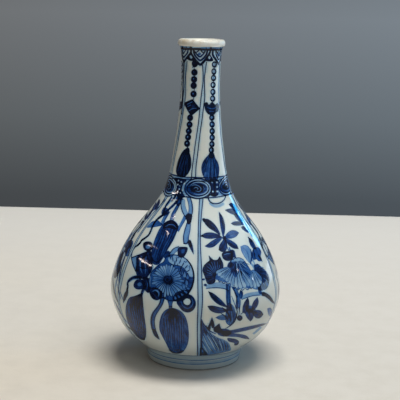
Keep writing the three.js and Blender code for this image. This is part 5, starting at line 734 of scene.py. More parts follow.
MOTIFS['neckL'] = [
    ('F', .97, ['-9.13,250.88 -10.70,249.21 -15.09,248.14 -20.73,248.07 -25.49,249.02 -27.35,250.65 -25.50,252.32 -20.83,253.41 -15.29,253.48 -10.87,252.51'], dict(e=.98, we=.4)),
    ('F', .78, ['-15.93,251.04 -16.47,250.56 -17.94,250.26 -19.79,250.23 -21.31,250.50 -21.90,250.96 -21.32,251.44 -19.82,251.76 -17.98,251.78 -16.50,251.51'], dict(op='set')),
    ('F', .97, ['-9.79,243.82 -11.36,242.27 -15.79,241.27 -21.52,241.19 -26.41,242.06 -28.42,243.56 -26.62,245.13 -21.87,246.15 -16.16,246.22 -11.60,245.33'], dict(e=.98, we=.4)),
    ('F', .78, ['-16.73,243.98 -17.27,243.50 -18.76,243.18 -20.65,243.16 -22.22,243.43 -22.84,243.89 -22.28,244.37 -20.76,244.68 -18.87,244.71 -17.34,244.44'], dict(op='set')),
    # painted highlight: the small pale spot in this bead
    ('F', .4, ['-18.86,244.19 -19.13,243.95 -19.89,243.79 -20.83,243.78 -21.62,243.91 -21.93,244.15 -21.65,244.38 -20.89,244.54 -19.94,244.55 -19.17,244.42'], dict(op='set')),
    ('F', .97, ['-10.45,238.19 -12.00,236.64 -16.42,235.63 -22.17,235.55 -27.12,236.42 -29.21,237.92 -27.47,239.49 -22.70,240.51 -16.93,240.59 -12.31,239.70'], dict(e=.98, we=.4)),
    ('F', .78, ['-17.44,238.34 -17.97,237.87 -19.46,237.55 -21.36,237.52 -22.95,237.79 -23.60,238.25 -23.05,238.74 -21.52,239.05 -19.62,239.08 -18.07,238.81'], dict(op='set')),
    # painted highlight: the small pale spot in this bead
    ('F', .4, ['-19.59,238.56 -19.86,238.32 -20.61,238.16 -21.57,238.14 -22.36,238.28 -22.68,238.51 -22.41,238.75 -21.65,238.91 -20.69,238.92 -19.91,238.79'], dict(op='set')),
    ('F', .97, ['-11.11,233.20 -12.63,231.65 -17.02,230.64 -22.75,230.55 -27.72,231.42 -29.87,232.92 -28.17,234.49 -23.41,235.52 -17.62,235.60 -12.98,234.72'], dict(e=.98, we=.4)),
    ('F', .78, ['-18.09,233.35 -18.61,232.87 -20.09,232.56 -21.99,232.53 -23.58,232.79 -24.25,233.26 -23.71,233.74 -22.19,234.06 -20.28,234.08 -18.73,233.82'], dict(op='set')),
    ('F', .97, ['-10.62,226.46 -12.10,224.90 -16.39,223.89 -21.99,223.80 -26.88,224.66 -29.03,226.16 -27.43,227.73 -22.79,228.77 -17.09,228.85 -12.49,227.97'], dict(e=.98, we=.4)),
    ('F', .78, ['-17.50,226.60 -17.99,226.12 -19.44,225.81 -21.30,225.78 -22.88,226.04 -23.54,226.50 -23.03,226.99 -21.54,227.30 -19.67,227.33 -18.13,227.07'], dict(op='set')),
    # painted highlight: the small pale spot in this bead
    ('F', .4, ['-19.62,226.81 -19.87,226.57 -20.60,226.41 -21.54,226.40 -22.33,226.53 -22.66,226.76 -22.40,227.00 -21.66,227.16 -20.72,227.18 -19.94,227.04'], dict(op='set')),
    ('S', .93, ['-13.92,251.95 -19.76,249.95 -24.61,247.64'], dict(w=[1.26, 1.5, .78])),
    ('S', .95, ['-20.33,248.82 -17.82,224.75 -20.14,220.68'], dict(w=[.56, .55, .56])),
    ('F', .92, ['-21.58,222.11! 0.24,214.82! -23.64,208.52! -51.73,218.33!'], dict(e=.97, we=.45, flow=(-46.3, 217.7, -2.5, 215.3), st=.2)),
    ('S', .42, ['-38.68,217.54 -22.40,220.00'], dict(op='set', w=[.45, .53])),
    ('S', .42, ['-31.83,212.37 -20.79,214.54 -9.60,215.04'], dict(op='set', w=[.33, .58, .31])),
    ('S', .42, ['-36.08,215.83 -26.75,217.33'], dict(op='set', w=[.33, .43])),
    ('F', .97, ['-17.87,207.18 -19.14,205.64 -23.05,204.62 -28.28,204.50 -32.98,205.32 -35.21,206.78 -33.86,208.34 -29.53,209.39 -24.11,209.51 -19.71,208.66'], dict(e=.98, we=.4)),
    ('F', .6, ['-23.52,207.31 -24.03,206.78 -25.62,206.42 -27.69,206.37 -29.48,206.65 -30.28,207.15 -29.75,207.69 -28.11,208.05 -26.01,208.10 -24.26,207.82'], dict(op='set')),
    ('F', .97, ['-18.23,201.69 -19.45,200.15 -23.24,199.12 -28.33,199.00 -32.91,199.81 -35.09,201.27 -33.81,202.84 -29.61,203.89 -24.33,204.02 -20.04,203.17'], dict(e=.98, we=.4)),
    ('F', .6, ['-23.73,201.81 -24.22,201.28 -25.76,200.92 -27.78,200.87 -29.53,201.15 -30.31,201.65 -29.81,202.19 -28.21,202.55 -26.16,202.60 -24.46,202.32'], dict(op='set')),
    ('F', .22, ['-25.43,201.86 -25.71,201.54 -26.58,201.33 -27.73,201.30 -28.72,201.46 -29.16,201.76 -28.88,202.08 -27.98,202.29 -26.82,202.32 -25.85,202.15'], dict(op='set')),
    ('F', .97, ['-19.36,196.50 -20.53,194.96 -24.22,193.93 -29.20,193.79 -33.71,194.60 -35.90,196.06 -34.67,197.62 -30.56,198.68 -25.38,198.82 -21.16,197.98'], dict(e=.98, we=.4)),
    ('F', .6, ['-24.76,196.62 -25.23,196.08 -26.73,195.72 -28.71,195.67 -30.43,195.94 -31.21,196.44 -30.73,196.98 -29.16,197.35 -27.16,197.40 -25.48,197.12'], dict(op='set')),
    ('F', .22, ['-26.42,196.66 -26.69,196.34 -27.54,196.13 -28.67,196.10 -29.64,196.26 -30.08,196.56 -29.81,196.87 -28.94,197.09 -27.80,197.12 -26.84,196.95'], dict(op='set')),
    ('F', .97, ['-20.16,191.48 -21.27,189.93 -24.86,188.90 -29.71,188.76 -34.13,189.56 -36.30,191.01 -35.15,192.58 -31.15,193.64 -26.09,193.79 -21.94,192.96'], dict(e=.98, we=.4)),
    ('F', .6, ['-25.43,191.59 -25.88,191.05 -27.34,190.69 -29.27,190.63 -30.96,190.90 -31.73,191.40 -31.27,191.94 -29.75,192.31 -27.79,192.37 -26.15,192.09'], dict(op='set')),
    ('F', .22, ['-27.06,191.62 -27.31,191.31 -28.14,191.09 -29.24,191.06 -30.20,191.22 -30.63,191.52 -30.38,191.84 -29.53,192.05 -28.42,192.09 -27.48,191.92'], dict(op='set')),
    ('F', .97, ['-21.56,186.28 -22.61,184.73 -26.08,183.70 -30.82,183.54 -35.17,184.33 -37.35,185.78 -36.27,187.35 -32.39,188.42 -27.42,188.58 -23.34,187.75'], dict(e=.98, we=.4)),
    ('F', .6, ['-26.71,186.38 -27.14,185.84 -28.56,185.48 -30.45,185.42 -32.11,185.68 -32.88,186.18 -32.45,186.72 -30.97,187.09 -29.05,187.15 -27.43,186.88'], dict(op='set')),
    ('F', .22, ['-28.31,186.41 -28.55,186.09 -29.36,185.88 -30.43,185.84 -31.37,186.00 -31.81,186.30 -31.57,186.62 -30.74,186.83 -29.66,186.87 -28.73,186.71'], dict(op='set')),
    ('S', .95, ['-25.15,210.10 -27.09,198.74 -27.08,182.57'], dict(w=[.7, .59, .83])),
    ('F', .92, ['-26.48,182.26 -21.15,178.71 -16.98,174.31 -15.66,169.52 -17.40,165.12 -22.47,161.26 -29.14,158.90 -37.99,158.79 -47.68,160.69 -51.47,164.72 -49.58,170.56 -43.67,176.41 -35.53,180.66'], dict(flow=('fan', -27.7, 190.6), st=.6, e=.93, we=.5)),
    ('S', .56, ['-27.67,179.32 -34.83,169.89 -38.31,160.56'], dict(op='set', w=[.12, .46, .41])),
    ('S', .56, ['-25.47,178.58 -29.18,169.31 -29.58,160.17'], dict(op='set', w=[.12, .44, .37])),
    ('S', .56, ['-23.61,177.03 -24.64,169.89 -22.88,162.85'], dict(op='set', w=[.12, .42, .34])),
    ('S', .56, ['-32.28,179.16 -40.67,171.09 -45.53,163.10'], dict(op='set', w=[.12, .5, .45])),
    ('F', .95, ['-30.70,182.45 -24.14,182.98 -20.75,179.05 -25.04,176.98 -32.94,178.00 -33.36,180.74'], dict()),
]
MOTIFS['neckR'] = [
    ('F', .93, ['52.50,250.16 50.80,248.66 45.54,247.77 39.36,247.82 34.55,248.78 32.53,250.30 33.81,251.81 38.00,252.72 43.93,252.69 49.63,251.70'], dict(e=.9, we=.3)),
    ('F', .06, ['46.01,250.38 45.27,249.56 42.81,249.06 39.73,249.09 37.22,249.61 36.12,250.45 36.77,251.27 38.97,251.77 41.98,251.75 44.71,251.22'], dict(op='set')),
    ('F', .93, ['52.02,244.51 50.11,243.01 44.77,242.13 38.61,242.18 33.88,243.15 31.96,244.67 33.36,246.18 37.69,247.09 43.70,247.05 49.35,246.06'], dict(e=.9, we=.3)),
    ('F', .06, ['45.54,244.74 44.69,243.92 42.18,243.43 39.10,243.45 36.62,243.98 35.58,244.82 36.32,245.64 38.58,246.14 41.62,246.12 44.32,245.58'], dict(op='set')),
    ('F', .93, ['51.20,239.27 49.17,237.78 43.85,236.90 37.78,236.95 33.14,237.92 31.32,239.45 32.80,240.95 37.19,241.86 43.20,241.81 48.73,240.82'], dict(e=.9, we=.3)),
    ('F', .06, ['44.82,239.50 43.91,238.68 41.39,238.19 38.34,238.22 35.91,238.75 34.93,239.59 35.72,240.41 38.01,240.91 41.04,240.88 43.69,240.35'], dict(op='set')),
    ('F', .93, ['49.93,233.63 47.84,232.13 42.62,231.26 36.70,231.32 32.20,232.29 30.46,233.82 32.00,235.32 36.39,236.23 42.32,236.18 47.66,235.18'], dict(e=.9, we=.3)),
    ('F', .06, ['43.73,233.87 42.79,233.05 40.30,232.56 37.31,232.59 34.96,233.12 34.04,233.95 34.85,234.78 37.14,235.27 40.13,235.25 42.69,234.71'], dict(op='set')),
    ('F', .93, ['49.15,227.98 47.02,226.48 41.88,225.61 36.10,225.68 31.72,226.65 30.07,228.18 31.64,229.69 36.01,230.59 41.86,230.53 47.05,229.53'], dict(e=.9, we=.3)),
    ('F', .06, ['43.12,228.22 42.15,227.40 39.68,226.91 36.76,226.94 34.47,227.48 33.59,228.32 34.43,229.14 36.71,229.63 39.65,229.60 42.14,229.06'], dict(op='set')),
    ('F', .93, ['48.05,222.65 45.91,221.16 40.91,220.29 35.30,220.36 31.06,221.34 29.49,222.87 31.08,224.37 35.40,225.27 41.11,225.21 46.10,224.20'], dict(e=.9, we=.3)),
    ('F', .06, ['42.22,222.90 41.24,222.08 38.83,221.59 35.98,221.63 33.77,222.16 32.94,223.00 33.79,223.82 36.04,224.31 38.91,224.28 41.31,223.74'], dict(op='set')),
    ('S', .9, ['40.67,252.27 40.27,232.93 37.99,219.23'], dict(w=[.49, .49, .47])),
    ('F', .9, ['13.20,219.38 20.12,219.85 24.92,217.90 35.24,219.91 47.79,217.79 56.15,218.77 63.79,217.30 61.28,212.80 47.67,211.31 41.38,209.81 26.53,209.99 19.03,211.81 13.92,214.87'], dict(e=.96, we=.4, flow=(13.9, 215.4, 59.6, 214.8), st=.2)),
    ('S', .42, ['21.33,215.82 29.79,214.80 40.50,214.67 50.04,215.65'], dict(op='set', w=[.32, .63, .65, .38])),
    ('S', .45, ['26.63,212.73 40.26,212.41'], dict(op='set', w=[.42, .42])),
    ('F', .92, ['43.38,207.34 41.35,205.83 36.76,204.95 31.60,205.03 27.68,206.02 26.27,207.58 27.85,209.10 31.98,210.01 37.30,209.94 41.78,208.92'], dict(e=.92, we=.3)),
    ('F', .16, ['37.49,207.60 36.69,206.95 34.78,206.57 32.54,206.60 30.80,207.03 30.17,207.70 30.89,208.36 32.71,208.74 34.99,208.72 36.83,208.28'], dict(op='set')),
    ('F', .92, ['43.21,201.84 41.20,200.33 36.73,199.46 31.71,199.53 27.92,200.53 26.57,202.09 28.13,203.61 32.17,204.52 37.35,204.45 41.69,203.41'], dict(e=.92, we=.3)),
    ('F', .16, ['37.49,202.10 36.70,201.45 34.84,201.07 32.66,201.10 30.97,201.54 30.37,202.21 31.08,202.86 32.86,203.25 35.08,203.22 36.86,202.78'], dict(op='set')),
    ('F', .92, ['42.58,196.34 40.61,194.83 36.28,193.96 31.44,194.04 27.79,195.05 26.50,196.60 28.03,198.13 31.96,199.03 36.98,198.95 41.15,197.92'], dict(e=.92, we=.3)),
    ('F', .16, ['37.07,196.61 36.30,195.96 34.49,195.58 32.38,195.61 30.75,196.05 30.19,196.72 30.88,197.37 32.62,197.76 34.76,197.73 36.48,197.29'], dict(op='set')),
    ('F', .92, ['41.56,191.17 39.64,189.67 35.48,188.80 30.83,188.88 27.32,189.89 26.10,191.45 27.61,192.97 31.42,193.87 36.26,193.79 40.23,192.75'], dict(e=.92, we=.3)),
    ('F', .16, ['36.30,191.45 35.54,190.80 33.79,190.42 31.76,190.45 30.20,190.89 29.66,191.56 30.35,192.21 32.03,192.60 34.09,192.56 35.74,192.12'], dict(op='set')),
    ('F', .92, ['39.49,185.88 37.66,184.37 33.72,183.50 29.32,183.59 25.99,184.59 24.84,186.14 26.30,187.66 29.96,188.56 34.55,188.48 38.28,187.45'], dict(e=.92, we=.3)),
    ('F', .16, ['34.54,186.15 33.81,185.50 32.16,185.12 30.23,185.15 28.75,185.59 28.25,186.26 28.91,186.91 30.52,187.29 32.48,187.26 34.03,186.82'], dict(op='set')),
    ('F', .92, ['37.00,181.08 35.28,179.58 31.58,178.71 27.40,178.78 24.24,179.78 23.14,181.33 24.54,182.85 28.03,183.75 32.38,183.68 35.88,182.65'], dict(e=.92, we=.3)),
    ('F', .16, ['32.35,181.35 31.66,180.70 30.10,180.32 28.27,180.35 26.87,180.78 26.39,181.45 27.02,182.10 28.55,182.49 30.41,182.46 31.87,182.02'], dict(op='set')),
    ('S', .92, ['34.63,210.39 34.56,197.46 30.15,178.16'], dict(w=[.64, .52, .74])),
    ('F', .74, ['26.73,179.03 35.47,178.37 38.56,174.74 45.08,170.80 47.95,166.30 44.96,161.23 38.85,157.44 15.20,157.67 9.44,161.52 6.60,166.32 8.61,171.13 14.71,174.81 21.23,177.17'], dict(flow=('fan', 32.3, 189.4), st=.6, e=.92, we=.45)),
    ('S', .44, ['21.53,175.08 17.06,167.89 13.00,160.71'], dict(op='set', w=[.17, .55, .32])),
    ('S', .44, ['25.77,175.02 22.89,167.01 20.14,159.04'], dict(op='set', w=[.18, .57, .34])),
    ('S', .44, ['30.18,174.94 29.26,166.89 28.15,158.89'], dict(op='set', w=[.18, .61, .36])),
    ('S', .44, ['34.64,174.03 36.10,166.88 37.13,159.75'], dict(op='set', w=[.19, .66, .4])),
    ('S', .86, ['24.03,176.65 18.10,171.09 14.77,163.89'], dict(w=[.57, .67, .22])),
    ('S', .86, ['28.41,176.58 26.91,168.55 24.84,159.76'], dict(w=[.6, .6, .23])),
    ('S', .86, ['32.85,175.69 35.63,168.35 33.72,159.54'], dict(w=[.63, .66, .26])),
    ('F', .93, ['24.79,179.38 35.57,178.85 37.16,175.91 29.63,174.63 22.53,175.87'], dict()),
]
MOTIFS['neckline'] = [
    ('S', .92, ['4.04,250.67 6.13,244.26 6.90,236.24 4.57,229.80 2.27,223.36 0.19,215.31 -1.75,207.25 -3.70,200.79 -6.55,192.70 -9.09,184.62 -11.10,174.93 -12.82,165.25 -13.07,158.36'], dict(w=[.8])),
    ('S', .9, ['15.53,252.32 13.21,245.90 10.96,239.47 11.39,234.65 12.45,228.22 12.73,223.40 9.74,215.35 6.19,205.69 2.84,197.62 -0.11,187.95 -2.65,177.48 -4.92,167.81 -4.77,158.54'], dict(w=[.8])),
    ('R', .08, ['4.04,250.67 6.90,236.24 2.27,223.36 -1.75,207.25 -6.55,192.70 -11.10,174.93 -13.15,158.83', '15.53,252.32 11.39,234.65 12.73,223.40 6.63,207.30 0.96,192.78 -3.51,175.06 -4.82,159.01'], dict(st=.2)),
]
MOTIFS['necklineR'] = [
    ('S', .8, ['68.89,250.36 67.31,233.34 67.04,214.61 66.42,198.27 68.40,183.42 71.88,169.22 74.06,157.16'], dict(w=[1.26])),
    ('S', .62, ['88.86,250.04 88.97,232.89 89.14,213.98 89.61,197.40 89.72,182.41 89.72,168.19 90.71,155.99'], dict(w=[1.08, .48])),
    ('R', .08, ['68.89,250.36 67.31,233.34 67.04,214.61 66.42,198.27 68.40,183.42 71.88,169.22 74.06,157.16', '88.86,250.04 88.97,232.89 89.14,213.98 89.61,197.40 89.72,182.41 89.72,168.19 90.71,155.99'], dict(st=.2)),
]
MOTIFS['border'] = [
    ('S', .92, ['3.32,143.85 2.86,139.80 2.05,131.07 1.55,120.54 1.39,110.10 1.53,99.47 1.58,85.02 1.93,70.03 1.98,60.51 1.88,53.70 2.22,39.84 3.05,26.31 3.99,16.06'], dict(w=[.79, .74, .84, .83, .77, .87, .82, .92, .87, .82, .94, 1.06])),
    ('S', .9, ['8.91,143.87 7.62,139.82 5.30,131.09 3.68,120.56 3.45,110.13 3.96,99.51 4.43,85.06 4.78,70.06 4.48,60.54 4.17,53.73 4.62,39.86 5.64,26.31 6.93,16.03'], dict(w=[.74, .84, .79, .83, .88, .77, .82, .82, .93, .88, .84, .99])),
    ('R', .14, ['3.32,143.70 2.86,139.80 1.55,120.54 1.53,99.47 1.93,70.03 1.88,53.70 3.99,16.06', '8.90,143.72 7.62,139.82 3.68,120.56 3.96,99.51 4.78,70.06 4.17,53.73 6.93,16.03'], dict(st=.5)),
]
MOTIFS['collar'] = [
    ('S', .96, ['-30.30,263.62 -29.36,259.10 -20.40,254.91 -9.88,251.67 -1.56,250.15 6.39,252.28 16.07,256.01 23.98,260.02 25.52,263.82'], dict(w=[1.8, 1.94, 2.01, 2.12, 2.19, 2.11, 1.97, 1.84, 1.72])),
    ('S', .95, ['-23.34,262.78 -19.77,258.44 -11.17,255.18 -2.40,253.50 5.50,255.16 13.96,258.40 17.07,262.06'], dict(w=[1.13, 1.51, 1.49, 1.56, 1.47, 1.46, 1.8])),
    ('S', .88, ['-20.30,261.30 -12.39,258.21 -4.00,256.37 3.52,258.03 10.81,260.78'], dict(w=[.89, 1.29, 1.35, 1.26, .85])),
    ('S', .93, ['-22.33,262.95 -21.47,260.65 -14.65,259.94 -8.09,261.12 -4.17,263.34'], dict(w=[.89, 1.06, 1.04, .98, .83])),
    ('S', .93, ['-4.17,263.34 -0.56,261.19 4.94,259.95 10.74,261.26 12.57,263.62'], dict(w=[.83, .99, 1.04, 1.01, .85])),
    ('F', .5, ['-5.33,260.19! 0.18,258.80 -5.16,257.32! -10.18,258.71'], dict()),
    ('F', .95, ['22.39,259.22! 29.06,256.81 36.63,253.58 24.37,252.97 13.03,253.59 17.10,256.65'], dict(e=.94, we=.3)),
    ('F', .15, ['23.08,257.46! 27.74,255.85 23.76,254.41! 19.58,255.85'], dict(op='set')),
    ('S', .8, ['23.95,263.97 25.42,261.46 23.02,259.06'], dict(w=[.8, .82, .69])),
]


def parse(text):
    points, corner = [], []
    for token in text.split():
        corner.append("!" in token)
        a, b = token.replace("!", "").split(",")
        points.append((float(a), float(b)))
    return np.array(points), corner


def hermite(p0, p1, p2, p3, n):
    """A centripetal curve from p1 to p2."""
    t = np.arange(n)[:, None] / n
    d1 = max(np.linalg.norm(p1 - p0), 1e-9) ** 0.5
    d2 = max(np.linalg.norm(p2 - p1), 1e-9) ** 0.5
    d3 = max(np.linalg.norm(p3 - p2), 1e-9) ** 0.5
    b1 = (d1 * d1 * p2 - d2 * d2 * p0 + (2 * d1 * d1 + 3 * d1 * d2 + d2 * d2) * p1) / (3 * d1 * (d1 + d2))
    b2 = (d3 * d3 * p1 - d2 * d2 * p3 + (2 * d3 * d3 + 3 * d3 * d2 + d2 * d2) * p2) / (3 * d3 * (d3 + d2))
    return (1 - t) ** 3 * p1 + 3 * (1 - t) ** 2 * t * b1 + 3 * (1 - t) * t * t * b2 + t ** 3 * p2


def smooth(points, corner, closed, step):
    n, out = len(points), []
    for i in range(n if closed else n - 1):
        p1, p2 = points[i], points[(i + 1) % n]
        if closed:
            p0, p3 = points[i - 1], points[(i + 2) % n]
        else:
            p0 = points[i - 1] if i else 2 * p1 - p2
            p3 = points[i + 2] if i + 2 < n else 2 * p2 - p1
        if corner[i]:
            p0 = 2 * p1 - p2
        if corner[(i + 1) % n]:
            p3 = 2 * p2 - p1
        out.append(hermite(p0, p1, p2, p3, max(1, int(math.ceil(np.linalg.norm(p2 - p1) / step)))))
    if not closed:
        out.append(points[-1:])
    return np.vstack(out)


def to_domain(p):
    p = np.asarray(p, float).reshape(-1, 2)
    return np.stack([np.radians(p[:, 0]), q_of(p[:, 1])], -1)


def path(points, corner, closed=False, step=0.9):
    p = to_domain(points)
    return smooth(p, corner, closed, step / float(np.mean(radius_at(p[:, 1]))))


def ribbon(line, widths):
    """Outline of a brush line, with round ends."""
    n = len(line)
    d = np.gradient(line, axis=0)
    d /= np.maximum(np.linalg.norm(d, axis=1), 1e-12)[:, None]
    side = np.stack([-d[:, 1], d[:, 0]], -1)
    s = np.concatenate([[0], np.cumsum(np.linalg.norm(np.diff(line, axis=0), axis=1))])
    s /= max(s[-1], 1e-12)
    w = np.interp(s, np.linspace(0, 1, len(widths)), widths) if len(widths) > 1 else np.full(n, float(widths[0]))
    h = (w / 2 / radius_at(line[:, 1]))[:, None]

    def cap(c, along, across, r):
        return np.array([c + r * (across * math.cos(a) + along * math.sin(a)) for a in (math.pi / 4, math.pi / 2, 3 * math.pi / 4)])
    return np.vstack([line + side * h, cap(line[-1], d[-1], side[-1], h[-1]), (line - side * h)[::-1],
                      cap(line[0], -d[0], -side[0], h[0])])


def areas(kind, d, points, corners, k):
    """The flat areas that one stroke covers: (outline, set?, density, streaks, flow, gradient)."""
    put = k.get("op", "mul") == "set"
    if kind == "S":
        line = path(points[0], corners[0])
        return [(ribbon(line, k["w"]), put, d, k.get("st", 0.22), ("path", line), 0)]
    if kind == "F":
        ring = path(points[0], corners[0], True)
        out = [(ring, put, d, k.get("st", 0.25), k.get("flow"), k.get("g", 0))]
        if "e" in k:
            line = np.vstack([ring, ring[:2]])
            out.append((ribbon(line, [k["we"]]), False, k["e"] * 0.82, 0.15, ("path", line), 0))
        return out
    a, b = path(points[0], corners[0]), path(points[1], corners[1])
    t = np.linspace(0, 1, 24)
    middle = sum(np.stack([np.interp(t, np.linspace(0, 1, len(x)), x[:, j]) for j in (0, 1)], -1) for x in (a, b)) / 2
    fade = k.get("g", 0.20 if kind == "L" and not put else 0)
    out = [(np.vstack([a, b[::-1]]), put, d, k.get("st", 0.34), ("path", middle), fade)]
    if "e" in k:
        w = k["we"]
        for edge in (a, b):
            out.append((ribbon(edge, [w * 0.6, w, w, w * 0.5] if kind == "L" else [w]), False, k["e"] * 0.82, 0.15, ("path", edge), 0))
    if "ve" in k:
        out.append((ribbon(middle[2:-1], [0.15, k["ve"], k["ve"] * 1.2]), False, 0.42, 0, ("path", middle), 0))
    return out


STROKES = []      # (outline, set?, density, streaks, flow, gradient) in the order they are painted
HAND = np.random.RandomState(11)


def paint(kind, d, points, corners, k, once=False):
    for ring, put, dd, st, flow, g in areas(kind, d, points, corners, k):
        dd = float(np.clip(dd + 0.03 * HAND.randn() * (dd < 0.93), 0, 0.985))
        if once:
            STROKES.append((ring, put, dd, st, flow, g))
            continue
        shift = -2 * math.pi * round(float(ring[:, 0].mean()) / (2 * math.pi))
        turns = [shift]
        if ring[:, 0].min() + shift < -math.pi:
            turns.append(shift + 2 * math.pi)
        if ring[:, 0].max() + shift > math.pi:
            turns.append(shift - 2 * math.pi)
        for turn in turns:
            move = np.array([turn, 0])
            f = flow
            if flow is not None and isinstance(flow[0], str):
                f = (flow[0], flow[1] + move)
            elif flow is not None:
                f = flow + np.array([turn, 0, turn, 0])
            STROKES.append((ring + move, put, dd, st, f, g))


def place(name, move, tone=0.0):
    """Paints a motif, its control points moved by move(points)."""
    for kind, d, texts, opts in MOTIFS[name]:
        rows = [parse(t) for t in texts]
        k = dict(opts)
        flow = k.get("flow")
        if flow is not None and flow[0] == "fan":
            k["flow"] = ("fan", to_domain(move(np.array([flow[1:]], float)))[0])
        elif flow is not None:
            k["flow"] = to_domain(move(np.array([flow[:2], flow[2:]], float))).ravel()
        paint(kind, min(d * (1 + tone), 0.98), [move(p) for p, c in rows], [c for p, c in rows], k)


def turned(source, target, scale=1.0, mirror=False, seed=0):
    """A panel's motif moved round the vase, redrawn a little differently where there is a seed."""
    def move(p):
        t, z = p[:, 0], p[:, 1]
        a = (t - source) * scale * (-1 if mirror else 1)
        if seed:
            ph = 1.7 * seed
            r = outer(np.clip(z, FOOT, LIP))[0]
            a = a + np.degrees((1.2 * np.sin(0.047 * z + ph) + 0.8 * np.sin(0.12 * t + 2 * ph)) / r)
            z = z + 1.1 * np.sin(0.075 * t + ph) + 0.8 * np.sin(0.085 * z + 1.3 * ph)
        return np.stack([target + a, np.clip(z, 9.4, LIP - 0.5)], -1)
    return move


NECK_LOW, NECK_HIGH = 159.0, 250.0


def between(left, right, new_left, new_right, seed=0):
    """A neck panel's motif moved from between two slanting borders to between two others."""
    def at(line, z):
        return line[0] + (line[1] - line[0]) * (z - NECK_LOW) / (NECK_HIGH - NECK_LOW)

    def move(p):
        t, z = p[:, 0], p[:, 1]
        a, b, c, d = at(left, z), at(right, z), at(new_left, z), at(new_right, z)
        t = c + (t - a) / (b - a) * (d - c)
        if seed:
            t = t + 1.6 * np.sin(0.08 * z + seed)
            z = z + 0.8 * np.sin(0.05 * z + 2.1 * seed)
        return np.stack([t, z], -1)
    return move


def circle(z, width, d, wobble=0.2, seed=0, st=0.3):
    t = np.arange(-184, 184.1, 8)
    zz = z + wobble * (0.6 * np.sin(np.radians(3 * t) + seed) + 0.4 * np.sin(np.radians(7 * t) + 2 * seed))
    w = [width * (1 + 0.18 * math.sin(2.3 * i + seed) + 0.12 * math.sin(1.1 * i * i)) for i in range(24)]
    paint("S", d, [np.stack([t, zz], -1)], [[False] * len(t)], dict(w=w, st=st), once=True)


def wash(z0, z1, d, seed=0, st=0.35):
    t = np.arange(-184, 184.1, 8)
    low = z0 + 0.25 * np.sin(np.radians(4 * t) + seed)
    high = z1 + 0.25 * np.sin(np.radians(5 * t) + 2 * seed)
    points = np.vstack([np.stack([t, low], -1), np.stack([t, high], -1)[::-1]])
    q = q_of((z0 + z1) / 2)
    paint("F", d, [points], [[False] * len(points)], dict(st=st, flow=np.array([0, q, 1, q])), once=True)


BORDERS = [-60.5, 3.4, 68.5, 126.5, 184.0, 241.5]
NECK_BORDERS = [(-69.0, -49.5), (-9.4, 10.5), (66.0, 70.5), (118.0, 130.5), (171.0, 190.5), (231.0, 250.5), (291.0, 310.5)]


def paint_vase():
    # pale washes
    wash(9.4, 14.9, 0.05, 1)
    wash(145.0, 158.4, 0.30, 2, 0.8)
    # panel borders on the body
    for i, b in enumerate(BORDERS):
        place("border", turned(2.2, b - 1.2, 1.12 if i == 0 else 1.0, seed=i if i != 1 else 0))
    # the panels
    place("flower", turned(0, 0))
    place("flower", turned(36.0, -89.5, 0.89, seed=3))
    place("flower", turned(36.0, 155.2, 0.883, mirror=True, seed=5))
    place("emblem", turned(0, 0))
    place("flank", turned(0, 0))
    place("emblem", turned(-28.5, 97.5, 0.9, seed=4))
    place("emblem", turned(-28.5, 212.7, 0.9, mirror=True, seed=7))
    # shoulder band
    circle(159.2, 1.0, 0.90, 0.2, 1)
    circle(143.9, 1.0, 0.88, 0.25, 4)
    centres = [-61.5, 0.5, 63.0, 123.0, 181.0, 239.5]
    for i, c in enumerate(centres):
        nxt = centres[(i + 1) % 6] + (360 if i == 5 else 0)
        gap = (c + nxt) / 2
        if i in (0, 3):
            place("bandl", turned(-25.0, gap - 3.0, seed=0 if i == 0 else i))
        else:
            place("knot", turned(31.0, gap, seed=0 if i == 1 else i))
    for i, c in enumerate(centres):
        place("band", turned(0.5, c, seed=0 if i == 1 else i + 2))
    # neck
    for i in range(6):
        line = NECK_BORDERS[i]
        if i == 2:
            place("necklineR", turned(0, 0))
        else:
            ref, far = NECK_BORDERS[1], (60.0, 60.0)
            place("neckline", between(ref, (ref[0] + 60, ref[1] + 60), line, (line[0] + 60, line[1] + 60), seed=0 if i == 1 else i))
        a, b = NECK_BORDERS[i], NECK_BORDERS[i + 1]
        if i % 2 == 0:
            place("neckL", between(NECK_BORDERS[0], NECK_BORDERS[1], a, b, seed=0 if i == 0 else i))
        else:
            place("neckR", between(NECK_BORDERS[1], NECK_BORDERS[2], a, b, seed=0 if i == 1 else i))
    # collar under the lip
    wash(261.2, 264.3, 0.34, 3, 0.7)
    for i in range(6):
        place("collar", turned(0, 60.0 * i, seed=0 if i == 0 else i))
    circle(262.3, 1.7, 0.95, 0.2, 2)
    # rings over the foot
    circle(15.3, 0.75, 0.88, 0.15, 3)
    circle(9.7, 0.75, 0.52, 0.1, 5)


paint_vase()

# ------------------------------------------- the wall's mesh, cut along the strokes

UNIT = 60.0       # the domain is scaled so that its unit is a millimetre where the radius is 60
GRID = 1.9        # mm between the wall's own rows and columns
NEAR = 2e-5       # domain points closer than this to a joint are on it
STRIPS = {"lower_body": (3, -60.0), "upper_body": (4, -45.0), "neck": (2, -90.0)}
SECTIONS = [("lower_body", FOOT, SEAM), ("upper_body", SEAM, ROOT), ("neck", ROOT, LIP)]


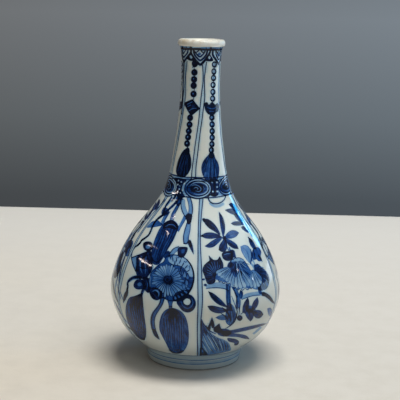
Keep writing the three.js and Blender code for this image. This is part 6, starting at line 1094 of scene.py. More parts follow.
def cut_wall():
    """Triangles of the whole outside in the domain: points (n, 2) and corners (m, 3)."""
    points, edges = [], []

    def chain(row):
        for a, b in zip(row, row[1:]):
            edges.append((a, b))
    first, last, marked = [], [], {}
    joints = []
    for name, z0, z1 in SECTIONS:
        s0, s1 = float(way_of(z0)), float(way_of(z1))
        n = int(round((s1 - s0) / GRID))
        zs = np.interp(np.linspace(s0, s1, n + 1), ST, ZT)
        zs[0], zs[-1] = z0, z1
        count, start = STRIPS[name]
        cuts = sorted(((math.radians(start) + 2 * math.pi * k / count + math.pi) % (2 * math.pi)) - math.pi for k in range(count))
        cuts = [c for c in cuts if abs(abs(c) - math.pi) > 1e-6]
        columns = {c: [] for c in cuts}
        for i, z in enumerate(zs):
            if i == 0 and joints:
                ids, ths = joints[-1]
            else:
                r = float(outer(z)[0])
                m = 12 * int(round(2 * math.pi * r / GRID / 12))
                ths = np.linspace(-math.pi, math.pi, m + 1)
                q = float(q_of(z))
                ids = list(range(len(points), len(points) + m + 1))
                points.extend((t * UNIT, q * UNIT) for t in ths)
                first.append(ids[0])
                last.append(ids[-1])
                if i in (0, len(zs) - 1):
                    chain(ids)
                    joints.append((ids, ths))
            for c in cuts:
                j = int(np.argmin(np.abs(ths - c)))
                if abs(ths[j] - c) < 1e-9:
                    columns[c].append(ids[j])
                else:
                    points.append((c * UNIT, float(q_of(z)) * UNIT))
                    columns[c].append(len(points) - 1)
                    if i in (0, len(zs) - 1):
                        edges.append((ids[j], len(points) - 1))
        for c in cuts:
            chain(columns[c])
    chain(first)
    chain(last)
    top = QT[-1]
    for ring, *_ in STROKES:
        ring = ring.copy()
        ring[:, 1] = np.clip(ring[:, 1], 0, top)
        base = len(points)
        points.extend((x * UNIT, y * UNIT) for x, y in ring.tolist())
        m = len(ring)
        edges.extend((base + i, base + (i + 1) % m) for i in range(m))
    found = delaunay_2d_cdt([Vector(p) for p in points], edges, [], 0, 2e-3, False)
    v = np.array([tuple(p) for p in found[0]], float) / UNIT
    for side in (-math.pi, math.pi):
        v[np.abs(v[:, 0] - side) < NEAR, 0] = side
    for z in (FOOT, SEAM, ROOT, LIP):
        v[np.abs(v[:, 1] - q_of(z)) < NEAR, 1] = q_of(z)
    t = np.array(found[2], int)
    c = v[t].mean(1)
    a, b = v[t[:, 1]] - v[t[:, 0]], v[t[:, 2]] - v[t[:, 0]]
    area = a[:, 0] * b[:, 1] - a[:, 1] * b[:, 0]
    t[area < 0] = t[area < 0][:, ::-1]
    keep = (np.abs(c[:, 0]) < math.pi) & (c[:, 1] > 0) & (c[:, 1] < top) & (np.abs(area) > 1e-12)
    return v, t[keep]


class Bins:
    """Finds the triangles whose middles lie in a box."""

    def __init__(self, c, cell=0.06):
        self.c, self.cell = c, cell
        self.lo = c.min(0)
        self.n = (np.floor((c.max(0) - self.lo) / cell).astype(int) + 1)
        i = np.floor((c - self.lo) / cell).astype(int)
        key = i[:, 1] * self.n[0] + i[:, 0]
        self.order = np.argsort(key, kind="stable")
        self.starts = np.searchsorted(key[self.order], np.arange(self.n[0] * self.n[1] + 1))

    def within(self, lo, hi):
        a = np.clip(np.floor((lo - self.lo) / self.cell).astype(int), 0, self.n - 1)
        b = np.clip(np.floor((hi - self.lo) / self.cell).astype(int), 0, self.n - 1)
        runs = [self.order[self.starts[j * self.n[0] + a[0]]:self.starts[j * self.n[0] + b[0] + 1]] for j in range(a[1], b[1] + 1)]
        ids = np.concatenate(runs) if runs else np.zeros(0, int)
        c = self.c[ids]
        return ids[(c[:, 0] >= lo[0]) & (c[:, 0] <= hi[0]) & (c[:, 1] >= lo[1]) & (c[:, 1] <= hi[1])]


def wound(p, ring):
    """True for each point that the outline goes round."""
    out = np.zeros(len(p), bool)
    x1, y1 = ring.T
    x2, y2 = np.roll(ring, -1, 0).T
    step = max(1, 3000000 // len(ring))
    for s in range(0, len(p), step):
        px, py = p[s:s + step, 0:1], p[s:s + step, 1:2]
        side = (x2 - x1) * (py - y1) - (px - x1) * (y2 - y1)
        up = (y1 <= py) & (y2 > py) & (side > 0)
        down = (y1 > py) & (y2 <= py) & (side < 0)
        out[s:s + step] = (up.sum(1) - down.sum(1)) != 0
    return out


def brush_of(flow, corners, r, seed):
    """(across, along) in mm for corners (n, 2) of one stroke."""
    if flow is None:
        a = seed * 2.1
        u = np.array([math.cos(a), math.sin(a)])
        d = corners - corners.mean(0)
        return (d[:, 0] * -u[1] + d[:, 1] * u[0]) * r, (d @ u) * r
    if isinstance(flow[0], str) and flow[0] == "fan":
        d = corners - flow[1]
        rho = np.linalg.norm(d, axis=1)
        return np.arctan2(d[:, 1], d[:, 0]) * rho.mean() * r, rho * r
    if isinstance(flow[0], str):
        line = flow[1]
        s = np.concatenate([[0], np.cumsum(np.linalg.norm(np.diff(line, axis=0), axis=1))])
        tangent = np.gradient(line, axis=0)
        tangent /= np.maximum(np.linalg.norm(tangent, axis=1), 1e-12)[:, None]
        across, along = np.zeros(len(corners)), np.zeros(len(corners))
        step = max(1, 3000000 // len(line))
        for k in range(0, len(corners), step):
            c = corners[k:k + step]
            d = c[:, None, :] - line[None]
            i = np.argmin((d ** 2).sum(-1), 1)
            d = c - line[i]
            across[k:k + step] = d[:, 0] * -tangent[i, 1] + d[:, 1] * tangent[i, 0]
            along[k:k + step] = s[i] + (d * tangent[i]).sum(1)
        return across * r, along * r
    u = flow[2:] - flow[:2]
    u = u / max(np.linalg.norm(u), 1e-9)
    d = corners - flow[:2]
    return (d[:, 0] * -u[1] + d[:, 1] * u[0]) * r, (d @ u) * r


def lay_cobalt(v, t):
    """Cobalt, brush coordinates and streaks at each triangle's corners."""
    bins = Bins(v[t].mean(1))
    cobalt = np.zeros((len(t), 3))
    brush = np.zeros((len(t), 3, 3))
    streak = np.zeros((len(t), 3))
    for n, (ring, put, d, st, flow, g) in enumerate(STROKES):
        ids = bins.within(ring.min(0), ring.max(0))
        if not len(ids):
            continue
        ids = ids[wound(bins.c[ids], ring)]
        if not len(ids):
            continue
        corners = v[t[ids]].reshape(-1, 2)
        r = float(radius_at(np.clip(corners[:, 1].mean(), 0, QT[-1])))
        across, along = brush_of(flow, corners, r, n)
        local = np.full(len(corners), d)
        if g:
            local += g * (0.5 - (along - along.min()) / max(np.ptp(along), 1e-9))
        local = np.clip(local, 0, 0.985).reshape(-1, 3)
        cobalt[ids] = local if put else 1 - (1 - cobalt[ids]) * (1 - local)
        brush[ids] = np.stack([across, along, np.full(len(across), (n * 7.31) % 211)], -1).reshape(-1, 3, 3)
        streak[ids] = st
    return cobalt, brush, streak


def blurred(v, t, cobalt):
    """The cobalt round each point: the mean of its faces, and the haze that it bleeds into the glaze."""
    a, b = v[t[:, 1]] - v[t[:, 0]], v[t[:, 2]] - v[t[:, 0]]
    area = np.abs(a[:, 0] * b[:, 1] - a[:, 1] * b[:, 0])
    mean = cobalt.mean(1)
    total, weight = np.zeros(len(v)), np.zeros(len(v))
    for k in range(3):
        np.add.at(total, t[:, k], mean * area)
        np.add.at(weight, t[:, k], area)
    soft = total / np.maximum(weight, 1e-15)
    cell = 0.35 / UNIT
    nx, ny = int(2 * math.pi / cell) + 1, int(QT[-1] / cell) + 1
    c = v[t].mean(1)
    i = np.clip(((c[:, 0] + math.pi) / cell).astype(int), 0, nx - 1)
    j = np.clip((c[:, 1] / cell).astype(int), 0, ny - 1)
    top, low = np.zeros((ny, nx)), np.zeros((ny, nx))
    np.add.at(top, (j, i), mean * area)
    np.add.at(low, (j, i), area)
    k = np.exp(-0.5 * (np.arange(-8, 9) / 3.2) ** 2)
    for m in (0, 1):
        top = sum(w * np.roll(top, o, m) for o, w in zip(range(-8, 9), k))
        low = sum(w * np.roll(low, o, m) for o, w in zip(range(-8, 9), k))
    haze = top / np.maximum(low, low.max() * 1e-7)
    i = np.clip(((v[:, 0] + math.pi) / cell).astype(int), 0, nx - 1)
    j = np.clip((v[:, 1] / cell).astype(int), 0, ny - 1)
    return soft, haze[j, i]


# ---------------------------------------------------------------- mesh helpers

def pack_charts(sizes, gap=0.006):
    """Places (width, height) charts, in mm, in the unit square: (scale, [(x, y), ...])."""
    order = sorted(range(len(sizes)), key=lambda i: -sizes[i][1])

    def fits(scale):
        spots, x, y, row = {}, gap, gap, 0.0
        for i in order:
            w, h = sizes[i][0] * scale, sizes[i][1] * scale
            if x + w + gap > 1:
                x, y, row = gap, y + row + gap, 0.0
            if x + w + gap > 1 or y + h + gap > 1:
                return None
            spots[i] = (x, y)
            x += w + gap
            row = max(row, h)
        return spots
    lo, hi = 0.0, 1.0
    for _ in range(40):
        mid = (lo + hi) / 2
        if fits(mid):
            lo = mid
        else:
            hi = mid
    spots = fits(lo)
    return lo, [spots[i] for i in range(len(sizes))]


def new_object(name, points, faces, material):
    mesh = bpy.data.meshes.new(name)
    mesh.from_pydata((np.asarray(points) * MM).tolist(), [], faces)
    mesh.polygons.foreach_set("use_smooth", np.ones(len(mesh.polygons), bool))
    mesh.materials.append(material)
    mesh.update()
    obj = bpy.data.objects.new(name, mesh)
    bpy.context.scene.collection.objects.link(obj)
    return obj


def set_corner(mesh, name, kind, values):
    a = mesh.attributes.new(name, kind, "CORNER")
    a.data.foreach_set("vector" if kind == "FLOAT_VECTOR" else "value", np.ascontiguousarray(values, np.float32).ravel())


def set_point(mesh, name, values):
    a = mesh.attributes.new(name, "FLOAT", "POINT")
    a.data.foreach_set("value", np.ascontiguousarray(values, np.float32).ravel())


def set_uv(mesh, uv):
    layer = mesh.uv_layers.new(name="OFBake")
    layer.uv.foreach_set("vector", np.ascontiguousarray(uv, np.float32).ravel())


def ring_between(a, b, angle_a, angle_b, up):
    """Triangles of the flat ring between two loops, each in order round the axis."""
    n, m = len(a), len(b)
    out, i, j = [], 0, 0
    while i < n or j < m:
        ta = angle_a[(i + 1) % n] + (2 * math.pi if i + 1 >= n else 0)
        tb = angle_b[(j + 1) % m] + (2 * math.pi if j + 1 >= m else 0)
        if j >= m or (i < n and ta <= tb):
            out.append((a[i % n], a[(i + 1) % n], b[j % m]))
            i += 1
        else:
            out.append((a[i % n], b[(j + 1) % m], b[j % m]))
            j += 1
    return out if up else [t[::-1] for t in out]


def slits(tris):
    """Triangles that close the hair-thin gaps where a vertex lies on another face's straight edge."""
    edges = set(map(tuple, np.concatenate([tris[:, [0, 1]], tris[:, [1, 2]], tris[:, [2, 0]]]).tolist()))
    after = {b: a for a, b in edges if (b, a) not in edges}
    out = []
    while after:
        loop, at = [], min(after)
        while at in after:
            loop.append(at)
            at = after.pop(at)
        out += [(loop[0], loop[i], loop[i + 1]) for i in range(1, len(loop) - 1)]
    return np.array(out, int).reshape(-1, 3)


def build_walls(material):
    v, t = cut_wall()
    cobalt, brush, streak = lay_cobalt(v, t)
    soft, haze = blurred(v, t, cobalt)
    # one vertex on both sides of the line where the domain closes
    weld = np.arange(len(v))
    left = np.nonzero(v[:, 0] == -math.pi)[0]
    right = np.nonzero(v[:, 0] == math.pi)[0]
    left = left[np.argsort(v[left, 1])]
    for i in right:
        j = left[int(np.argmin(np.abs(v[left, 1] - v[i, 1])))]
        weld[i] = j
        mean = (soft[i] + soft[j]) / 2
        soft[i] = soft[j] = mean
        haze[i] = haze[j] = (haze[i] + haze[j]) / 2
    c = v[t].mean(1)
    made = {}
    for name, z0, z1 in SECTIONS:
        q0, q1 = float(q_of(z0)), float(q_of(z1))
        ids = np.nonzero((c[:, 1] > q0) & (c[:, 1] < q1))[0]
        tw = weld[t[ids]]
        used, local = np.unique(tw, return_inverse=True)
        local = local.reshape(-1, 3)
        flat = (local[:, 0] == local[:, 1]) | (local[:, 1] == local[:, 2]) | (local[:, 0] == local[:, 2])
        ids, local = ids[~flat], local[~flat]
        theta, z = v[used, 0], z_of(v[used, 1])
        low, high = v[used, 1] == q0, v[used, 1] == q1
        z[low], z[high] = z0, z1
        p_out = wall_point(theta, z)
        # corner values of the outside
        ct, cz = v[t[ids]][..., 0].ravel(), z_of(v[t[ids]][..., 1].ravel())
        normals = [wall_normal(ct, cz)]
        tris = [local]
        # inside
        n_in = 96
        s0, s1 = float(way_of(z0)), float(way_of(z1))
        rows = np.interp(np.linspace(s0, s1, max(8, int((s1 - s0) / 3.5)) + 1), ST, ZT)
        rows[0], rows[-1] = z0, z1
        th = np.linspace(-math.pi, math.pi, n_in, endpoint=False)
        base = len(used)
        r_in = inner_radius(rows)
        p_in = np.stack([np.outer(r_in, np.sin(th)), -np.outer(r_in, np.cos(th)), np.repeat(rows[:, None], n_in, 1)], -1).reshape(-1, 3)
        slope = np.gradient(r_in, rows)
        inner_tris, inner_norm, inner_uv = [], [], []
        ref_in = float(r_in.mean())
        way_in = np.concatenate([[0], np.cumsum(np.hypot(np.diff(r_in), np.diff(rows)))])
        for i in range(len(rows) - 1):
            for j in range(n_in):
                k = (j + 1) % n_in
                quad = ((i, j), (i + 1, j), (i + 1, k), (i, k))
                for tri in ((0, 1, 2), (0, 2, 3)):
                    inner_tris.append([base + quad[m][0] * n_in + quad[m][1] for m in tri])
                    for m in tri:
                        ri, jj = quad[m]
                        a = th[j] + (2 * math.pi / n_in if jj == k else 0)
                        nn = np.array([-math.sin(a), math.cos(a), slope[ri]])
                        inner_norm.append(nn / np.linalg.norm(nn))
                        inner_uv.append(((a + math.pi) * ref_in, way_in[ri]))
        # flat rings at the joints
        loops = []
        for mask, row, up in ((low, 0, False), (high, len(rows) - 1, True)):
            ring = np.nonzero(mask)[0]
            ring = ring[np.argsort(theta[ring])]
            inner_ids = [base + row * n_in + j for j in range(n_in)]
            loops.append(ring_between(list(ring), inner_ids, list(theta[ring]), list(th), up))
        points = np.vstack([p_out, p_in])
        cap_uv, cap_norm, cap_tris = [], [], []
        for k, tris_k in enumerate(loops):
            for tri in tris_k:
                cap_tris.append(tri)
                for m in tri:
                    cap_norm.append((0, 0, 1.0 if k else -1.0))
                    cap_uv.append((k, points[m][0], points[m][1]))
        # charts: strips of the outside, the inside, and the two joint rings
        count, start = STRIPS[name]
        ref = 0.5 * (float(outer(z0)[0]) + float(outer(z1)[0])) if name != "lower_body" else 71.0
        ref = max(ref, 0.88 * max(float(outer(z0)[0]), float(outer(z1)[0])))
        wide, tall = 2 * math.pi / count * ref, s1 - s0
        shrink = 0.4
        r_cap = [float(outer(z0)[0]), float(outer(z1)[0])]
        sizes = [(wide, tall)] * count + [(2 * math.pi * ref_in * shrink, way_in[-1] * shrink)] + [(2 * r * 0.15, 2 * r * 0.15) for r in r_cap]
        scale, spots = pack_charts(sizes)
        cen = c[ids, 0]
        turn = (cen - math.radians(start)) % (2 * math.pi)
        k = np.clip((turn / (2 * math.pi / count)).astype(int), 0, count - 1)
        offset = (turn - k * 2 * math.pi / count)[:, None] + (v[t[ids]][..., 0] - cen[:, None])
        spot = np.array(spots[:count])[k]
        u = spot[:, 0:1] + offset * ref * scale
        w = spot[:, 1:2] + (way_of(z_of(v[t[ids]][..., 1])) - s0) * scale
        uv = [np.stack([u.ravel(), w.ravel()], -1)]
        spot = spots[count]
        uv.append(np.array(spot) + np.array(inner_uv) * scale * shrink)
        cap_uv = np.array(cap_uv)
        which = cap_uv[:, 0].astype(int)
        centre = np.array(spots[count + 1:])[which] + np.array(r_cap)[which][:, None] * 0.15 * scale
        uv.append(centre + cap_uv[:, 1:] * 0.15 * scale)
        tris = np.vstack([local, np.array(inner_tris), np.array(cap_tris)])
        normals = np.vstack([normals[0], np.array(inner_norm), np.array(cap_norm)])
        more = slits(tris)
        if len(more) > 40:
            raise RuntimeError("the wall is torn")
        corner = np.zeros(len(points), int)
        corner[tris.ravel()[::-1]] = np.arange(tris.size)[::-1]
        beside = np.repeat(corner[more].min(1), 3)
        normals = np.vstack([normals, normals[beside]])
        uv.append(np.vstack(uv)[beside])
        tris = np.vstack([tris, more])
        obj = new_object(name + "_painted", points, tris.tolist(), material)
        mesh = obj.data
        if len(mesh.polygons) != len(tris):
            raise RuntimeError("the wall lost faces")
        extra = len(tris) * 3 - len(ids) * 3
        set_corner(mesh, "cobalt", "FLOAT", np.concatenate([cobalt[ids].ravel(), np.zeros(extra)]))
        set_corner(mesh, "streak", "FLOAT", np.concatenate([streak[ids].ravel(), np.zeros(extra)]))
        set_corner(mesh, "brush", "FLOAT_VECTOR", np.vstack([brush[ids].reshape(-1, 3), np.zeros((extra, 3))]))
        set_point(mesh, "soft", np.concatenate([soft[used], np.zeros(len(p_in))]))
        set_point(mesh, "haze", np.concatenate([haze[used], np.zeros(len(p_in))]))
        set_uv(mesh, np.vstack(uv))
        mesh.normals_split_custom_set(normals.tolist())
        print("wall", name, "faces", len(tris), "painted share %.3f" % float((cobalt[ids].mean(1) > 0.1).mean()))
        made[name] = obj
    return made


def revolve(name, profile, material, segments, sharp=(), warp=None, closed=True, values=None, charts=3):
    """Turns a [radius, height] outline, in mm, round the axis. warp(theta, r, z) -> (r, z) shapes it, and
    values(theta, r, z) gives its point attributes. sharp lists the outline's hard corners."""
    profile = np.array(profile, float)
    n = len(profile)
    th = np.linspace(-math.pi, math.pi, segments, endpoint=False)
    axis = [i for i in range(n) if profile[i, 0] < 1e-6]
    r = np.repeat(profile[:, 0:1], segments, 1)
    z = np.repeat(profile[:, 1:2], segments, 1)
    tt = np.repeat(th[None], n, 0)
    if warp:
        r, z = warp(tt, r, z)
    index = -np.ones((n, segments), int)
    points, data = [], []
    for i in range(n):
        if i in axis:
            index[i, :] = len(points)
            points.append((0, 0, float(z[i].mean())))
            data.append((0.0, 0.0, float(z[i].mean())))
        else:
            index[i] = np.arange(len(points), len(points) + segments)
            points.extend(zip(r[i] * np.sin(th), -r[i] * np.cos(th), z[i]))
            data.extend(zip(th, r[i], z[i]))
    way = np.concatenate([[0], np.cumsum(np.hypot(*np.diff(np.vstack([profile, profile[:1]]), axis=0).T))])
    faces, uv = [], []
    ref = float(np.mean(profile[:, 0]))
    pieces = [(2 * math.pi / charts * ref, way[-1 if closed else -2])] * charts
    scale, spots = pack_charts(pieces)
    for i in range(n if closed else n - 1):
        i2 = (i + 1) % n
        for j in range(segments):
            j2 = (j + 1) % segments
            k = min(j * charts // segments, charts - 1)
            left = j - k * segments / charts
            x0, x1 = [spots[k][0] + (left + o) * 2 * math.pi / segments * ref * scale for o in (0, 1)]
            y0, y1 = [spots[k][1] + way[m] * scale for m in (i, i + 1)]
            face = [index[i, j], index[i, j2], index[i2, j2], index[i2, j]]
            spot = [(x0, y0), (x1, y0), (x1, y1), (x0, y1)]
            clean, cuv = [], []
            for f, s in zip(face, spot):
                if int(f) not in clean:
                    clean.append(int(f))
                    cuv.append(s)
            if len(clean) > 2:
                faces.append(clean)
                uv.extend(cuv)
    obj = new_object(name, points, faces, material)
    mesh = obj.data
    set_uv(mesh, uv)
    if values:
        d = np.array(data)
        for key, val in values(d[:, 0], d[:, 1], d[:, 2]).items():
            set_point(mesh, key, val)
    if len(sharp):
        rings = {}
        for i in sharp:
            for j in range(segments):
                a, b = int(index[i, j]), int(index[i, (j + 1) % segments])
                rings[(min(a, b), max(a, b))] = True
        pairs = np.zeros(len(mesh.edges) * 2, np.int32)
        mesh.edges.foreach_get("vertices", pairs)
        flags = [(min(a, b), max(a, b)) in rings for a, b in pairs.reshape(-1, 2).tolist()]
        mesh.attributes.new("sharp_edge", "BOOLEAN", "EDGE").data.foreach_set("value", flags)
    return obj


def dense(points, step, corners=()):
    """A smooth outline through the points, with hard corners at those indices: (outline, corner indices)."""
    p = np.array(points, float)
    flags = [i in corners for i in range(len(p))]
    out, marks = [], []
    n = len(p)
    for i in range(n):
        a, b, c, d = p[i - 1], p[i], p[(i + 1) % n], p[(i + 2) % n]
        if flags[i]:
            a = 2 * b - c
            marks.append(sum(len(o) for o in out))
        if flags[(i + 1) % n]:
            d = 2 * c - b
        out.append(hermite(a, b, c, d, max(1, int(math.ceil(np.linalg.norm(c - b) / step)))))
    return np.vstack(out), marks


# ------------------------------------------------------------------- materials

class Tree:
    """A few short words for building a node material."""

    def __init__(self, name, kind="material"):
        if kind == "material":
            self.owner = bpy.data.materials.new(name)
            self.owner.use_nodes = True
        else:
            self.owner = bpy.data.worlds.new(name)
            self.owner.use_nodes = True
        self.t = self.owner.node_tree
        self.t.nodes.clear()

    def add(self, kind, inputs=None, **props):
        n = self.t.nodes.new(kind)
        for k, v in props.items():
            setattr(n, k, v)
        for k, v in (inputs or {}).items():
            self.put(n.inputs[k], v)
        return n

    def put(self, socket, value):
        if isinstance(value, bpy.types.NodeSocket):
            self.t.links.new(value, socket)
        else:
            socket.default_value = value

    def math(self, op, a, b=0.0, c=None, clamp=False):
        n = self.add("ShaderNodeMath", operation=op, use_clamp=clamp)
        self.put(n.inputs[0], a)
        self.put(n.inputs[1], b)
        if c is not None:
            self.put(n.inputs[2], c)
        return n.outputs[0]

    def mix(self, factor, a, b, blend="MIX"):
        n = self.add("ShaderNodeMix", data_type="RGBA", blend_type=blend)
        self.put(n.inputs["Factor"], factor)
        self.put(n.inputs[6], a)
        self.put(n.inputs[7], b)
        return n.outputs[2]

    def ramp(self, value, stops, mode="LINEAR"):
        n = self.add("ShaderNodeValToRGB")
        self.put(n.inputs[0], value)
        r = n.color_ramp
        r.interpolation = mode
        while len(r.elements) < len(stops):
            r.elements.new(0.5)
        for e, (pos, col) in zip(r.elements, stops):
            e.position = pos
        for e, (pos, col) in zip(r.elements, stops):
            e.color = (*col, 1) if len(col) == 3 else col
        return n.outputs[0]

    def noise(self, vector, scale, detail=2.0, rough=0.5, distortion=0.0):
        n = self.add("ShaderNodeTexNoise", {"Vector": vector, "Scale": scale, "Detail": detail, "Roughness": rough, "Distortion": distortion})
        return n.outputs[0]

    def span(self, value, a, b, lo=0.0, hi=1.0):
        n = self.add("ShaderNodeMapRange", {"Value": value, "From Min": a, "From Max": b, "To Min": lo, "To Max": hi}, clamp=True)
        return n.outputs[0]

    def attribute(self, name, out="Fac"):
        return self.add("ShaderNodeAttribute", attribute_name=name, attribute_type="GEOMETRY").outputs[out]


def grey(v):
    return (v, v, v)


GLAZE_COOL, GLAZE_WARM, GLAZE_MILK = (0.600, 0.670, 0.665), (0.650, 0.660, 0.600), (0.635, 0.685, 0.665)
COBALT = [(0.0, (1, 1, 1)), (0.10, (0.71, 0.85, 0.96)), (0.22, (0.45, 0.65, 0.90)), (0.35, (0.225, 0.435, 0.78)),
          (0.50, (0.078, 0.232, 0.60)), (0.65, (0.015, 0.100, 0.40)), (0.80, (0.004, 0.036, 0.190)), (0.92, (0.002, 0.012, 0.072)),
          (1.0, (0.001, 0.006, 0.030))]


def glaze_ground(t, pos):
    """The glaze's colour: cooler where it pooled thick, a little straw-coloured where it ran thin, with painted shade
    towards the foot.
    """
    big = t.noise(pos, 13.0, 2.0)
    mid = t.noise(pos, 55.0, 3.0, 0.6)
    c = t.mix(t.span(big, 0.40, 0.62), (*GLAZE_COOL, 1), (*GLAZE_WARM, 1))
    c = t.mix(t.span(mid, 0.35, 0.75, 0.0, 0.5), c, (*GLAZE_MILK, 1))
    # painted shade: the glaze is painted greyer and darker towards the foot, where the lower body lies in shade
    low = t.span(t.add("ShaderNodeSeparateXYZ", {"Vector": pos}).outputs[2], 0.060, 0.012, 0.0, 1.0)
    c = t.mix(t.math("MULTIPLY", low, 0.42), c, (0.32, 0.38, 0.41, 1))
    return c, big, mid


def specks(t, pos, colour, scale, size, share, tone=(0.16, 0.10, 0.055)):
    """Small iron specks and pinholes."""
    n = t.add("ShaderNodeTexVoronoi", {"Vector": pos, "Scale": scale, "Randomness": 1.0})
    near = t.span(n.outputs["Distance"], size, size * 0.5)
    some = t.math("GREATER_THAN", t.add("ShaderNodeSeparateColor", {"Color": n.outputs["Color"]}).outputs[0], 1 - share)
    return t.mix(t.math("MULTIPLY", near, some), colour, (*tone, 1))


def finish_shader(t, colour, rough, bump_height, bump_distance, strength=1.0, ior=1.5, coat=None):
    height = t.add("ShaderNodeBump", {"Strength": strength, "Distance": bump_distance, "Height": bump_height})
    b = t.add("ShaderNodeBsdfPrincipled", {"Base Color": colour, "Roughness": rough, "Normal": height.outputs[0], "IOR": ior})
    if coat:
        b.inputs["Coat Weight"].default_value = coat[0]
        b.inputs["Coat Roughness"].default_value = coat[1]
        b.inputs["Coat IOR"].default_value = 1.5
    out = t.add("ShaderNodeOutputMaterial")
    t.t.links.new(b.outputs[0], out.inputs[0])
    return b


def painted_glaze():
    t = Tree("painted_glaze")
    pos = t.add("ShaderNodeTexCoord").outputs["Object"]
    ground, big, mid = glaze_ground(t, pos)
    cobalt, streak = t.attribute("cobalt"), t.attribute("streak")
    soft, haze = t.attribute("soft"), t.attribute("haze")
    brush = t.attribute("brush", "Vector")
    # the brush's hairs: noise drawn out along the stroke
    hairs = t.noise(t.add("ShaderNodeMapping", {"Vector": brush, "Scale": (1.9, 0.10, 1.0)}).outputs[0], 1.0, 3.0, 0.55)
    broad = t.noise(t.add("ShaderNodeMapping", {"Vector": brush, "Scale": (0.45, 0.07, 1.0)}).outputs[0], 1.0, 1.0)
    pool = t.noise(pos, 260.0, 2.0, 0.6)
    grain = t.noise(pos, 1500.0, 1.0)
    d = t.math("ADD", t.math("MULTIPLY", cobalt, 0.66), t.math("MULTIPLY", soft, 0.34))
    swing = t.math("ADD", t.math("SUBTRACT", hairs, 0.5), t.math("MULTIPLY", t.math("SUBTRACT", broad, 0.5), 0.8))
    d = t.math("MULTIPLY", d, t.math("ADD", 1.0, t.math("MULTIPLY", swing, t.math("MULTIPLY", streak, 1.5))))
    d = t.math("MULTIPLY", d, t.span(pool, 0.3, 0.7, 0.88, 1.08))
    d = t.math("MULTIPLY", d, t.span(grain, 0.25, 0.75, 0.93, 1.06))
    d = t.math("ADD", d, t.math("MULTIPLY", haze, 0.16), clamp=True)
    colour = t.mix(1.0, ground, t.ramp(d, COBALT), "MULTIPLY")
    colour = specks(t, pos, colour, 48.0, 0.020, 0.30)
    rough = t.math("ADD", t.span(mid, 0.3, 0.7, 0.035, 0.075), t.math("MULTIPLY", t.span(grain, 0.3, 0.7), 0.015))
    ripple = t.math("ADD", t.noise(pos, 95.0, 2.0, 0.45), t.math("MULTIPLY", t.noise(pos, 420.0, 1.0), 0.12))
    finish_shader(t, colour, rough, ripple, 0.00022, 0.55, ior=1.39)
    return t.owner


def lip_glaze():
    t = Tree("lip")
    pos = t.add("ShaderNodeTexCoord").outputs["Object"]
    worn, chip = t.attribute("worn"), t.attribute("chip")
    patch = t.noise(pos, 190.0, 3.0, 0.6)
    fine = t.noise(pos, 900.0, 2.0, 0.6)
    base = t.mix(t.span(t.noise(pos, 45.0, 2.0), 0.35, 0.65), (0.735, 0.725, 0.655, 1), (0.775, 0.775, 0.735, 1))
    # brown wear and stain on the rim, with painted shade in it: the brown is laid heavier on the front-left, the side
    # in shade
    amount = t.math("MULTIPLY", t.math("MULTIPLY", worn, 0.8), t.span(patch, 0.34, 0.68), clamp=True)
    base = t.mix(amount, base, (0.52, 0.43, 0.27, 1))
    base = t.mix(t.math("MULTIPLY", amount, t.span(fine, 0.55, 0.7)), base, (0.30, 0.22, 0.13, 1))
    base = t.mix(chip, base, (0.50, 0.44, 0.36, 1))
    base = specks(t, pos, base, 240.0, 0.10, 0.22)
    rough = t.math("ADD", t.span(patch, 0.3, 0.7, 0.12, 0.22), t.math("MULTIPLY", t.math("MAXIMUM", chip, t.math("MULTIPLY", worn, 0.4)), 0.45), clamp=True)
    finish_shader(t, base, rough, t.math("ADD", patch, t.math("MULTIPLY", fine, 0.3)), 0.00018, 0.7)
    return t.owner


def foot_glaze():
    t = Tree("foot")
    pos = t.add("ShaderNodeTexCoord").outputs["Object"]
    ground, big, mid = glaze_ground(t, pos)
    cobalt, bare, edge = t.attribute("cobalt"), t.attribute("bare"), t.attribute("edge")
    pool = t.noise(pos, 160.0, 3.0, 0.6)
    d = t.math("MULTIPLY", cobalt, t.span(pool, 0.3, 0.7, 0.72, 1.15), clamp=True)
    colour = t.mix(1.0, ground, t.ramp(d, COBALT), "MULTIPLY")
    ragged = t.math("ADD", bare, t.math("MULTIPLY", t.math("SUBTRACT", pool, 0.5), 0.7))
    clay = t.mix(t.span(t.noise(pos, 700.0, 3.0, 0.7), 0.35, 0.65), (0.42, 0.35, 0.26, 1), (0.30, 0.22, 0.14, 1))
    # near-black band at the foot's lower edge: partly the rim's own brown, partly painted shade at the floor
    colour = t.mix(t.span(t.math("ADD", edge, t.math("MULTIPLY", t.math("SUBTRACT", pool, 0.5), 0.5)), 0.35, 0.75), colour, (0.115, 0.085, 0.060, 1))
    colour = t.mix(t.span(ragged, 0.45, 0.55), colour, clay)
    colour = specks(t, pos, colour, 120.0, 0.05, 0.25)
    rough = t.math("ADD", 0.10, t.math("MULTIPLY", t.span(ragged, 0.4, 0.6), 0.65), clamp=True)
    finish_shader(t, colour, rough, t.math("ADD", pool, t.math("MULTIPLY", t.noise(pos, 1400.0, 2.0), t.span(ragged, 0.4, 0.6))), 0.0002, 0.5)
    return t.owner


def base_glaze():
    t = Tree("base")
    pos = t.add("ShaderNodeTexCoord").outputs["Object"]
    ground, big, mid = glaze_ground(t, pos)
    thin = t.attribute("thin")
    patch = t.noise(pos, 120.0, 4.0, 0.65)
    colour = t.mix(t.math("MULTIPLY", thin, t.span(patch, 0.35, 0.65)), ground, (0.50, 0.43, 0.32, 1))
    colour = specks(t, pos, colour, 160.0, 0.07, 0.35)
    colour = specks(t, pos, colour, 420.0, 0.12, 0.12)
    rough = t.span(patch, 0.3, 0.7, 0.12, 0.28)
    finish_shader(t, colour, rough, patch, 0.0003, 0.5)
    return t.owner


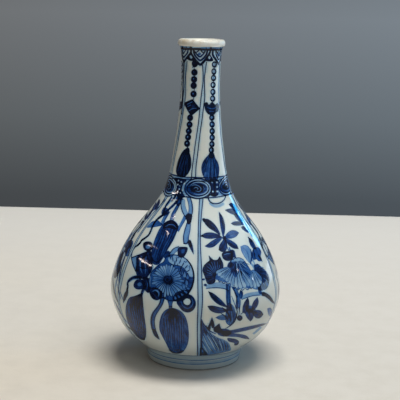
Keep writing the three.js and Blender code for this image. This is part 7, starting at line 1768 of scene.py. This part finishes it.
def cloth():
    t = Tree("pale_floor")
    pos = t.add("ShaderNodeTexCoord").outputs["Object"]
    big = t.noise(pos, 5.0, 3.0, 0.55)
    mid = t.noise(pos, 38.0, 3.0, 0.6)
    x = t.add("ShaderNodeSeparateXYZ", {"Vector": pos}).outputs[0]
    # painted light: the cloth is painted warmer on the left and cooler on the right, the tint of the warm lamp on the
    # left and the blue light on the right
    side = t.span(x, -0.35, 0.35)
    c = t.mix(side, (0.720, 0.655, 0.550, 1), (0.660, 0.634, 0.588, 1))
    c = t.mix(t.span(big, 0.38, 0.66, 0.0, 0.60), c, (0.690, 0.655, 0.595, 1))
    c = t.mix(t.span(mid, 0.40, 0.70, 0.0, 0.35), c, (0.575, 0.535, 0.465, 1))
    # the table's far parts lie a little out of the light
    out = t.add("ShaderNodeVectorMath", {0: pos, 1: (0, 0.22, 0)}, operation="DISTANCE").outputs["Value"]
    # painted light: the cloth is painted paler towards the back
    c = t.mix(t.span(t.add("ShaderNodeSeparateXYZ", {"Vector": pos}).outputs[1], -0.05, 0.50, 0.0, 0.85), c, (0.800, 0.770, 0.715, 1))
    far = t.ramp(t.span(out, 0.7, 1.8), [(0.0, (1, 1, 1)), (0.6, (0.62, 0.62, 0.63)), (1.0, (0.42, 0.42, 0.43))], "EASE")
    c = t.mix(1.0, c, far, "MULTIPLY")
    finish_shader(t, c, t.span(mid, 0.3, 0.7, 0.75, 0.9), t.noise(pos, 520.0, 3.0), 0.0006, 0.25)
    return t.owner


# ---------------------------------------------------------------------- pieces

def lip_piece():
    # from the joint with the neck, out round the bead, over the top and down the bore
    points = [(17.65, 264.4), (18.45, 264.42), (18.95, 264.62), (19.3, 265.1), (19.48, 265.9), (19.49, 266.7), (19.36, 267.8),
              (18.85, 268.95), (17.85, 269.72), (16.4, 269.98), (15.0, 269.72), (13.75, 268.85), (12.98, 267.3), (12.72, 265.7), (12.7, 264.4)]
    outline, marks = dense(points, 0.32, (0, 14))
    rnd = np.random.RandomState(4)
    chips = [(math.radians(a), rr, zz, w, dd) for a, rr, zz, w, dd in
             [(-118, 18.9, 268.9, 1.9, .42), (-84, 18.3, 269.5, 1.2, .30), (-63, 19.0, 268.7, 1.0, .26), (-41, 17.9, 269.7, .9, .22),
              (-22, 18.6, 269.2, 1.4, .30), (14, 18.2, 269.6, .8, .20), (47, 18.8, 268.9, 1.0, .22), (96, 18.0, 269.7, 1.1, .25),
              (133, 18.7, 269.0, 1.6, .34), (171, 18.2, 269.5, 1.0, .24), (-152, 18.6, 269.3, 1.3, .30), (-8, 15.2, 269.8, .9, .2), (64, 14.6, 269.5, 1.2, .22)]]

    def chip_at(t, r, z):
        total = np.zeros(np.shape(t))
        for a, rr, zz, w, dd in chips:
            along = ((t - a + math.pi) % (2 * math.pi) - math.pi) * rr
            far = np.sqrt((along / w) ** 2 + ((r - rr) / (0.75 * w)) ** 2 + ((z - zz) / (0.75 * w)) ** 2)
            total = np.maximum(total, dd * np.clip(1.15 - far, 0, 1) ** 0.7)
        return total

    def warp(t, r, z):
        d = chip_at(t, r, z)
        centre_r, centre_z = 16.1, 266.0
        dr, dz = r - centre_r, z - centre_z
        size = np.maximum(np.hypot(dr, dz), 0.5)
        top = np.clip((z - 264.4) / 1.0, 0, 1)
        sag = 0.10 * (1 + np.sin(2 * t + 0.9)) + 0.05 * (1 + np.sin(3 * t + 2.0)) + 0.03 * (1 + np.sin(7 * t))
        r2 = r - dent(t, np.full_like(z, LIP)) * np.clip((r - 14.5) / 2, 0, 1) * (1 - top) - top * np.clip((r - 14.5) / 2, 0, 1) * (dent(t, np.full_like(z, LIP)) + 0.02 * np.sin(11 * t))
        z2 = z - sag * np.clip((z - 266) / 4, 0, 1)
        return r2 - d * dr / size, z2 - d * dz / size

    def values(t, r, z):
        chip = np.clip(chip_at(t, r, z + 0.15) / 0.2, 0, 1)
        # painted shade: the wear is laid heavier towards the front-left, the side of the rim that lies in shade
        front_left_shade = 0.45 + 0.55 * np.clip(np.cos(t + math.radians(52)), 0, 1) ** 1.2
        worn = front_left_shade * np.clip((z - 265.0) / 3.0, 0, 1) * np.clip((r - 13.4) / 2.0, 0, 1)
        return {"chip": chip, "worn": worn}
    obj = revolve("mouth_rim_glazed", outline, lip_glaze(), 300, marks, warp, True, values, charts=3)
    return obj


def foot_piece():
    points = [(36.2, 0.0), (38.95, 0.0), (39.35, 0.28), (39.62, 0.95), (39.85, 2.1), (40.2, 3.8), (40.55, 5.3), (40.85, 6.7), (41.08, 7.7), (41.3, 8.5),
              (35.8, 8.5), (35.8, 4.4), (35.45, 3.4), (35.2, 1.0), (35.5, 0.25)]
    outline, marks = dense(points, 0.28, (0, 1, 9, 10))

    def warp(t, r, z):
        side = np.clip((r - 37.0) / 1.0, 0, 1)
        up = np.clip(z / FOOT, 0, 1)
        own = 0.05 * (1 + np.sin(4 * t + 1.2)) + 0.03 * (1 + np.sin(17 * t + 3 * np.sin(2 * t)))
        return r - side * (up * dent(t, np.full_like(z, FOOT)) + np.clip(z, 0, 1) * (1 - up) * own), z

    def values(t, r, z):
        outside = np.clip((r - 37.5) / 0.5, 0, 1)
        wob = 0.12 * np.sin(3 * t + 1) + 0.08 * np.sin(7 * t)
        line = np.clip(1.35 - np.abs(z - 5.8 - wob) / 0.42, 0, 1)
        cobalt = outside * np.maximum(0.55 * line, 0.13 * np.clip((z - 5.6) / 0.4, 0, 1) + 0.05)
        bare = np.clip((0.62 - z) / 0.5, 0, 1) + 0.45 * (1 - outside) * np.clip((1.6 - z) / 1.2, 0, 1)
        # a dark band where the foot's outside turns under: partly the brown of the rim, partly painted shade where the
        # foot meets the floor
        edge = outside * np.clip(1 - np.abs(z - 0.95) / 0.55, 0, 1)
        return {"cobalt": cobalt, "bare": np.clip(bare, 0, 1), "edge": edge}
    return revolve("foot_ring_glazed", outline, foot_glaze(), 360, marks, warp, True, values, charts=3)


def base_piece():
    under = [(0.0, 5.08), (6, 5.06), (14, 4.98), (20, 4.87), (26, 4.72), (31, 4.58), (33.8, 4.53), (35.0, 4.75), (35.6, 5.4), (35.72, 6.2), (35.72, 8.5), (0.0, 8.5)]
    outline, marks = dense(under, 0.45, (0, 10, 11))
    outline = outline[:int(np.argmax(outline[:, 1] >= 8.5 - 1e-9)) + 1]
    marks = [len(outline) - 1]
    outline = np.vstack([outline, [[20.0, 8.5], [0.0, 8.5]]])

    def warp(t, r, z):
        low = np.clip((5.3 - z) / 0.3, 0, 1) * np.clip(r / 3.0, 0, 1)
        # chatter of the turning tool, running slowly outwards
        turning = 0.035 * (1 + np.sin(r * 2.4 + t)) + 0.02 * (1 + np.sin(r * 0.9 + 3 * t * 0))
        return r, z + low * turning

    def values(t, r, z):
        return {"thin": np.clip((r - 29) / 6.0, 0, 1) * (z < 6.5) + 0.25 * (0.5 + 0.5 * np.sin(r * 2.4 + t)) * (r < 29)}
    return revolve("base_glazed", outline, base_glaze(), 240, marks, warp, False, values, charts=4)


PAINTED = painted_glaze()
walls = build_walls(PAINTED)
PIECES = [(walls["lower_body"], "lower_body", "painted_glaze"), (walls["upper_body"], "upper_body", "painted_glaze"),
          (walls["neck"], "neck", "painted_glaze"), (lip_piece(), "mouth_rim", "lip"), (foot_piece(), "foot_ring", "foot"),
          (base_piece(), "base", "base")]
for obj, node, slot in PIECES:
    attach(obj, BODY)
    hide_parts(node)

# ------------------------------------------------------------- floor and light

def make_floor():
    nx, ny = 60, 60
    xs = np.linspace(-3.2, 3.2, nx + 1)
    ys = np.concatenate([np.linspace(-3.4, 0.60, ny), [0.611, 0.6145]])
    points, faces = [], []
    for y in ys:
        for x in xs:
            points.append((x * 1000, y * 1000, -0.15 if y < 0.6 else (-0.5 if y < 0.612 else -2.2)))
    w = nx + 1
    for j in range(len(ys) - 1):
        for i in range(nx):
            faces.append((j * w + i, j * w + i + 1, (j + 1) * w + i + 1, (j + 1) * w + i))
    floor = new_object("floor", [(x, y, z + 0.15) for x, y, z in points], faces, cloth())


make_floor()


def direction(az, el):
    a, e = math.radians(az), math.radians(el)
    return Vector((math.sin(a) * math.cos(e), -math.cos(a) * math.cos(e), math.sin(e)))


def area_light(name, az, el, distance, width, height, radiance, colour, aim=(0, 0, 0.12), roll=0.0, spread=180.0, shine=True, fill=True):
    """A soft light seen from the vase at azimuth az (0 towards the viewer, 90 to the right) and elevation el."""
    data = bpy.data.lights.new(name, "AREA")
    data.shape, data.size, data.size_y = "RECTANGLE", width, height
    data.energy = radiance * math.pi * width * height
    data.color = colour
    data.spread = math.radians(spread)
    obj = bpy.data.objects.new(name, data)
    bpy.context.scene.collection.objects.link(obj)
    aim = Vector(aim)
    obj.location = aim + direction(az, el) * distance
    turn = (aim - obj.location).to_track_quat("-Z", "Y")
    obj.rotation_mode = "QUATERNION"
    obj.rotation_quaternion = turn @ Matrix.Rotation(math.radians(roll), 4, "Z").to_quaternion()
    obj.visible_camera = False
    obj.visible_glossy, obj.visible_diffuse = shine, fill
    return obj


def make_world():
    t = Tree("studio", "world")
    ray = t.add("ShaderNodeTexCoord").outputs["Generated"]
    xyz = t.add("ShaderNodeSeparateXYZ", {"Vector": ray})
    x, y, z = xyz.outputs[0], xyz.outputs[1], xyz.outputs[2]
    # grey, darker low down behind the table, with one broad soft light high up behind
    wall = t.ramp(t.span(z, -0.25, 0.75), [
        (0.0, (0.058, 0.064, 0.071)), (0.062, (0.066, 0.075, 0.083)), (0.137, (0.122, 0.138, 0.150)), (0.23, (0.178, 0.195, 0.211)),
        (0.35, (0.125, 0.135, 0.145)), (0.62, (0.085, 0.092, 0.10)), (0.85, (0.10, 0.105, 0.11)), (1.0, (0.16, 0.165, 0.17))])
    tint = t.ramp(t.span(x, -1.0, 1.0), [(0.0, (0.62, 0.46, 0.33)), (0.405, (0.90, 0.87, 0.84)), (0.595, (1.10, 1.17, 1.23)), (1.0, (1.10, 1.45, 1.80))])
    colour = t.mix(1.0, wall, tint, "MULTIPLY")
    lamp = direction(35, 55)
    facing = t.add("ShaderNodeVectorMath", {0: ray, 1: tuple(lamp)}, operation="DOT_PRODUCT").outputs["Value"]
    glow = t.ramp(t.span(facing, 0.60, 1.0), [(0.0, (0, 0, 0)), (0.35, (0.10, 0.10, 0.10)), (0.70, (0.29, 0.293, 0.296)), (1.0, (0.42, 0.426, 0.432))], "EASE")
    colour = t.mix(1.0, colour, glow, "ADD")
    back = t.add("ShaderNodeBackground", {"Color": colour, "Strength": 1.0})
    out = t.add("ShaderNodeOutputWorld")
    t.t.links.new(back.outputs[0], out.inputs[0])
    bpy.context.scene.world = t.owner


make_world()
area_light("overhead", 0, 85, 2.0, 1.08, 0.70, 14.4, (1.0, 0.98, 0.93), aim=(0.245, 0, 0.03))
area_light("front_beam", 30, 13, 2.0, 0.34, 0.12, 0.17, (1.0, 0.99, 0.97), aim=(0, 0, 0.222), spread=7.0, shine=False)
area_light("side_beam", 78, 12, 2.0, 0.34, 0.12, 0.075, (0.22, 0.72, 1.0), aim=(0, 0, 0.225), spread=7.0, shine=False)
area_light("soft_right", 132, 17, 2.6, 0.36, 0.62, 12.5, (0.04, 0.44, 1.0), fill=False)
area_light("soft_edge", 139, 16, 2.6, 0.12, 0.56, 5.5, (0.40, 0.85, 1.0), fill=False)
area_light("blue_right", 120, 14, 2.6, 0.60, 0.60, 6.0, (0.06, 0.52, 1.0), shine=False)
area_light("pale_right", 127, 1, 2.6, 0.80, 0.40, 2.6, (0.62, 0.80, 1.0), fill=False)
area_light("pale_edge", 107, 0, 2.6, 0.80, 0.26, 2.8, (0.55, 0.82, 1.0), fill=False)
area_light("pale_high", 106, 40, 2.6, 1.50, 1.15, 2.0, (0.72, 0.93, 1.0), fill=False)
area_light("strip_left", -86, 23, 2.6, 1.15, 0.022, 55.0, (1.0, 0.86, 0.80), roll=12, fill=False)
area_light("strip_high", -78, 48, 2.6, 0.34, 0.022, 55.0, (1.0, 0.86, 0.80), roll=10, fill=False)
area_light("strip_mid", -88, 32, 2.6, 0.90, 0.010, 32.0, (1.0, 0.88, 0.84), roll=20, fill=False)
area_light("spark_right", 88, 12, 2.6, 0.06, 0.06, 42.0, (0.80, 0.92, 1.0), fill=False)
area_light("spark_front", 68, 25, 2.6, 0.04, 0.06, 38.0, (1.0, 0.88, 0.90), fill=False)

scene = bpy.context.scene
scene.view_settings.view_transform = "Standard"
scene.view_settings.look = "None"
scene.view_settings.exposure = 0.0
scene.view_settings.gamma = 1.0
